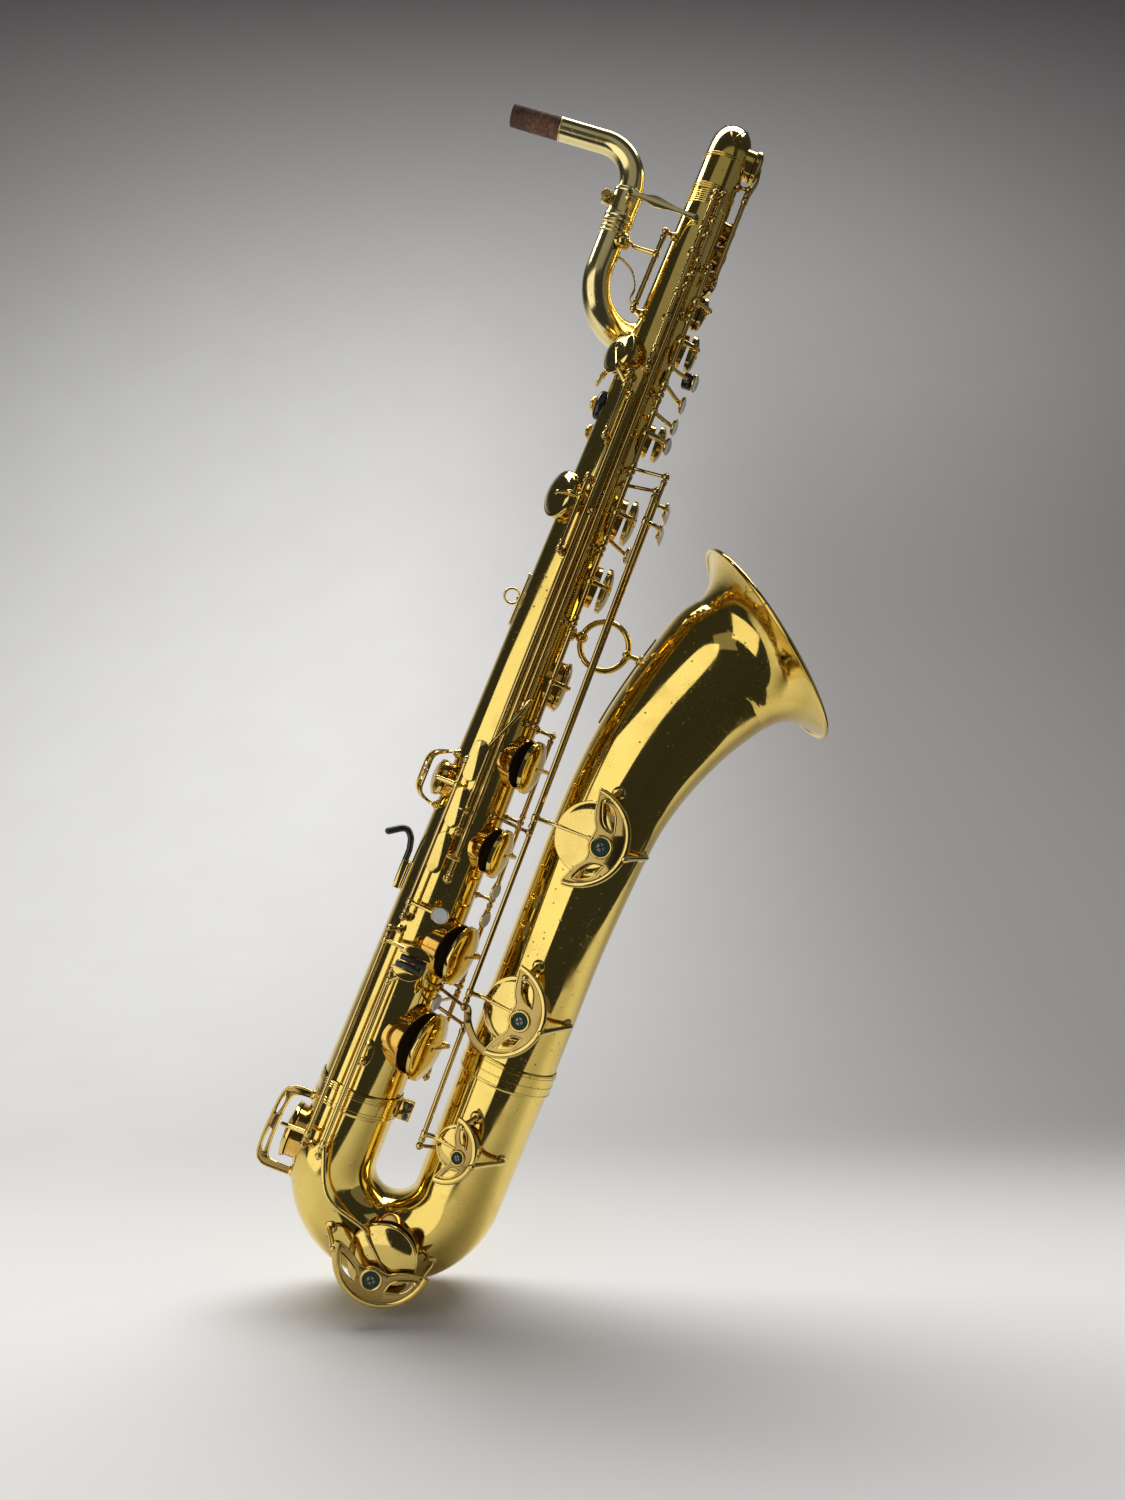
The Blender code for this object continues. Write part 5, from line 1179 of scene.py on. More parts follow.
# The clamp screw: its reach past the middle in lug widths, its tip, neck, shoulder, chamfer and ridges
CLAMP_REACH = 0.9
CLAMP_TIP = 0.9
CLAMP_NECK = 0.7
CLAMP_SHOULDER = 0.0008
CLAMP_CHAMFER = 0.0012
CLAMP_RIDGES = 14
CLAMP_RIDGE_WIRE = 0.0004
CLAMP_RIDGE_PROUD = 0.0001
# Rings at the neck's root and in front of the cork: distance and wire
NECK_RING = (0.0012, 0.0011)
CORK_RING = (0.0008, 0.0006)
# The tube inside the cork: how far back it starts, and where its bore ends, in cork lengths. The bore is
# painted dark as shade.
NECK_TIP_START = -0.002
NECK_BORE_END = 0.4
# The cork's section in shares of its radius and length, then its worn end
CORK_SECTION = ((1, 0), (1.01, 0.3), (1, 0.7))
CORK_CHAMFER = 0.0012
CORK_END = (0.985, 0.95)
# The neck brace's waists, as shares of its end's width, its edge, and its feet: shares and heights
NECK_BRACE_WAISTS = (0.9, 0.8)
NECK_BRACE_BEVEL = 0.0006
NECK_BRACE_FOOT = ((0, -0.0006), (1.5, -0.0006), (1.4, 0.0006), (0.8, 0.0016))
NECK_BRACE_SCREW = (0.0019, 0.0008)


def add_rings(piece, end, rises, radius, wire, finish):
    """Rings round an upright tube, at rises from its end."""
    for rise in rises:
        add_band(piece, end + UP * rise, UP, radius, wire, finish)


def make_upper_bow():
    piece = Piece("upper_bow_tube", "body", "upper_bow")
    centre = Vector((0, UPPER_BEND_RADIUS, UPPER_BEND_Z))
    turn = arc(centre, FRONT, UP, UPPER_BEND_RADIUS, math.pi, UPPER_STEPS)
    for index, point in enumerate(turn):
        point.x = PIGTAIL_FAR_X * index / UPPER_STEPS
    end = Vector((PIGTAIL_FAR_X, 2 * UPPER_BEND_RADIUS, UPPER_END_Z))
    points = [UP * (BODY_TOP_Z + GAP), *turn, end]
    radii = taper(BODY_TOP_RADIUS, UPPER_END_RADIUS, len(points))
    piece.bend(BRASS_BODY, points, radii, 64, caps=False)
    add_chimney(piece, "high_e", BRASS_BODY)
    for rise, proud in UPPER_RINGS:
        add_rings(piece, points[0], (rise,), BODY_TOP_RADIUS + proud, UPPER_RING_WIRE, BRASS_BODY)
    for side in (-1, 1):
        seam = []
        for index in range(CAP_FIRST, CAP_LAST + 1):
            before, spot, after = points[index - 1 : index + 2]
            out = (spot - centre).normalized()
            share = (index - CAP_FIRST) / (CAP_LAST - CAP_FIRST)
            spread = math.radians(CAP_SPREAD) * math.sin(math.pi * share) * side
            across = (after - before).normalized().cross(out)
            seam.append(spot + (out * math.cos(spread) + across * math.sin(spread)) * radii[index])
        piece.bend(BRASS_DARK, seam, CAP_EDGE, 8)
    ring_radius = UPPER_END_RADIUS + JOINT_RING_PROUD
    add_rings(piece, end, JOINT_RINGS, ring_radius, JOINT_RING_WIRE, BRASS_BODY)
    top = HIGH_E_HINGE[1]
    base = around(HIGH_E_POST_ANGLES[1]) * BODY_TOP_RADIUS + UP * top.z
    add_post(piece, base, top, UP, BRASS_ROD)
    piece.done()


def pigtail_path(steps):
    far = Vector((PIGTAIL_FAR_X, 2 * UPPER_BEND_RADIUS, 0))
    near = Vector((NECK_X, 0, 0))
    across = near - far
    middle = far + across / 2 + UP * PIGTAIL_BEND_Z
    turn = arc(middle, -across.normalized(), -UP, across.length / 2, math.pi, steps)
    points = [far + UP * (UPPER_END_Z - GAP), *turn, near + UP * (RECEIVER_BOTTOM_Z - GAP)]
    return points, taper(UPPER_END_RADIUS, PIGTAIL_END_RADIUS, len(points))


def make_pigtail():
    piece = Piece("pigtail_tube", "body", "pigtail")
    points, radii = pigtail_path(48)
    piece.bend(BRASS_NECK, points, radii, 56, caps=False)
    ring_radius = UPPER_END_RADIUS + JOINT_RING_PROUD
    add_rings(piece, points[0], PIGTAIL_RINGS, ring_radius, JOINT_RING_WIRE, BRASS_BODY)
    ring_radius = PIGTAIL_END_RADIUS + SOCKET_RING_PROUD
    add_rings(piece, points[-1], SOCKET_RINGS, ring_radius, SOCKET_RING_WIRE, BRASS_NECK)
    strap = [PIGTAIL_STRAP[0], *smooth_path(PIGTAIL_STRAP[1:-1], 8), PIGTAIL_STRAP[-1]]
    piece.bend(BRASS_DARK, strap, PIGTAIL_STRAP_HALF, 14, STRAP_FLATNESS, BACK)
    rim, normal, radius, _ = seats["octave_pip"]
    pip = section(OCTAVE_PIP_SECTION, radius, 1)
    piece.turn(BRASS_KEY, pip, frame_on(rim, normal), 28)
    piece.done()


def make_receiver():
    """The neck's split socket with its clamp lugs, and the clamp screw between them."""
    piece = Piece("neck_socket", "body", "neck_receiver")
    socket = NECK_ROOT_RADIUS - WALL / 2 + GAP
    profile = [(socket, RECEIVER_TOP_Z)]
    for end, rows in ((RECEIVER_TOP_Z, RECEIVER_UPPER), (RECEIVER_BOTTOM_Z, RECEIVER_LOWER)):
        profile += [(RECEIVER_RADIUS - RECEIVER_GROOVE * deep, end + z) for deep, z in rows]
    profile.append((PIGTAIL_END_RADIUS - WALL, RECEIVER_BOTTOM_Z))
    place = Matrix.Translation((NECK_X, 0, 0))
    piece.turn(BRASS_NECK, rounded(profile, SOFT_EDGE, 2), place, 56)
    lug_x = NECK_X - RECEIVER_RADIUS - CLAMP_LUG_REACH / 2 + WALL
    lug = Vector((lug_x, 0, RECEIVER_TOP_Z - CLAMP_LUG_HEIGHT / 2 - 2 * WALL))
    size = Vector((CLAMP_LUG_REACH + WALL, CLAMP_LUG_WIDTH, CLAMP_LUG_HEIGHT))
    add_split_lug(piece, lug, size, RECEIVER_LUG_BEVEL, BRASS_NECK)
    piece.done()
    screw = Piece("clamp_thumbscrew", "neck_clamp_screw", "neck_clamp_screw", slot="aged_brass")
    place = frame_on(lug - RIGHT * (CLAMP_LUG_REACH / 6), FRONT)
    low = -CLAMP_LUG_WIDTH * CLAMP_REACH
    start = CLAMP_LUG_WIDTH / 2 + GAP
    end = start + CLAMP_KNOB_LENGTH
    grip = (start + CLAMP_SHOULDER, end - CLAMP_CHAMFER)
    profile = [(0, low), (CLAMP_SCREW_RADIUS * CLAMP_TIP, low), (CLAMP_SCREW_RADIUS, start)]
    profile += [(CLAMP_KNOB_RADIUS * CLAMP_NECK, start), *((CLAMP_KNOB_RADIUS, z) for z in grip)]
    profile += [(CLAMP_KNOB_END_RADIUS, end), (0, end)]
    screw.turn(BRASS_ROD, rounded(profile, SOFT_EDGE, 2), place, 28)
    for step in range(CLAMP_RIDGES):
        out = around(step * 360 / CLAMP_RIDGES) * (CLAMP_KNOB_RADIUS + CLAMP_RIDGE_PROUD)
        ridge = [place @ (out + UP * z) for z in grip]
        screw.bend(BRASS_ROD, ridge, CLAMP_RIDGE_WIRE, 6)
    screw.done()


def make_neck():
    """The neck and its cork, which turn together in the socket."""
    centre = Vector((NECK_X - NECK_BEND_RADIUS, 0, RECEIVER_TOP_Z + 2 * WALL))
    bend = arc(centre, RIGHT, UP, NECK_BEND_RADIUS, math.pi / 2 + NECK_DROOP, 36)
    run = Vector((-math.cos(NECK_DROOP), 0, -math.sin(NECK_DROOP)))
    cork_start = bend[-1] + run * ((bend[-1].x - CORK_START_X) / math.cos(NECK_DROOP))
    points = [Vector((NECK_X, 0, RECEIVER_TOP_Z + GAP)), *bend, cork_start]
    piece = Piece("neck_tube", "neck", "neck")
    piece.bend(BRASS_NECK, points, taper(NECK_ROOT_RADIUS, CORK_RADIUS, len(points)), 56)
    rise, wire = NECK_RING
    add_band(piece, points[0] + UP * rise, UP, NECK_ROOT_RADIUS, wire, BRASS_NECK)
    back, wire = CORK_RING
    add_band(piece, cork_start - run * back, run, CORK_RADIUS, wire, BRASS_NECK)
    tenon = NECK_ROOT_RADIUS - WALL / 2
    root = Vector((NECK_X, 0, RECEIVER_TOP_Z - NECK_TENON_DEPTH))
    profile = [(0, 0), (tenon, 0), (tenon, NECK_TENON_DEPTH + GAP)]
    piece.turn(BRASS_NECK, profile, Matrix.Translation(root), 48)
    bore, mouth, bottom = NECK_TIP_RADIUS - WALL, CORK_LENGTH + GAP, CORK_LENGTH * NECK_BORE_END
    tip = [(NECK_TIP_RADIUS, NECK_TIP_START), (NECK_TIP_RADIUS, mouth), (bore, mouth)]
    tip += [(bore, bottom), (0, bottom)]
    # Painted shade: the tip's bore and the disc that ends it are dark.
    piece.turn(BORE_SHADE, tip, frame_on(cork_start, run, UP), 40)
    piece.done()
    sleeve = Piece("neck_cork_sleeve", "neck", "neck_cork", slot="cork")
    inner = NECK_TIP_RADIUS + GAP
    profile = [(inner, 0), *section(CORK_SECTION, CORK_RADIUS, CORK_LENGTH)]
    for share, z in zip(CORK_END, (CORK_LENGTH - CORK_CHAMFER, CORK_LENGTH)):
        profile.append((CORK_RADIUS * share, z))
    profile = rounded([*profile, (inner, CORK_LENGTH)], BROAD_EDGE, 2)
    sleeve.turn(CORK, profile, frame_on(cork_start + run * GAP, run, UP), 48)
    sleeve.done()


def make_neck_brace():
    """A flat bar from the socket's near side to the body's, widest in its middle."""
    left, right, middle = NECK_BRACE_NECK_X, NECK_BRACE_BODY_X, NECK_BRACE_WIDEST_X
    end = NECK_BRACE_END_WIDTH / 2
    wide = NECK_BRACE_WIDTH / 2
    waists = [end * share for share in NECK_BRACE_WAISTS]
    marks = [(left, end), ((left + middle) / 2, waists[0]), (middle, wide)]
    marks += [((middle + right) / 2, waists[1]), (right, end)]
    upper = smooth_path([Vector(mark) for mark in marks], 8)
    tips = []
    for x, way in ((right, -90), (left, 90)):
        turn = [around(-way + math.copysign(180, way) * step / 8) * end for step in range(1, 8)]
        tips.append([(x + spot.x, spot.y) for spot in turn])
    outline = [tuple(point) for point in upper] + tips[0]
    outline += [(x, -y) for x, y in reversed(upper)] + tips[1]
    piece = Piece("neck_brace_bar", "body", "neck_brace")
    place = frame_on(Vector((0, NECK_BRACE_Y, NECK_BRACE_Z)), FRONT)
    piece.cut(BRASS_NECK, [outline], NECK_BRACE_THICKNESS, place, NECK_BRACE_BEVEL)
    for x, tube, axis_x in ((left, RECEIVER_RADIUS, NECK_X), (right, body_radius(NECK_BRACE_Z), 0)):
        surface = -math.sqrt(tube**2 - (x - axis_x) ** 2)
        foot = Vector((x, surface, NECK_BRACE_Z))
        profile = section(NECK_BRACE_FOOT, NECK_BRACE_FOOT_RADIUS, 1)
        profile.append((profile[-1][0], surface - NECK_BRACE_Y))
        piece.turn(BRASS_NECK, profile, frame_on(foot, FRONT), 24)
        head = Vector((x, NECK_BRACE_Y - NECK_BRACE_THICKNESS / 2, NECK_BRACE_Z))
        add_screw(piece, frame_on(head, FRONT), *NECK_BRACE_SCREW)
    piece.done()


make_upper_bow()
make_pigtail()
make_receiver()
make_neck()
make_neck_brace()


# The low C key's arm runs down beside the bow, turns and reaches past the cup's middle
LOW_C_ARM_TURN = Vector((0.0092, -0.0475, 0.0683))
LOW_C_ARM_PAST = 0.013
# Second pearls of the upper stack: height, angle, distance off the body, and whether a barrel lifts it
RAISED_PEARLS = {"b": (0.7195, -6, 0.0135, False), "c": (0.7755, -4, 0.0165, True)}
# The barrel's section, in shares of a pearl's radius and of its own height
BUTTON_HEIGHT = 0.0075
BUTTON_SECTION = ((0, -1), (0.828, -1), (0.92, -0.92), (0.92, -0.0267), (0, -0.0267))
# How far the palm touches stand off their model's place, to clear their neighbours
PALM_CLEAR = 0.0006
# A hinge tube's collars and the collar under an arm, as shares of the tube's and arm's radius
TUBE_COLLAR = 1.24
TUBE_COLLAR_RUN = 1.4
TUBE_SHOULDER = 1.25
SADDLE_HALF = 1.5
SADDLE_SECTION = ((1, -1), (1.32, -0.7), (1.32, 0.7), (1, 1))
# A cup's dome, and its side's section in shares of its radius and shoulder
CUP_SHOULDER = 0.955
CUP_SHOULDER_HEIGHT = CUP_SIDE * 0.8
CUP_DOME = 4
CUP_EDGE = ((0.985, 1), (1, 0.85), (1, 0.15), (1.012, 0), (0.95, 0))
# The pad and the disc on it: shares of the cup's radius, and heights
PAD_SECTION = ((0.95, 0), (0.94, -0.0002), (0.9, -0.0003), (0, -0.0003))
PAD_DISC = ((0, -0.001), (0.24, -0.0008), (0.3, -0.0003))
# A cup's arm: heights of its knee, crest and end in arm radii, the crest's reach over the cup, the
# arm's width at its foot and how much it loses, its flatness, and the boss at its end
ARM_HEIGHTS = (1.7, 0.7, 0.2)
ARM_CREST_REACH = 0.72
ARM_FOOT_WIDTH = 1.05
ARM_TAPER = 0.5
ARM_FLATNESS = 0.7
ARM_BOSS = ((0, 0.0014), (0.0016, 0.0012), (0.0024, 0.0002), (0.0024, -0.0008))
# A pearl's dish and the pearl in it, in shares of the pearl's radius and thickness, and its arm
DISH_SECTION = ((0, 0), (0.6, 0), (1, 0.35), (1, 0.72), (0.9, 0.72), (0.88, 0.5))
SHELL_SECTION = ((0.88, 0.5), (0.87, 0.78), (0.78, 0.93), (0.4, 0.88), (0, 0.86))
PEARL_ARM_END = 0.2
PEARL_ARM_SAG = 0.0004
PEARL_ARM_FLATNESS = 0.85
# A touch plate's corners, edge and the depth of its arm's end, as shares of its width and thickness
PADDLE_CORNER = 0.46
PADDLE_EDGE = 0.4
PADDLE_ARM_END = 0.3
# The little finger's touch: its edge, its arm's end as a share of its radius, and the arm's sag
PINKY_EDGE = 0.35
PINKY_ARM_END = 0.6
PINKY_ARM_SAG = 0.0008
# A roller's end, waist and the length of its rounded end, as shares of its radius
ROLLER_END = 0.8
ROLLER_WAIST = 0.94
ROLLER_ROUND = 0.3


def shortened(hinge):
    """The hinge tube's ends, clear of the post balls."""
    low, high = hinge
    step = (high - low).normalized() * (POST_BALL + GAP)
    return low + step, high - step


def foot_on(hinge, point):
    """The hinge tube's nearest point to point, kept inside the tube."""
    low, high = shortened(hinge)
    along = (high - low).normalized()
    reach = (point - low).dot(along)
    return low + along * max(FOOT_INSET, min((high - low).length - FOOT_INSET, reach))


def add_hinge_tube(piece, hinge):
    """A hinge tube with a collar turned at each end."""
    low, high = shortened(hinge)
    length = (high - low).length
    collar = ROD_RADIUS * TUBE_COLLAR
    run = TUBE_COLLAR_RUN * ROD_RADIUS
    lower = [(0, 0), (collar, 0), (collar, run), (ROD_RADIUS, run * TUBE_SHOULDER)]
    upper = [(radius, length - z) for radius, z in reversed(lower)]
    profile = rounded(lower + upper, SOFT_EDGE, 2)
    piece.turn(BRASS_ROD, profile, frame_on(low, high - low), 20)


def add_saddle(piece, hinge, spot):
    """The collar that an arm is brazed to its hinge tube with."""
    along = (hinge[1] - hinge[0]).normalized()
    profile = section(SADDLE_SECTION, ROD_RADIUS, SADDLE_HALF * ARM_RADIUS)
    piece.turn(BRASS_KEY, profile, frame_on(spot, along), 20)


def add_cup(piece, rim, normal, radius):
    """A pressed key cup with a rolled shoulder, its leather pad and the pad's resonator."""
    place = frame_on(rim + normal * PAD_LIFT, normal, UP)
    low = CUP_SHOULDER_HEIGHT
    rise = CUP_SIDE + CUP_CROWN - low
    shares = [step / 12 for step in range(13)]
    crown = [(radius * CUP_SHOULDER * share, low + rise * (1 - share**CUP_DOME)) for share in shares]
    piece.turn(BRASS_KEY, crown + section(CUP_EDGE, radius, low), place, 64)
    piece.turn(LEATHER, section(PAD_SECTION, radius, 1), place, 48)
    piece.turn(BRASS_ROD, section(PAD_DISC, radius, 1), place, 28)


def add_cup_arm(piece, hinge, rim, normal, radius, past=0.0, turn=None):
    """An arm from the hinge tube, up over the cup's edge and tapering on to its middle or past it."""
    foot = foot_on(hinge, rim)
    level = foot - rim
    level = (level - normal * level.dot(normal)).normalized()
    top = CUP_SIDE + CUP_CROWN
    over_knee, over_crest, over_end = (ARM_RADIUS * share for share in ARM_HEIGHTS)
    knee = rim + level * (radius + ARM_RADIUS) + normal * (CUP_SIDE + over_knee)
    crest = rim + level * (radius * ARM_CREST_REACH) + normal * (top + over_crest)
    middle = rim - level * past + normal * (top + over_end)
    path = smooth_path([foot, *([turn] if turn else []), knee, crest, middle], 7)
    across = (hinge[1] - hinge[0]).normalized()
    widest = ARM_RADIUS * ARM_FOOT_WIDTH
    widths = taper(widest, widest - ARM_RADIUS * ARM_TAPER, len(path))
    piece.bend(BRASS_KEY, path, widths, 14, ARM_FLATNESS, across)
    boss = rounded(ARM_BOSS, MID_EDGE, 2)
    piece.turn(BRASS_ROD, boss, frame_on(rim - level * past + normal * top, normal), 24)
    add_saddle(piece, hinge, foot)


def add_pearl(piece, hinge, centre, normal):
    """A shell pearl in a brass dish, on an arm from the hinge tube."""
    place = frame_on(centre, normal, UP)
    dish = rounded(section(DISH_SECTION, PEARL_RADIUS, PEARL_THICKNESS), MID_EDGE, 2)
    piece.turn(BRASS_KEY, dish, place, 36)
    piece.turn(PEARL, section(SHELL_SECTION, PEARL_RADIUS, PEARL_THICKNESS), place, 36)
    foot = foot_on(hinge, centre)
    end = centre + normal * (PEARL_THICKNESS * PEARL_ARM_END)
    middle = (foot + end) / 2 - normal * PEARL_ARM_SAG
    path = smooth_path([foot, middle, end], 5)
    piece.bend(BRASS_KEY, path, TOUCH_ARM_RADIUS, 12, PEARL_ARM_FLATNESS)
    add_saddle(piece, hinge, foot)


def add_button(piece, centre, normal):
    """The black barrel that a raised pearl stands on."""
    profile = rounded(section(BUTTON_SECTION, PEARL_RADIUS, BUTTON_HEIGHT), BROAD_EDGE, 2)
    piece.turn(RESIN, profile, frame_on(centre, normal, UP), 32)


def round_box(width, height, radius, steps=6):
    """Outline of a plate with round corners."""
    points = []
    for x, y, start in ((1, 1, 0), (-1, 1, 90), (-1, -1, 180), (1, -1, 270)):
        for step in range(steps + 1):
            way = around(start + 90 * step / steps) * radius
            points.append((x * (width / 2 - radius) + way.x, y * (height / 2 - radius) + way.y))
    return points


def add_paddle(piece, hinge, centre, normal, size, knees=()):
    """A touch plate with rounded ends on an arm from the hinge tube."""
    width, height, thickness = size
    outline = round_box(height, width, min(width, height) * PADDLE_CORNER)
    place = frame_on(centre, normal, UP)
    piece.cut(BRASS_KEY, [outline], thickness, place, thickness * PADDLE_EDGE)
    foot = foot_on(hinge, centre)
    path = [foot, *knees, centre - normal * (thickness * PADDLE_ARM_END)]
    path = smooth_path(path, 6) if knees else path
    piece.bend(BRASS_KEY, path, TOUCH_ARM_RADIUS, 12)
    add_saddle(piece, hinge, foot)


def swing_of(hinge, spot, way, opens):
    """The turn about the hinge by opens degrees that moves spot in the direction way."""
    foot = foot_on(hinge, spot)
    along = (hinge[1] - hinge[0]).normalized()
    if along.cross(spot - foot).dot(way) < 0:
        along = -along
    pivot = frame_on(foot, along, spot - foot)
    return pivot @ Matrix.Rotation(math.radians(opens), 4, "Z") @ pivot.inverted()


def key_piece(name, hole, hinge, past=0.0, turn=None):
    """A key's hinge tube, cup and cup arm, before its touches are added."""
    rim, normal, hole_radius, _ = seats[hole]
    piece = Piece(name[4:] + "_key", name, name)
    add_hinge_tube(piece, hinge)
    add_cup(piece, rim, normal, hole_radius + CUP_OVERHANG)
    add_cup_arm(piece, hinge, rim, normal, hole_radius + CUP_OVERHANG, past, turn)
    return piece


def open_swing(hole, hinge, opens):
    rim, normal, *_ = seats[hole]
    return swing_of(hinge, rim, normal, opens)


def stack_hinge(index):
    return hinge_on_body(STACK_ANGLE, STACK_HEIGHT, *STACK_POSTS[index : index + 2])


def upper_hinge(index):
    return hinge_on_body(UPPER_ANGLE, UPPER_HEIGHT, *UPPER_POSTS[index : index + 2])


def make_stack_keys():
    for index, (name, (pearl_z, angle)) in enumerate(LOWER_STACK.items()):
        hinge = stack_hinge(index)
        piece = key_piece("key_" + name, "low_" + name, hinge)
        if pearl_z:
            spot = on_body(pearl_z, angle, LOWER_PEARL_HEIGHT)
            add_pearl(piece, hinge, spot, around(LOWER_PEARL_FACING))
        piece.done(open_swing("low_" + name, hinge, STACK_OPENS))
    for index, (name, pearl_z) in enumerate(UPPER_STACK.items()):
        hinge = upper_hinge(index)
        piece = key_piece("key_" + name, name, hinge)
        if pearl_z:
            spot = on_body(pearl_z, UPPER_PEARL_ANGLE, UPPER_PEARL_HEIGHT)
            add_pearl(piece, hinge, spot, around(UPPER_PEARL_ANGLE))
        if name in RAISED_PEARLS:
            z, angle, height, on_barrel = RAISED_PEARLS[name]
            facing = around(angle)
            spot = on_body(z, angle, height)
            add_pearl(piece, hinge, spot, facing)
            if on_barrel:
                add_button(piece, spot, facing)
        piece.done(open_swing(name, hinge, STACK_OPENS))
    key_piece("key_front_f", "front_f", upper_hinge(len(UPPER_STACK))).done()
    hinge = hinge_on_body(UPPER_ANGLE, UPPER_HEIGHT, G_SHARP_LOW_Z, UPPER_POSTS[0])
    key_piece("key_g_sharp", "g_sharp", hinge).done()


def make_bell_keys():
    for name, hinge, touch_z, knee_y in (
        ("low_b", LOW_B_HINGE, LOW_B_TOUCH_Z, LOW_B_KNEE_Y),
        ("low_b_flat", LOW_B_FLAT_HINGE, LOW_B_FLAT_TOUCH_Z, LOW_B_FLAT_KNEE_Y),
    ):
        piece = key_piece("key_" + name, name, hinge)
        centre = Vector((TABLE_X, TABLE_Y, touch_z))
        knee = Vector((TABLE_KNEE_X, knee_y, touch_z))
        add_paddle(piece, hinge, centre, RIGHT, TABLE_TOUCH, [knee])
        rim = seats[name][0]
        opens = math.degrees(math.asin(BELL_LIFTS[name] / (rim - foot_on(hinge, rim)).length))
        piece.done(open_swing(name, hinge, opens))
    key_piece("key_low_c_sharp", "low_c_sharp", C_SHARP_HINGE).done()


def half_disc(radius, gap, side, steps=28):
    """Outline of a half disc whose straight edge is gap from the middle, on one side."""
    span = math.acos(gap / radius)
    angles = [span - 2 * span * step / steps for step in range(steps + 1)]
    return [(radius * math.sin(a), side * radius * math.cos(a)) for a in angles]


def make_pinky_keys():
    halves = (
        ("low_e_flat", E_FLAT_HINGE, 1, 0, 0.0, None),
        ("low_c", LOW_C_HINGE, -1, PINKY_OPENS, LOW_C_ARM_PAST, LOW_C_ARM_TURN),
    )
    for name, hinge, side, stands, past, turn in halves:
        piece = key_piece("key_" + name, name, hinge, past, turn)
        edge = 2 * ROLLER_RADIUS + 3 * GAP
        place = frame_on(PINKY_TOUCH, FRONT)
        outline = half_disc(PINKY_RADIUS, edge, side)
        piece.cut(BRASS_KEY, [outline], PINKY_THICKNESS, place, PINKY_THICKNESS * PINKY_EDGE)
        spot = PINKY_TOUCH + UP * (side * PINKY_RADIUS * PINKY_ARM_END)
        foot = foot_on(hinge, spot)
        middle = (foot + spot) / 2 - FRONT * PINKY_ARM_SAG
        piece.bend(BRASS_KEY, smooth_path([foot, middle, spot], 6), TOUCH_ARM_RADIUS, 12)
        add_saddle(piece, hinge, foot)
        swing = open_swing(name, hinge, stands)
        piece.done(swing)
        roller = Piece(name + "_roller", "roller_" + name, "roller_" + name, slot="black_resin")
        centre = PINKY_TOUCH + UP * side * (ROLLER_RADIUS + GAP)
        half = ROLLER_LENGTH / 2
        inset = half - ROLLER_RADIUS * ROLLER_ROUND
        upper = [(ROLLER_RADIUS, inset), (ROLLER_RADIUS * ROLLER_END, half), (0, half)]
        lower = [(radius, -z) for radius, z in reversed(upper)]
        profile = [*lower, (ROLLER_RADIUS * ROLLER_WAIST, 0), *upper]
        roller.turn(RESIN, profile, frame_on(centre, RIGHT), 24)
        roller.done(swing)


def make_side_keys():
    for name, posts in (("side_b_flat", SIDE_B_FLAT_POSTS), ("side_c", SIDE_C_POSTS)):
        key_piece("key_" + name, name, hinge_on_body(SIDE_CUP_ANGLE, SIDE_CUP_HEIGHT, *posts)).done()
    for name, (angle, low, high, touch_z) in SIDE_LEVERS.items():
        hinge = hinge_on_body(angle, SIDE_HEIGHT, low, high)
        centre = Vector((SIDE_TOUCH_X, SIDE_TOUCH_Y, touch_z))
        knee = on_body(foot_on(hinge, centre).z, angle, SIDE_HEIGHT + SIDE_KNEE)
        piece = Piece(name[6:] + "_touch", name, name)
        add_hinge_tube(piece, hinge)
        add_paddle(piece, hinge, centre, SIDE_FACING, SIDE_TOUCH, [knee])
        piece.done()
    key_piece("key_high_e", "high_e", HIGH_E_HINGE).done()
    hinge = hinge_on_body(*TRILL_HINGE)
    piece = key_piece("key_trill", "trill", hinge)
    add_pearl(piece, hinge, TRILL_PEARL, FRONT)
    piece.done()


def make_palm_keys():
    for name, (angle, low, high, spot) in PALM_KEYS.items():
        hinge = hinge_on_body(angle, PALM_HEIGHT, low, high)
        piece = key_piece("key_" + name, name, hinge)
        facing = Vector((spot.x, spot.y, 0)).normalized()
        add_paddle(piece, hinge, spot + facing * PALM_CLEAR, facing, PALM_TOUCH)
        piece.done()


def make_octave_keys():
    key_piece("key_octave_vent", "octave_pip", hinge_on_body(*OCTAVE_HINGE)).done()
    hinge = octave_lever_hinge()
    rest_top = THUMB_REST_Z + THUMB_REST_RADIUS * THUMB_REST_STRETCH
    centre = Vector((OCTAVE_TOUCH_X, OCTAVE_TOUCH_Y, rest_top + OCTAVE_TOUCH_ABOVE_REST))
    piece = Piece("octave_thumb_lever", "octave_lever", "octave_lever")
    add_hinge_tube(piece, hinge)
    add_paddle(piece, hinge, centre, OCTAVE_FACING, OCTAVE_TOUCH)
    piece.done()


make_stack_keys()
make_bell_keys()
make_pinky_keys()
make_side_keys()
make_palm_keys()
make_octave_keys()


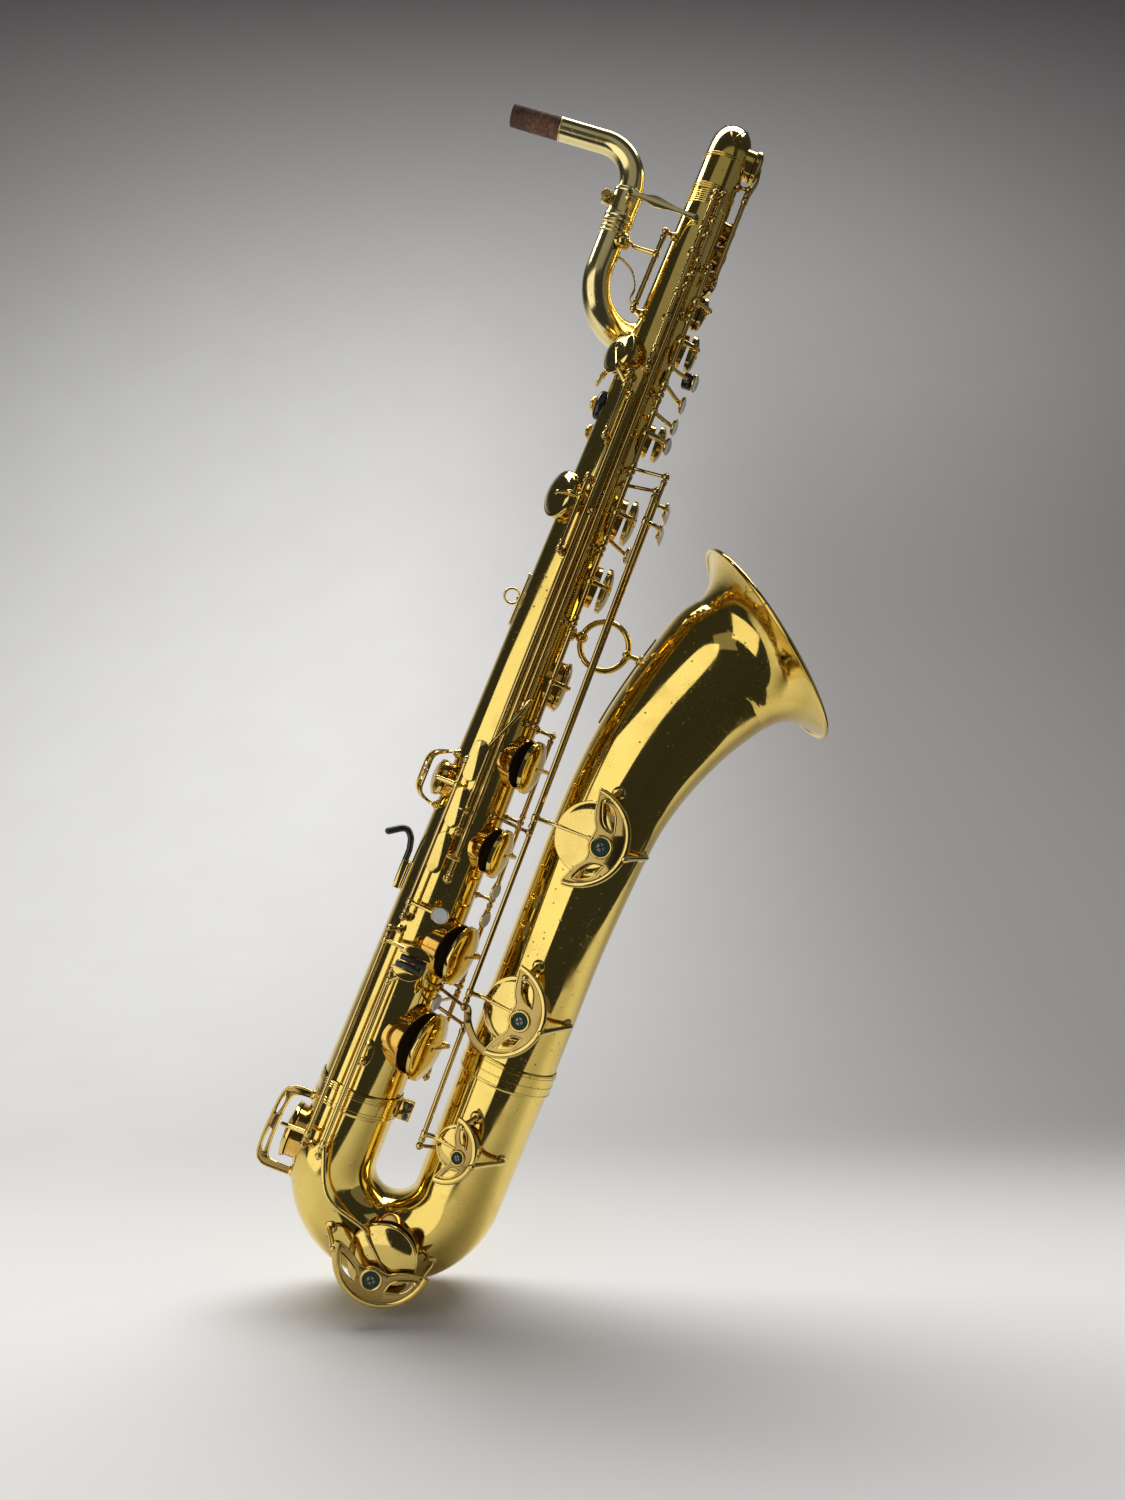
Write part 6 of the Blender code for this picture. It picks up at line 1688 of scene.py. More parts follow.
# The crescent guards' plate at full scale: the middle, radius and ends of its outer edge, its hub, its
# inner edge and its leaf openings
GUARD_PLATE_X = -0.007
GUARD_PLATE_RADIUS = 0.0405
GUARD_PLATE_FROM = 85
GUARD_PLATE_TO = -88
GUARD_PLATE_HUB = Vector((0.0125, -0.0024))
GUARD_PLATE_INNER = flat_points(
    (-6.8, -37), (-4.5, -31), (-1, -23.5), (4, -16.5), (5, -10.5), (2.6, -5.5), (2.2, -1.5),
    (3.4, 4), (3.6, 9.5), (0.4, 15.5), (-2, 23), (-3.2, 32), (-4.5, 37.5),
)
GUARD_PLATE_LEAVES = (
    flat_points((1, 31.5), (9.5, 28.5), (15, 22), (18.2, 10.5), (10.5, 13), (5.5, 19)),
    flat_points((1, -32.5), (10, -29.5), (15.5, -24), (19.5, -15), (12, -16), (6, -22.5)),
)
# Its edge as a share of its thickness, the bead along its edges, and the wide band on its outer edge
GUARD_EDGE = 0.35
GUARD_BEAD = 0.0007
GUARD_BAND = 0.0024
GUARD_BAND_RISE = GUARD_BEAD * 1.7
# The hub's ring and felt in shares of the hub's radius and height, and its screw
HUB_HEIGHT = GUARD_THICKNESS * 1.5
HUB_SECTION = ((1.12, -0.6), (1.12, 0.7), (1, 1.1), (0.84, 1), (0.76, 0.5))
HUB_FELT = ((0.76, 0.5), (0.66, 0.62), (0, 0.62))
HUB_SOFT_EDGE = 0.0008
HUB_SCREW = 0.42
HUB_SCREW_TURN = 35
# A guard's leg: its width in its middle and how much it gains at its ends, the knob where it meets the
# plate, and its foot on the tube
LEG_WIDTH = 1.05
LEG_GAIN = 0.6
LEG_KNOB = 1.65
LEG_FOOT = ((0, 0.0022), (0.003, 0.002), (0.0052, 0.0008), (0.0054, -0.0008))
# The felt's lower end: a share of its radius, and the height of its rounded edge
FELT_END = 0.85
FELT_ROUND = 0.0005
# The openwork plate behind low E flat: its two edges from the body to the bow, its leaf openings and feet
E_FLAT_PLATE_OUTER = flat_points(
    (-45.6, 123), (-54.1, 120), (-58.6, 112), (-60.6, 90), (-61, 70), (-59.4, 59.2), (-54.1, 54.2),
    (-47.1, 53.2),
)
E_FLAT_PLATE_INNER = flat_points(
    (-46, 58.8), (-51.2, 62.2), (-53, 75), (-52.8, 90), (-52, 105), (-49.4, 114.2), (-44, 117.4)
)
E_FLAT_PLATE_LEAVES = (
    flat_points((-55.4, 115), (-57.8, 108), (-58.6, 98), (-56.2, 96), (-54.2, 102), (-53.6, 109)),
    flat_points((-58.2, 84), (-59.2, 72), (-57.8, 64), (-55.2, 65), (-54.8, 74), (-55.4, 83)),
)
E_FLAT_PLATE_TOP = (0.1228, 0.1184)
E_FLAT_PLATE_BOTTOM = (0.0536, 0.0584)
E_FLAT_OUTER_BEAD = GUARD_BEAD * 1.4
E_FLAT_FOOT = ((0, 0.003), (0.0026, 0.0028), (0.0046, 0.001), (0.0048, -0.0008))
# The strap from the low B guard's lower tip back to the key's lower post: points on the guard's plate,
# then points off the post, and its width in bead widths
LOW_B_STRAP = flat_points((-5, -38.5), (-18, -33.5), (-28.5, -23.5))
LOW_B_STRAP_END = (Vector((0.0035, -0.0085, 0.0005)), Vector((0.0005, -0.003, 0.0005)))
LOW_B_STRAP_WIDTH = 4.6
# The trill cup's guard: a strap with two leaf openings, bent down at its ends over the cup; half of its
# edge, one leaf, the hole in its middle and its feet
TRILL_ARCH_HALF = 0.0225
TRILL_ARCH_DROP = 0.0172
TRILL_ARCH_POWER = 6
TRILL_ARCH_CUTS = 15
TRILL_ARCH_RISE = 0.0024
TRILL_ARCH_HOLE = 0.0024
TRILL_ARCH_EDGE = flat_points(
    (22.2, 0), (19.8, 5), (11, 8.2), (0, 9.2), (-11, 8.2), (-19.8, 5), (-22.2, 0)
)
TRILL_ARCH_LEAF = flat_points((5.2, 0), (8.2, 4.4), (14, 4.4), (18.4, 0), (14, -4.4), (8.2, -4.4))
TRILL_FOOT = ((0, 0.0036), (0.0024, 0.0034), (0.0028, 0.0018), (0.0046, 0.0008), (0.0048, -0.0008))
# Angle of each upper rod and the heights of its posts, and where a collar sits between two posts
UPPER_RODS = ((-83, 0.768, 0.812, 0.868, 0.918), (-69, 0.852, 0.886, 0.919))
UPPER_ROD_COLLAR = 0.35
# The oval plate under the little finger's rods: its place, half sizes, edge and its two knobs
ROD_SADDLE_Z = 0.178
ROD_SADDLE_ANGLE = -99
ROD_SADDLE_LIFT = 0.0003
ROD_SADDLE = Vector((0.012, 0.0062, 0.0014))
ROD_SADDLE_BEVEL = 0.0005
ROD_SADDLE_KNOB = ((0, 0.0034), (0.0016, 0.003), (0.0024, 0.0016), (0.0032, 0.0004))
ROD_SADDLE_KNOB_REACH = 0.55
# Turns a flat plate so that it stands up along a tube
UPRIGHT = Matrix.Rotation(math.radians(90), 4, "Y")
STRAP_PLATE_CORNER = 0.48
STRAP_PLATE_BEVEL = 0.0005
STRAP_FOOT = ((0, 0.002), (0.0016, 0.0018), (0.003, 0.0002), (0.003, -0.0004))
HOOK_PLATE_CORNER = 0.3
HOOK_PLATE_BEVEL = 0.0004
HOOK_CHEEK_BEVEL = 0.0003
HOOK_THICKEST = 0.003
# The thumb rest's section in shares of its radius and height, and the height of its lower edge
THUMB_REST_SECTION = ((0, 1), (0.45, 0.97), (0.75, 0.85), (0.95, 0.58), (1, 0.3))
THUMB_REST_LOW = -0.001
THUMB_REST_SOFT_EDGE = 0.001
# The bell's brace: its ring's wire, the stub's width at its foot and ball in wires, its feet in shares of
# their radius and thickness, and the strip on the bell under it
BRACE_RING_WIRE = BRACE_WIRE * 1.2
BRACE_STUB = (1.15, 0.9)
BRACE_FOOT_SECTION = ((0, 1.6), (0.5, 1.3), (0.92, 0.8), (1, 0.3), (1, -0.6))
BRACE_FOOT_SOFT_EDGE = 0.0006
BELL_STRIP = (0.487, 0.572)
BELL_STRIP_HALF = 0.005


def bell_surface(z, angle):
    for (x0, z0, r0), (x1, z1, r1) in zip(BELL_STATIONS, BELL_STATIONS[1:]):
        if z0 <= z <= z1:
            share = (z - z0) / (z1 - z0)
            axis = Vector((BELL_LEG_X + x0 + (x1 - x0) * share, 0, z))
            normal = around(angle)
            return axis + normal * (r0 + (r1 - r0) * share), normal


def bell_leg_surface(z, angle):
    normal = around(angle)
    return Vector((BELL_LEG_X, 0, z)) + normal * bow_radius_at(Vector((BELL_LEG_X, 0, z))), normal


def bow_surface(bend_angle, offset):
    """A point on the bow's near side: bend_angle round the bend, offset outwards from its axis."""
    out = Vector((math.cos(math.radians(bend_angle)), 0, math.sin(math.radians(bend_angle))))
    axis = Vector((BOW_BEND_RADIUS, 0, BOW_BEND_Z)) + out * BOW_BEND_RADIUS
    radius = bow_radius_at(axis)
    base = axis + out * offset - Vector((0, math.sqrt(radius**2 - offset**2), 0))
    return base, (base - axis).normalized()


def guard_outline(scale):
    """A broad crescent over half the cup, with its two leaf openings."""

    def rim(angle, radius):
        return Vector((GUARD_PLATE_X, 0)) * scale + around(angle).xy * (radius * scale)

    turns = [GUARD_PLATE_FROM + (GUARD_PLATE_TO - GUARD_PLATE_FROM) * step / 40 for step in range(41)]
    band = [rim(angle, GUARD_PLATE_RADIUS - GUARD_BAND) for angle in turns]
    edge = [rim(angle, GUARD_PLATE_RADIUS) for angle in turns]
    edge += smooth_path([spot * scale for spot in GUARD_PLATE_INNER], 6)
    leaves = []
    for leaf in GUARD_PLATE_LEAVES:
        marks = [spot * scale for spot in leaf]
        half = len(marks) // 2
        sides = (marks[: half + 1], [*marks[half:], marks[0]])
        leaves.append([spot for side in sides for spot in smooth_path(side, 6)[:-1]])
    return [edge, *leaves], band, GUARD_PLATE_HUB * scale


def raised(place, line, height):
    """The points of a flat line, at a height over the place."""
    return [place @ Vector((*spot, height)) for spot in line]


def add_foot(piece, base, out, profile, soft=BROAD_EDGE, steps=28):
    """A small turned foot, standing out from base."""
    piece.turn(BRASS_KEY, rounded(profile, soft, 2), frame_on(base, out), steps)


def guard_legs(name):
    """Where each leg of a crescent guard meets its plate, and its foot on the tube."""
    if name == "low_c":
        return zip((GUARD_UPPER_TIP, GUARD_LOWER_TIP), (bow_surface(*foot) for foot in LOW_C_GUARD_FEET))
    if name in BELL_HOLES:
        middle, surface = BELL_HOLES[name][0], bell_surface
    else:
        middle, surface = C_SHARP_HOLE_Z, bell_leg_surface
    feet = [surface(middle + above, angle) for above, angle in GUARD_FEET[name]]
    return zip((GUARD_UPPER_TIP, GUARD_FAR_SIDE), feet)


def make_guard(name, scale, height, turn, opened):
    """A crescent guard on its legs, and the felt bumper screwed through its hub."""
    rim, normal, *_ = seats[name]
    place = frame_on(rim + normal * height, normal) @ Matrix.Rotation(math.radians(turn), 4, "Z")
    outlines, band, hub = guard_outline(scale)
    piece = Piece(name + "_guard", "body", "guard_" + name)
    piece.cut(BRASS_DARK, outlines, GUARD_THICKNESS, place, GUARD_THICKNESS * GUARD_EDGE)
    face = GUARD_THICKNESS / 2
    rail = raised(place, band, face)
    piece.bend(BRASS_KEY, rail, GUARD_BAND_RISE, 12, GUARD_BAND / GUARD_BAND_RISE, normal)
    edge, *leaves = outlines
    inner = raised(place, (*edge[len(band) - 1 :], edge[0]), face)
    piece.bend(BRASS_KEY, inner, GUARD_BEAD, 8)
    for leaf in leaves:
        piece.bend(BRASS_KEY, raised(place, leaf, face), GUARD_BEAD, 8, closed=True)
    radius = GUARD_HUB_RADIUS * scale
    seat_frame = place @ Matrix.Translation((hub.x, hub.y, 0))
    ring = rounded(section(HUB_SECTION, radius, HUB_HEIGHT), HUB_SOFT_EDGE, 3)
    piece.turn(BRASS_KEY, ring, seat_frame, 40)
    disc = section(HUB_FELT, radius, HUB_HEIGHT)
    piece.turn(FELT, disc, seat_frame, 32)
    head = seat_frame @ Matrix.Translation((0, 0, disc[-1][1]))
    head = head @ Matrix.Rotation(math.radians(HUB_SCREW_TURN), 4, "Z")
    add_screw(piece, head, radius * HUB_SCREW, HUB_HEIGHT * HUB_SCREW, cross=True)
    for (x, y), (base, out) in guard_legs(name):
        tip = place @ Vector((x * scale, y * scale, 0))
        knee = base + out * GUARD_FOOT
        path = smooth_path([base, knee, (knee + tip) / 2, tip], 6)
        last = len(path) - 1
        shares = [abs(2 * step / last - 1) for step in range(last + 1)]
        widths = [GUARD_LEG_RADIUS * (LEG_WIDTH + LEG_GAIN * share**2) for share in shares]
        piece.bend(BRASS_KEY, path, widths, 16)
        piece.add(ball(tip, GUARD_LEG_RADIUS * LEG_KNOB, 20), BRASS_KEY)
        add_foot(piece, base, out, LEG_FOOT)
    piece.done()
    felt = Piece(name + "_felt", "body", "bumper_" + name, slot="felt")
    start = opened - height
    stop = -(GUARD_THICKNESS + WALL) / 2 - GAP
    radius = BUMPER_RADIUS * scale
    profile = [(0, start), (radius * FELT_END, start), (radius, start + FELT_ROUND)]
    profile += [(radius, stop), (0, stop)]
    felt.turn(FELT, rounded(profile, SOFT_EDGE, 2), seat_frame, 32)
    felt.done()


def make_low_b_strap():
    rim, normal, *_ = seats["low_b"]
    scale, height, *_ = GUARDS["low_b"]
    place = frame_on(rim + normal * height, normal)
    spots = raised(place, [spot * scale for spot in LOW_B_STRAP], 0)
    spots += [LOW_B_HINGE[0] + shift for shift in LOW_B_STRAP_END]
    piece = Piece("low_b_guard_strap", "body")
    piece.bend(BRASS_DARK, smooth_path(spots, 8), GUARD_BEAD, 14, LOW_B_STRAP_WIDTH, normal)
    piece.done()


def make_e_flat_guard():
    """The openwork plate behind low E flat, from the body to the bow."""
    piece = Piece("e_flat_guard", "body", "guard_low_e_flat")
    bend_outside = BOW_BEND_RADIUS + bow_radius_at(Vector((0, 0, E_FLAT_GUARD_BOTTOM)))
    drop = BOW_BEND_Z - E_FLAT_GUARD_BOTTOM
    bottom_x = BOW_BEND_RADIUS - math.sqrt(bend_outside**2 - drop**2)
    place = frame_on(Vector((0, 0, 0)), FRONT)
    tops = [Vector((-BODY_BOTTOM_RADIUS, z)) for z in E_FLAT_PLATE_TOP]
    bottoms = [Vector((bottom_x, z)) for z in E_FLAT_PLATE_BOTTOM]
    outer = smooth_path([tops[0], *E_FLAT_PLATE_OUTER, bottoms[0]], 6)
    inner = smooth_path([bottoms[1], *E_FLAT_PLATE_INNER, tops[1]], 6)
    leaves = [loop_through(leaf) for leaf in E_FLAT_PLATE_LEAVES]
    outlines = [[*outer, *inner], *leaves]
    piece.cut(BRASS_DARK, outlines, GUARD_LEG_RADIUS, place, GUARD_LEG_RADIUS / 4)
    face = GUARD_LEG_RADIUS / 2
    piece.bend(BRASS_KEY, raised(place, outer, face), E_FLAT_OUTER_BEAD, 10)
    piece.bend(BRASS_KEY, raised(place, inner, face), GUARD_BEAD, 8)
    for leaf in leaves:
        piece.bend(BRASS_KEY, raised(place, leaf, face), GUARD_BEAD, 8, closed=True)
    add_foot(piece, Vector((-BODY_BOTTOM_RADIUS, 0, E_FLAT_GUARD_TOP)), LEFT, E_FLAT_FOOT)
    out = Vector((bottom_x - BOW_BEND_RADIUS, 0, -drop))
    add_foot(piece, Vector((bottom_x, 0, E_FLAT_GUARD_BOTTOM)), out, E_FLAT_FOOT)
    piece.done()


def arched(spot):
    """A point of the trill guard's flat strap, bent down towards the strap's ends."""
    share = abs(spot.x) / TRILL_ARCH_HALF
    bent = Vector((spot.x, spot.y, -TRILL_ARCH_DROP * share**TRILL_ARCH_POWER))
    slope = TRILL_ARCH_POWER * TRILL_ARCH_DROP / TRILL_ARCH_HALF * share ** (TRILL_ARCH_POWER - 1)
    return bent + Vector((math.copysign(slope, spot.x), 0, 1)).normalized() * spot.z


def make_trill_guard():
    piece = Piece("trill_guard", "body", "guard_trill")
    rim, normal, *_ = seats["trill"]
    centre = rim + normal * (TRILL_GUARD_HEIGHT + TRILL_ARCH_RISE)
    place = frame_on(centre, normal, UP)
    half = smooth_path(TRILL_ARCH_EDGE, 6)
    edge = [*half, *(-spot for spot in half[1:-1])]
    leaf = loop_through(TRILL_ARCH_LEAF)
    hole = [around(18 * step).xy * TRILL_ARCH_HOLE for step in range(20)]
    outlines = [edge, leaf, [-spot for spot in leaf], hole]
    shape = plate(outlines, GUARD_LEG_RADIUS, Matrix.Identity(4), GUARD_LEG_RADIUS / 4)
    for step in range(1 - TRILL_ARCH_CUTS, TRILL_ARCH_CUTS):
        cut = RIGHT * (step / TRILL_ARCH_CUTS * TRILL_ARCH_HALF)
        geom = shape.verts[:] + shape.edges[:] + shape.faces[:]
        bmesh.ops.bisect_plane(shape, geom=geom, plane_co=cut, plane_no=RIGHT)
    for vert in shape.verts:
        vert.co = place @ arched(vert.co)
    piece.add(shape, BRASS_DARK)
    for line in outlines:
        rail = [place @ arched(Vector((*spot, GUARD_LEG_RADIUS / 2))) for spot in line]
        piece.bend(BRASS_KEY, rail, GUARD_BEAD, 8, closed=True)
    for way in (1, -1):
        base = on_body(centre.z + way * TRILL_ARCH_HALF, BODY_HOLES["trill"][1])
        add_foot(piece, base, normal, TRILL_FOOT, MID_EDGE)
    piece.done()


def make_steadying_rods():
    """The long rods' upper ends, which run on up the body between posts."""
    piece = Piece("upper_rods", "body")
    for angle, *stops in UPPER_RODS:
        tops = [on_body(z, angle, SIDE_HEIGHT) for z in stops]
        for z, top in zip(stops, tops):
            add_post(piece, on_body(z, angle), top, UP, BRASS_ROD)
        add_hinge_tube(piece, (tops[0], tops[-1]))
        for low, high in zip(tops, tops[1:]):
            add_saddle(piece, (low, high), low.lerp(high, UPPER_ROD_COLLAR))
    piece.done()


def make_rod_saddle():
    """The oval plate on the body that steadies the little finger's long rods."""
    piece = Piece("rod_saddle", "body")
    facing = around(ROD_SADDLE_ANGLE)
    place = frame_on(on_body(ROD_SADDLE_Z, ROD_SADDLE_ANGLE, ROD_SADDLE_LIFT), facing, UP)
    oval = [around(12 * step) for step in range(30)]
    outline = [(spot.x * ROD_SADDLE.x, spot.y * ROD_SADDLE.y) for spot in oval]
    piece.cut(BRASS_KEY, [outline], ROD_SADDLE.z, place, ROD_SADDLE_BEVEL)
    knob = rounded(ROD_SADDLE_KNOB, MID_EDGE, 2)
    for way in (1, -1):
        spot = place @ Matrix.Translation((way * ROD_SADDLE.x * ROD_SADDLE_KNOB_REACH, 0, 0))
        piece.turn(BRASS_KEY, knob, spot, 24)
    piece.done()


def back_frame(z, height):
    """A frame on the back of the body: Z up along it, X outwards."""
    along = on_body(BODY_TOP_Z, 180) - on_body(BODY_BOTTOM_Z, 180)
    return frame_on(on_body(z, 180, height), along, LEFT)


def add_back_plate(piece, z, size, corner, bevel):
    """A plate with round corners on the back of the body."""
    place = back_frame(z, GAP + size.x / 2) @ UPRIGHT
    outline = round_box(size.z, size.y, size.y * corner)
    piece.cut(BRASS_KEY, [outline], size.x, place, bevel)


def make_strap_ring():
    piece = Piece("strap_ring_loop", "body", "strap_ring")
    add_back_plate(piece, STRAP_Z, STRAP_PLATE, STRAP_PLATE_CORNER, STRAP_PLATE_BEVEL)
    add_band(piece, HANG_POINT, BACK, STRAP_RING_RADIUS, STRAP_WIRE, BRASS_KEY, 14)
    base = on_body(STRAP_Z, 180, GAP + STRAP_PLATE.x)
    add_foot(piece, base, LEFT, STRAP_FOOT, steps=24)
    piece.done()


def make_thumb_hook():
    piece = Piece("hook_saddle", "body", "thumb_hook_plate")
    add_back_plate(piece, HOOK_Z, HOOK_PLATE, HOOK_PLATE_CORNER, HOOK_PLATE_BEVEL)
    for side in (-1, 1):
        shift = Vector((0, side * (HOOK_WIRE + GAP + WALL / 2), 0))
        spot = back_frame(HOOK_Z, GAP + HOOK_PLATE.x + HOOK_WIRE - WALL / 2)
        size = (2 * HOOK_WIRE, WALL, HOOK_PLATE.z)
        piece.add(block(size, Matrix.Translation(shift) @ spot, HOOK_CHEEK_BEVEL), BRASS_KEY)
    piece.done()
    hook = Piece("hook_bar", "thumb_hook", "thumb_hook", slot="black_resin")
    foot = on_body(HOOK_Z - HOOK_PLATE.z / 3, 180, GAP * 2 + HOOK_PLATE.x + HOOK_WIRE)
    rise = foot + UP * (HOOK_RISE * HOOK_BEND_SHARE)
    crest = foot + Vector((-HOOK_REACH * HOOK_CREST_REACH_SHARE, 0, HOOK_RISE * HOOK_CREST_SHARE))
    tip = foot + Vector((-HOOK_REACH, 0, HOOK_RISE * HOOK_TIP_SHARE))
    shoulder = (rise + crest) / 2 + HOOK_SHOULDER
    path = [foot, *smooth_path([rise, shoulder, crest, tip], 8)]
    widths = [HOOK_WIRE, *taper(HOOK_WIRE, HOOK_THICKEST, len(path) - 1)]
    hook.bend(RESIN, path, widths, 24)
    hook.add(ball(tip, HOOK_THICKEST, 24), RESIN)
    hook.done()


def make_thumb_rest():
    piece = Piece("thumb_rest_pad", "body", "thumb_rest", slot="black_resin")
    stretch = Matrix.Diagonal((THUMB_REST_STRETCH, 1, 1, 1))
    place = frame_on(on_body(THUMB_REST_Z, 180, GAP), LEFT, UP) @ stretch
    profile = section(THUMB_REST_SECTION, THUMB_REST_RADIUS, THUMB_REST_HEIGHT)
    profile.append((THUMB_REST_RADIUS, THUMB_REST_LOW))
    piece.turn(RESIN, rounded(profile, THUMB_REST_SOFT_EDGE, 3), place, 48)
    piece.done()


def make_bell_brace():
    """A ring between the body and the bell, with a ball and a screwed foot at each side."""
    piece = Piece("bell_ring_brace", "body", "bell_brace")
    body_side = body_radius(BRACE_Z)
    left = body_side + GAP + BRACE_FOOT_THICKNESS + BRACE_BALL
    points, radii, _ = bell_line()
    skin = []
    for before, spot, after, radius in zip(points, points[1:], points[2:], radii[1:]):
        along = (after - before).normalized()
        normal = Vector((-along.z, 0, along.x))
        skin.append((spot + normal * radius, normal))
    base, normal = min(skin, key=lambda item: abs(item[0].z - BRACE_Z))
    ring_radius = (base.x - BRACE_BELL_STUB - left) / 2
    centre = Vector((left + ring_radius, 0, BRACE_Z))
    add_band(piece, centre, BACK, ring_radius, BRACE_RING_WIRE, BRASS_KEY, 16)
    ends = (
        (Vector((body_side, 0, BRACE_Z)), RIGHT, Vector((left, 0, BRACE_Z)), BRACE_BALL),
        (base, normal, Vector((left + 2 * ring_radius, 0, BRACE_Z)), BRACE_BELL_BALL),
    )
    strip = [spot for spot, _ in skin if BELL_STRIP[0] < spot.z < BELL_STRIP[1]]
    piece.bend(BRASS_KEY, strip, BELL_STRIP_HALF, 14, STRAP_FLATNESS, BACK)
    for foot, way, knob, size in ends:
        piece.add(ball(knob, size, 28), BRASS_KEY)
        piece.bend(BRASS_KEY, [foot, knob], [BRACE_WIRE * share for share in BRACE_STUB], 16)
        profile = section(BRACE_FOOT_SECTION, BRACE_FOOT_RADIUS, BRACE_FOOT_THICKNESS)
        profile = rounded(profile, BRACE_FOOT_SOFT_EDGE, 3)
        piece.turn(BRASS_KEY, profile, frame_on(foot, way), 36)
    piece.done()


for name, sizes in GUARDS.items():
    make_guard(name, *sizes)
make_low_b_strap()
make_steadying_rods()
make_rod_saddle()
make_e_flat_guard()
make_trill_guard()
make_strap_ring()
make_thumb_hook()
make_thumb_rest()
make_bell_brace()


# Camera: level with the middle of the body, which leans in the picture
CAMERA_SPOT = Vector((0.052, -0.984, 0.4586))
CAMERA_LENS = 28.8
PICTURE_LEAN = math.radians(21.5)
# Height of the floor, in the leaning picture's upright, just under the bow
FLOOR = -0.034
# The paper's front edge, and its right edge, which opens out just outside the picture
FLOOR_FRONT = -0.36
FLOOR_RIGHT = 0.745
FLOOR_SPREAD = 0.475
FLOOR_REACH = 5.0
# How far the wide floor lies under the paper, and its wall behind the paper's
FLOOR_STEP = 0.00004
WALL_STEP = 0.002
WALL_BACK = 3.4
WALL_TOP = 5.0
BEND = 2.9
up_way = Vector((-math.sin(PICTURE_LEAN), 0, math.cos(PICTURE_LEAN)))
right_way = Vector((math.cos(PICTURE_LEAN), 0, math.sin(PICTURE_LEAN)))
back_way = Vector((0, 1, 0))
turned_frame = Matrix((right_way, back_way, up_way)).transposed().to_4x4()


def make_camera():
    lens = bpy.data.cameras.new("camera")
    lens.lens = CAMERA_LENS
    lens.sensor_width = 36
    lens.clip_start = 0.05
    camera = bpy.data.objects.new("camera", lens)
    axes = Matrix((right_way, up_way, -back_way)).transposed().to_4x4()
    camera.matrix_world = Matrix.Translation(CAMERA_SPOT - HANG_POINT) @ axes
    bpy.context.scene.collection.objects.link(camera)
    bpy.context.scene.camera = camera


def paper_finish():
    finish = Finish("backdrop_paper")
    grain = finish.noise(6, 3.0)
    height = finish.along(up_way)
    colour = finish.mix(grain, (0.62, 0.615, 0.605, 1), (0.58, 0.572, 0.56, 1))
    # Painted shade: the paper is darker towards the top of the wall.
    colour = finish.mix(finish.between(height, 0.9, 2.7), colour, (0.46, 0.445, 0.44, 1))
    depth = finish.node("ShaderNodeSeparateXYZ", inputs={"Vector": finish.place}, out="Y")
    # Painted shade: the paper is darker on the right, except in front, and the darkening fades out higher
    # up the wall.
    side = finish.along(right_way)
    shade = finish.between(side, -0.6, 0.9) * finish.between(depth, -0.1, 0.5)
    shade = shade * finish.between(height, 2.4, 0.2)
    colour = finish.mix(shade, colour, (0.245, 0.232, 0.222, 1))
    # Painted light: the floor in front is paler than the rest of the paper.
    colour = finish.mix(finish.between(depth, 0.4, -0.1), colour, (0.8, 0.79, 0.775, 1))
    return finish.done(Base_Color=colour, Roughness=0.85 + grain * 0.1)


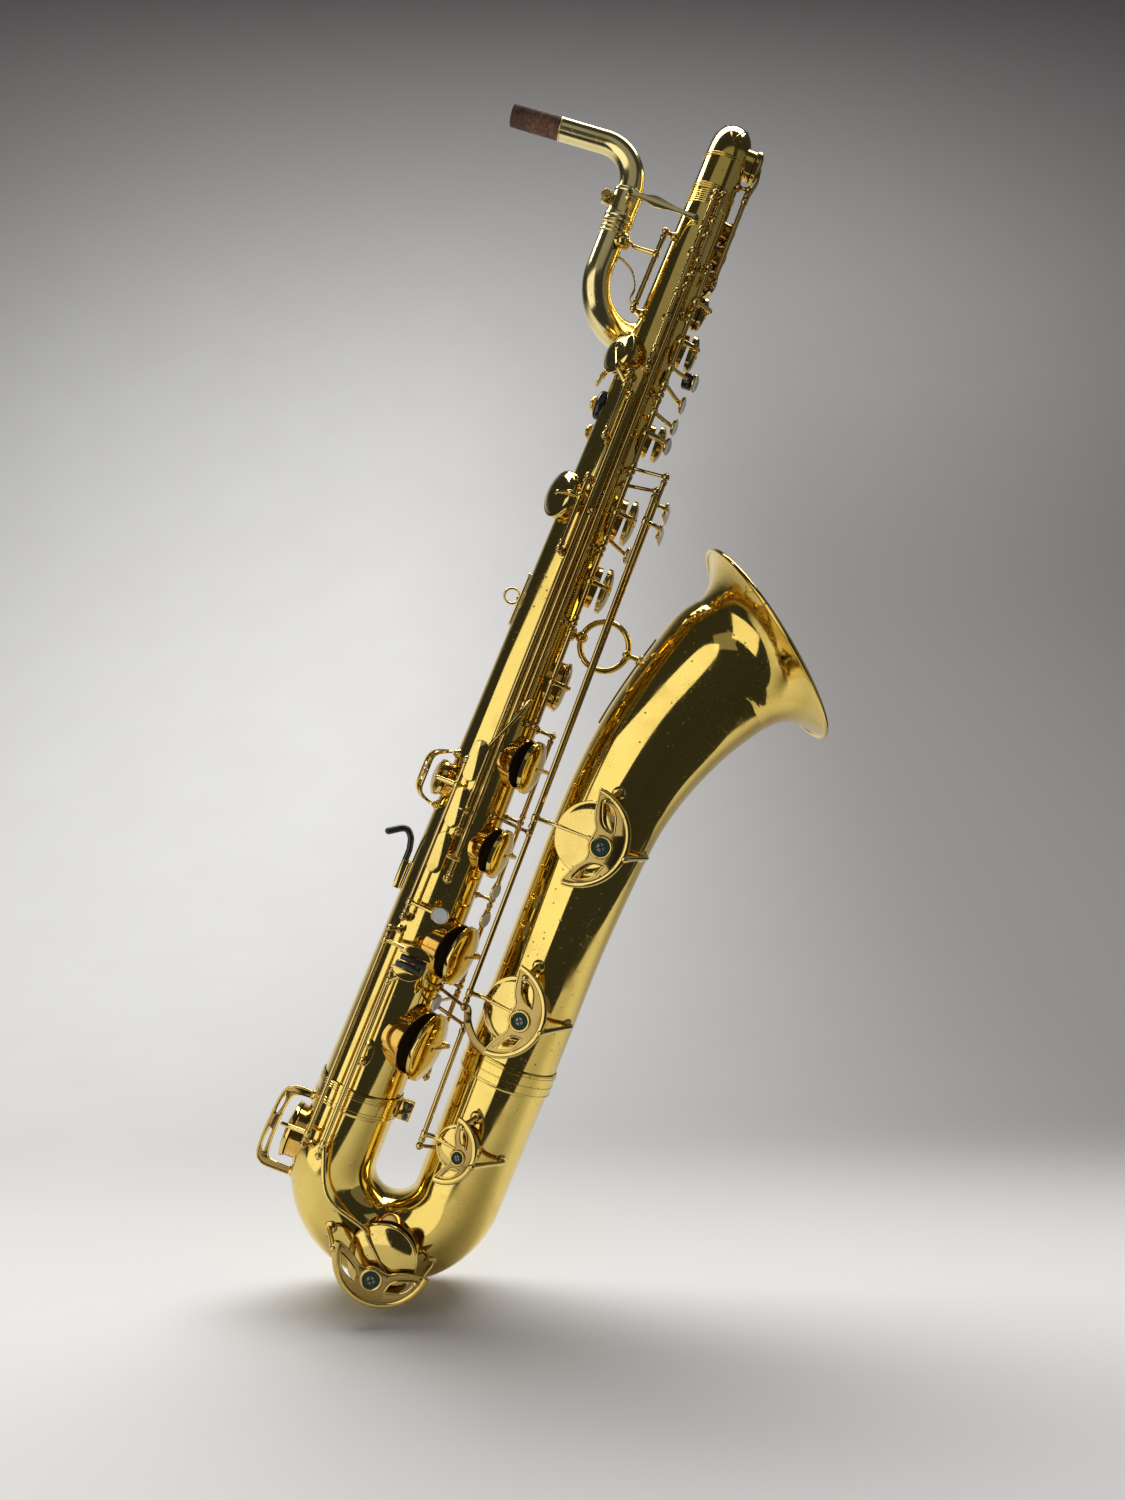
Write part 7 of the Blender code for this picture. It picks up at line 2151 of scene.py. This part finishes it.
def make_floor(name, paper, level, back, front, right, spread):
    """A seamless sweep: floor, a broad bend and a wall behind. Its right edge opens out by spread."""
    profile = [(front, level)]
    for step in range(33):
        turn = math.pi / 2 * step / 32
        profile.append((back - BEND + BEND * math.sin(turn), level + BEND - BEND * math.cos(turn)))
    profile.append((back, WALL_TOP))
    shape = bmesh.new()
    verts = [shape.verts.new((-FLOOR_REACH, y, z)) for y, z in profile]
    edges = [shape.edges.new(pair) for pair in zip(verts, verts[1:])]
    made = bmesh.ops.extrude_edge_only(shape, edges=edges)["geom"]
    for item in made:
        if isinstance(item, bmesh.types.BMVert):
            item.co.x = right + spread * item.co.y
    bmesh.ops.recalc_face_normals(shape, faces=shape.faces)
    for face in shape.faces:
        face.smooth = True
    shape.transform(Matrix.Translation(-HANG_POINT) @ turned_frame)
    mesh = bpy.data.meshes.new(name)
    shape.to_mesh(mesh)
    shape.free()
    mesh.materials.append(paper)
    item = bpy.data.objects.new(name, mesh)
    bpy.context.scene.collection.objects.link(item)
    return item


def make_floors():
    """The paper in the picture, and a wider floor just under it that the brass doesn't mirror."""
    paper = paper_finish()
    make_floor("backdrop", paper, FLOOR, WALL_BACK, FLOOR_FRONT, FLOOR_RIGHT, FLOOR_SPREAD)
    low, back = FLOOR - FLOOR_STEP, WALL_BACK + WALL_STEP
    wide = make_floor("wide_floor", paper, low, back, -FLOOR_REACH, FLOOR_REACH, 0)
    wide.visible_glossy = False


def make_lamp(name, spot, aim, size, power, tint=(1, 1, 1)):
    """A soft panel at spot, in the picture's right, back and up directions, facing aim."""
    lamp = bpy.data.lights.new(name, "AREA")
    lamp.shape = "RECTANGLE"
    lamp.size, lamp.size_y = size
    lamp.energy = power
    lamp.color = tint
    item = bpy.data.objects.new(name, lamp)
    start = turned_frame @ Vector(spot)
    way = turned_frame @ Vector(aim) - start
    item.matrix_world = Matrix.Translation(-HANG_POINT) @ frame_on(start, -way, right_way)
    bpy.context.scene.collection.objects.link(item)


def make_light():
    world = bpy.data.worlds.new("studio")
    world.use_nodes = True
    sky = world.node_tree.nodes["Background"]
    sky.inputs["Color"].default_value = (0.8, 0.84, 0.9, 1)
    sky.inputs["Strength"].default_value = 0.05
    bpy.context.scene.world = world
    bpy.context.scene.view_settings.view_transform = "Standard"
    bpy.context.scene.view_settings.exposure = -0.3
    make_lamp("window", (-1.23, -1.32, 0.6), (0.05, 0, 0.5), (2.1, 2.0), 19, (1, 0.985, 0.95))
    make_lamp("side_panel", (1.8, -0.2, 0.55), (0.05, 0, 0.5), (2.0, 2.0), 2, (1, 0.98, 0.95))
    make_lamp("upper_panel", (0.35, -2.0, 1.95), (0.15, 0, 0.85), (2.6, 1.3), 3.2, (1, 0.97, 0.92))
    make_lamp("backdrop_lamp", (0, 0.9, 2.7), (0, 1.5, 0), (3.4, 1.2), 130)


make_camera()
make_floors()
make_light()

bpy.context.view_layer.update()
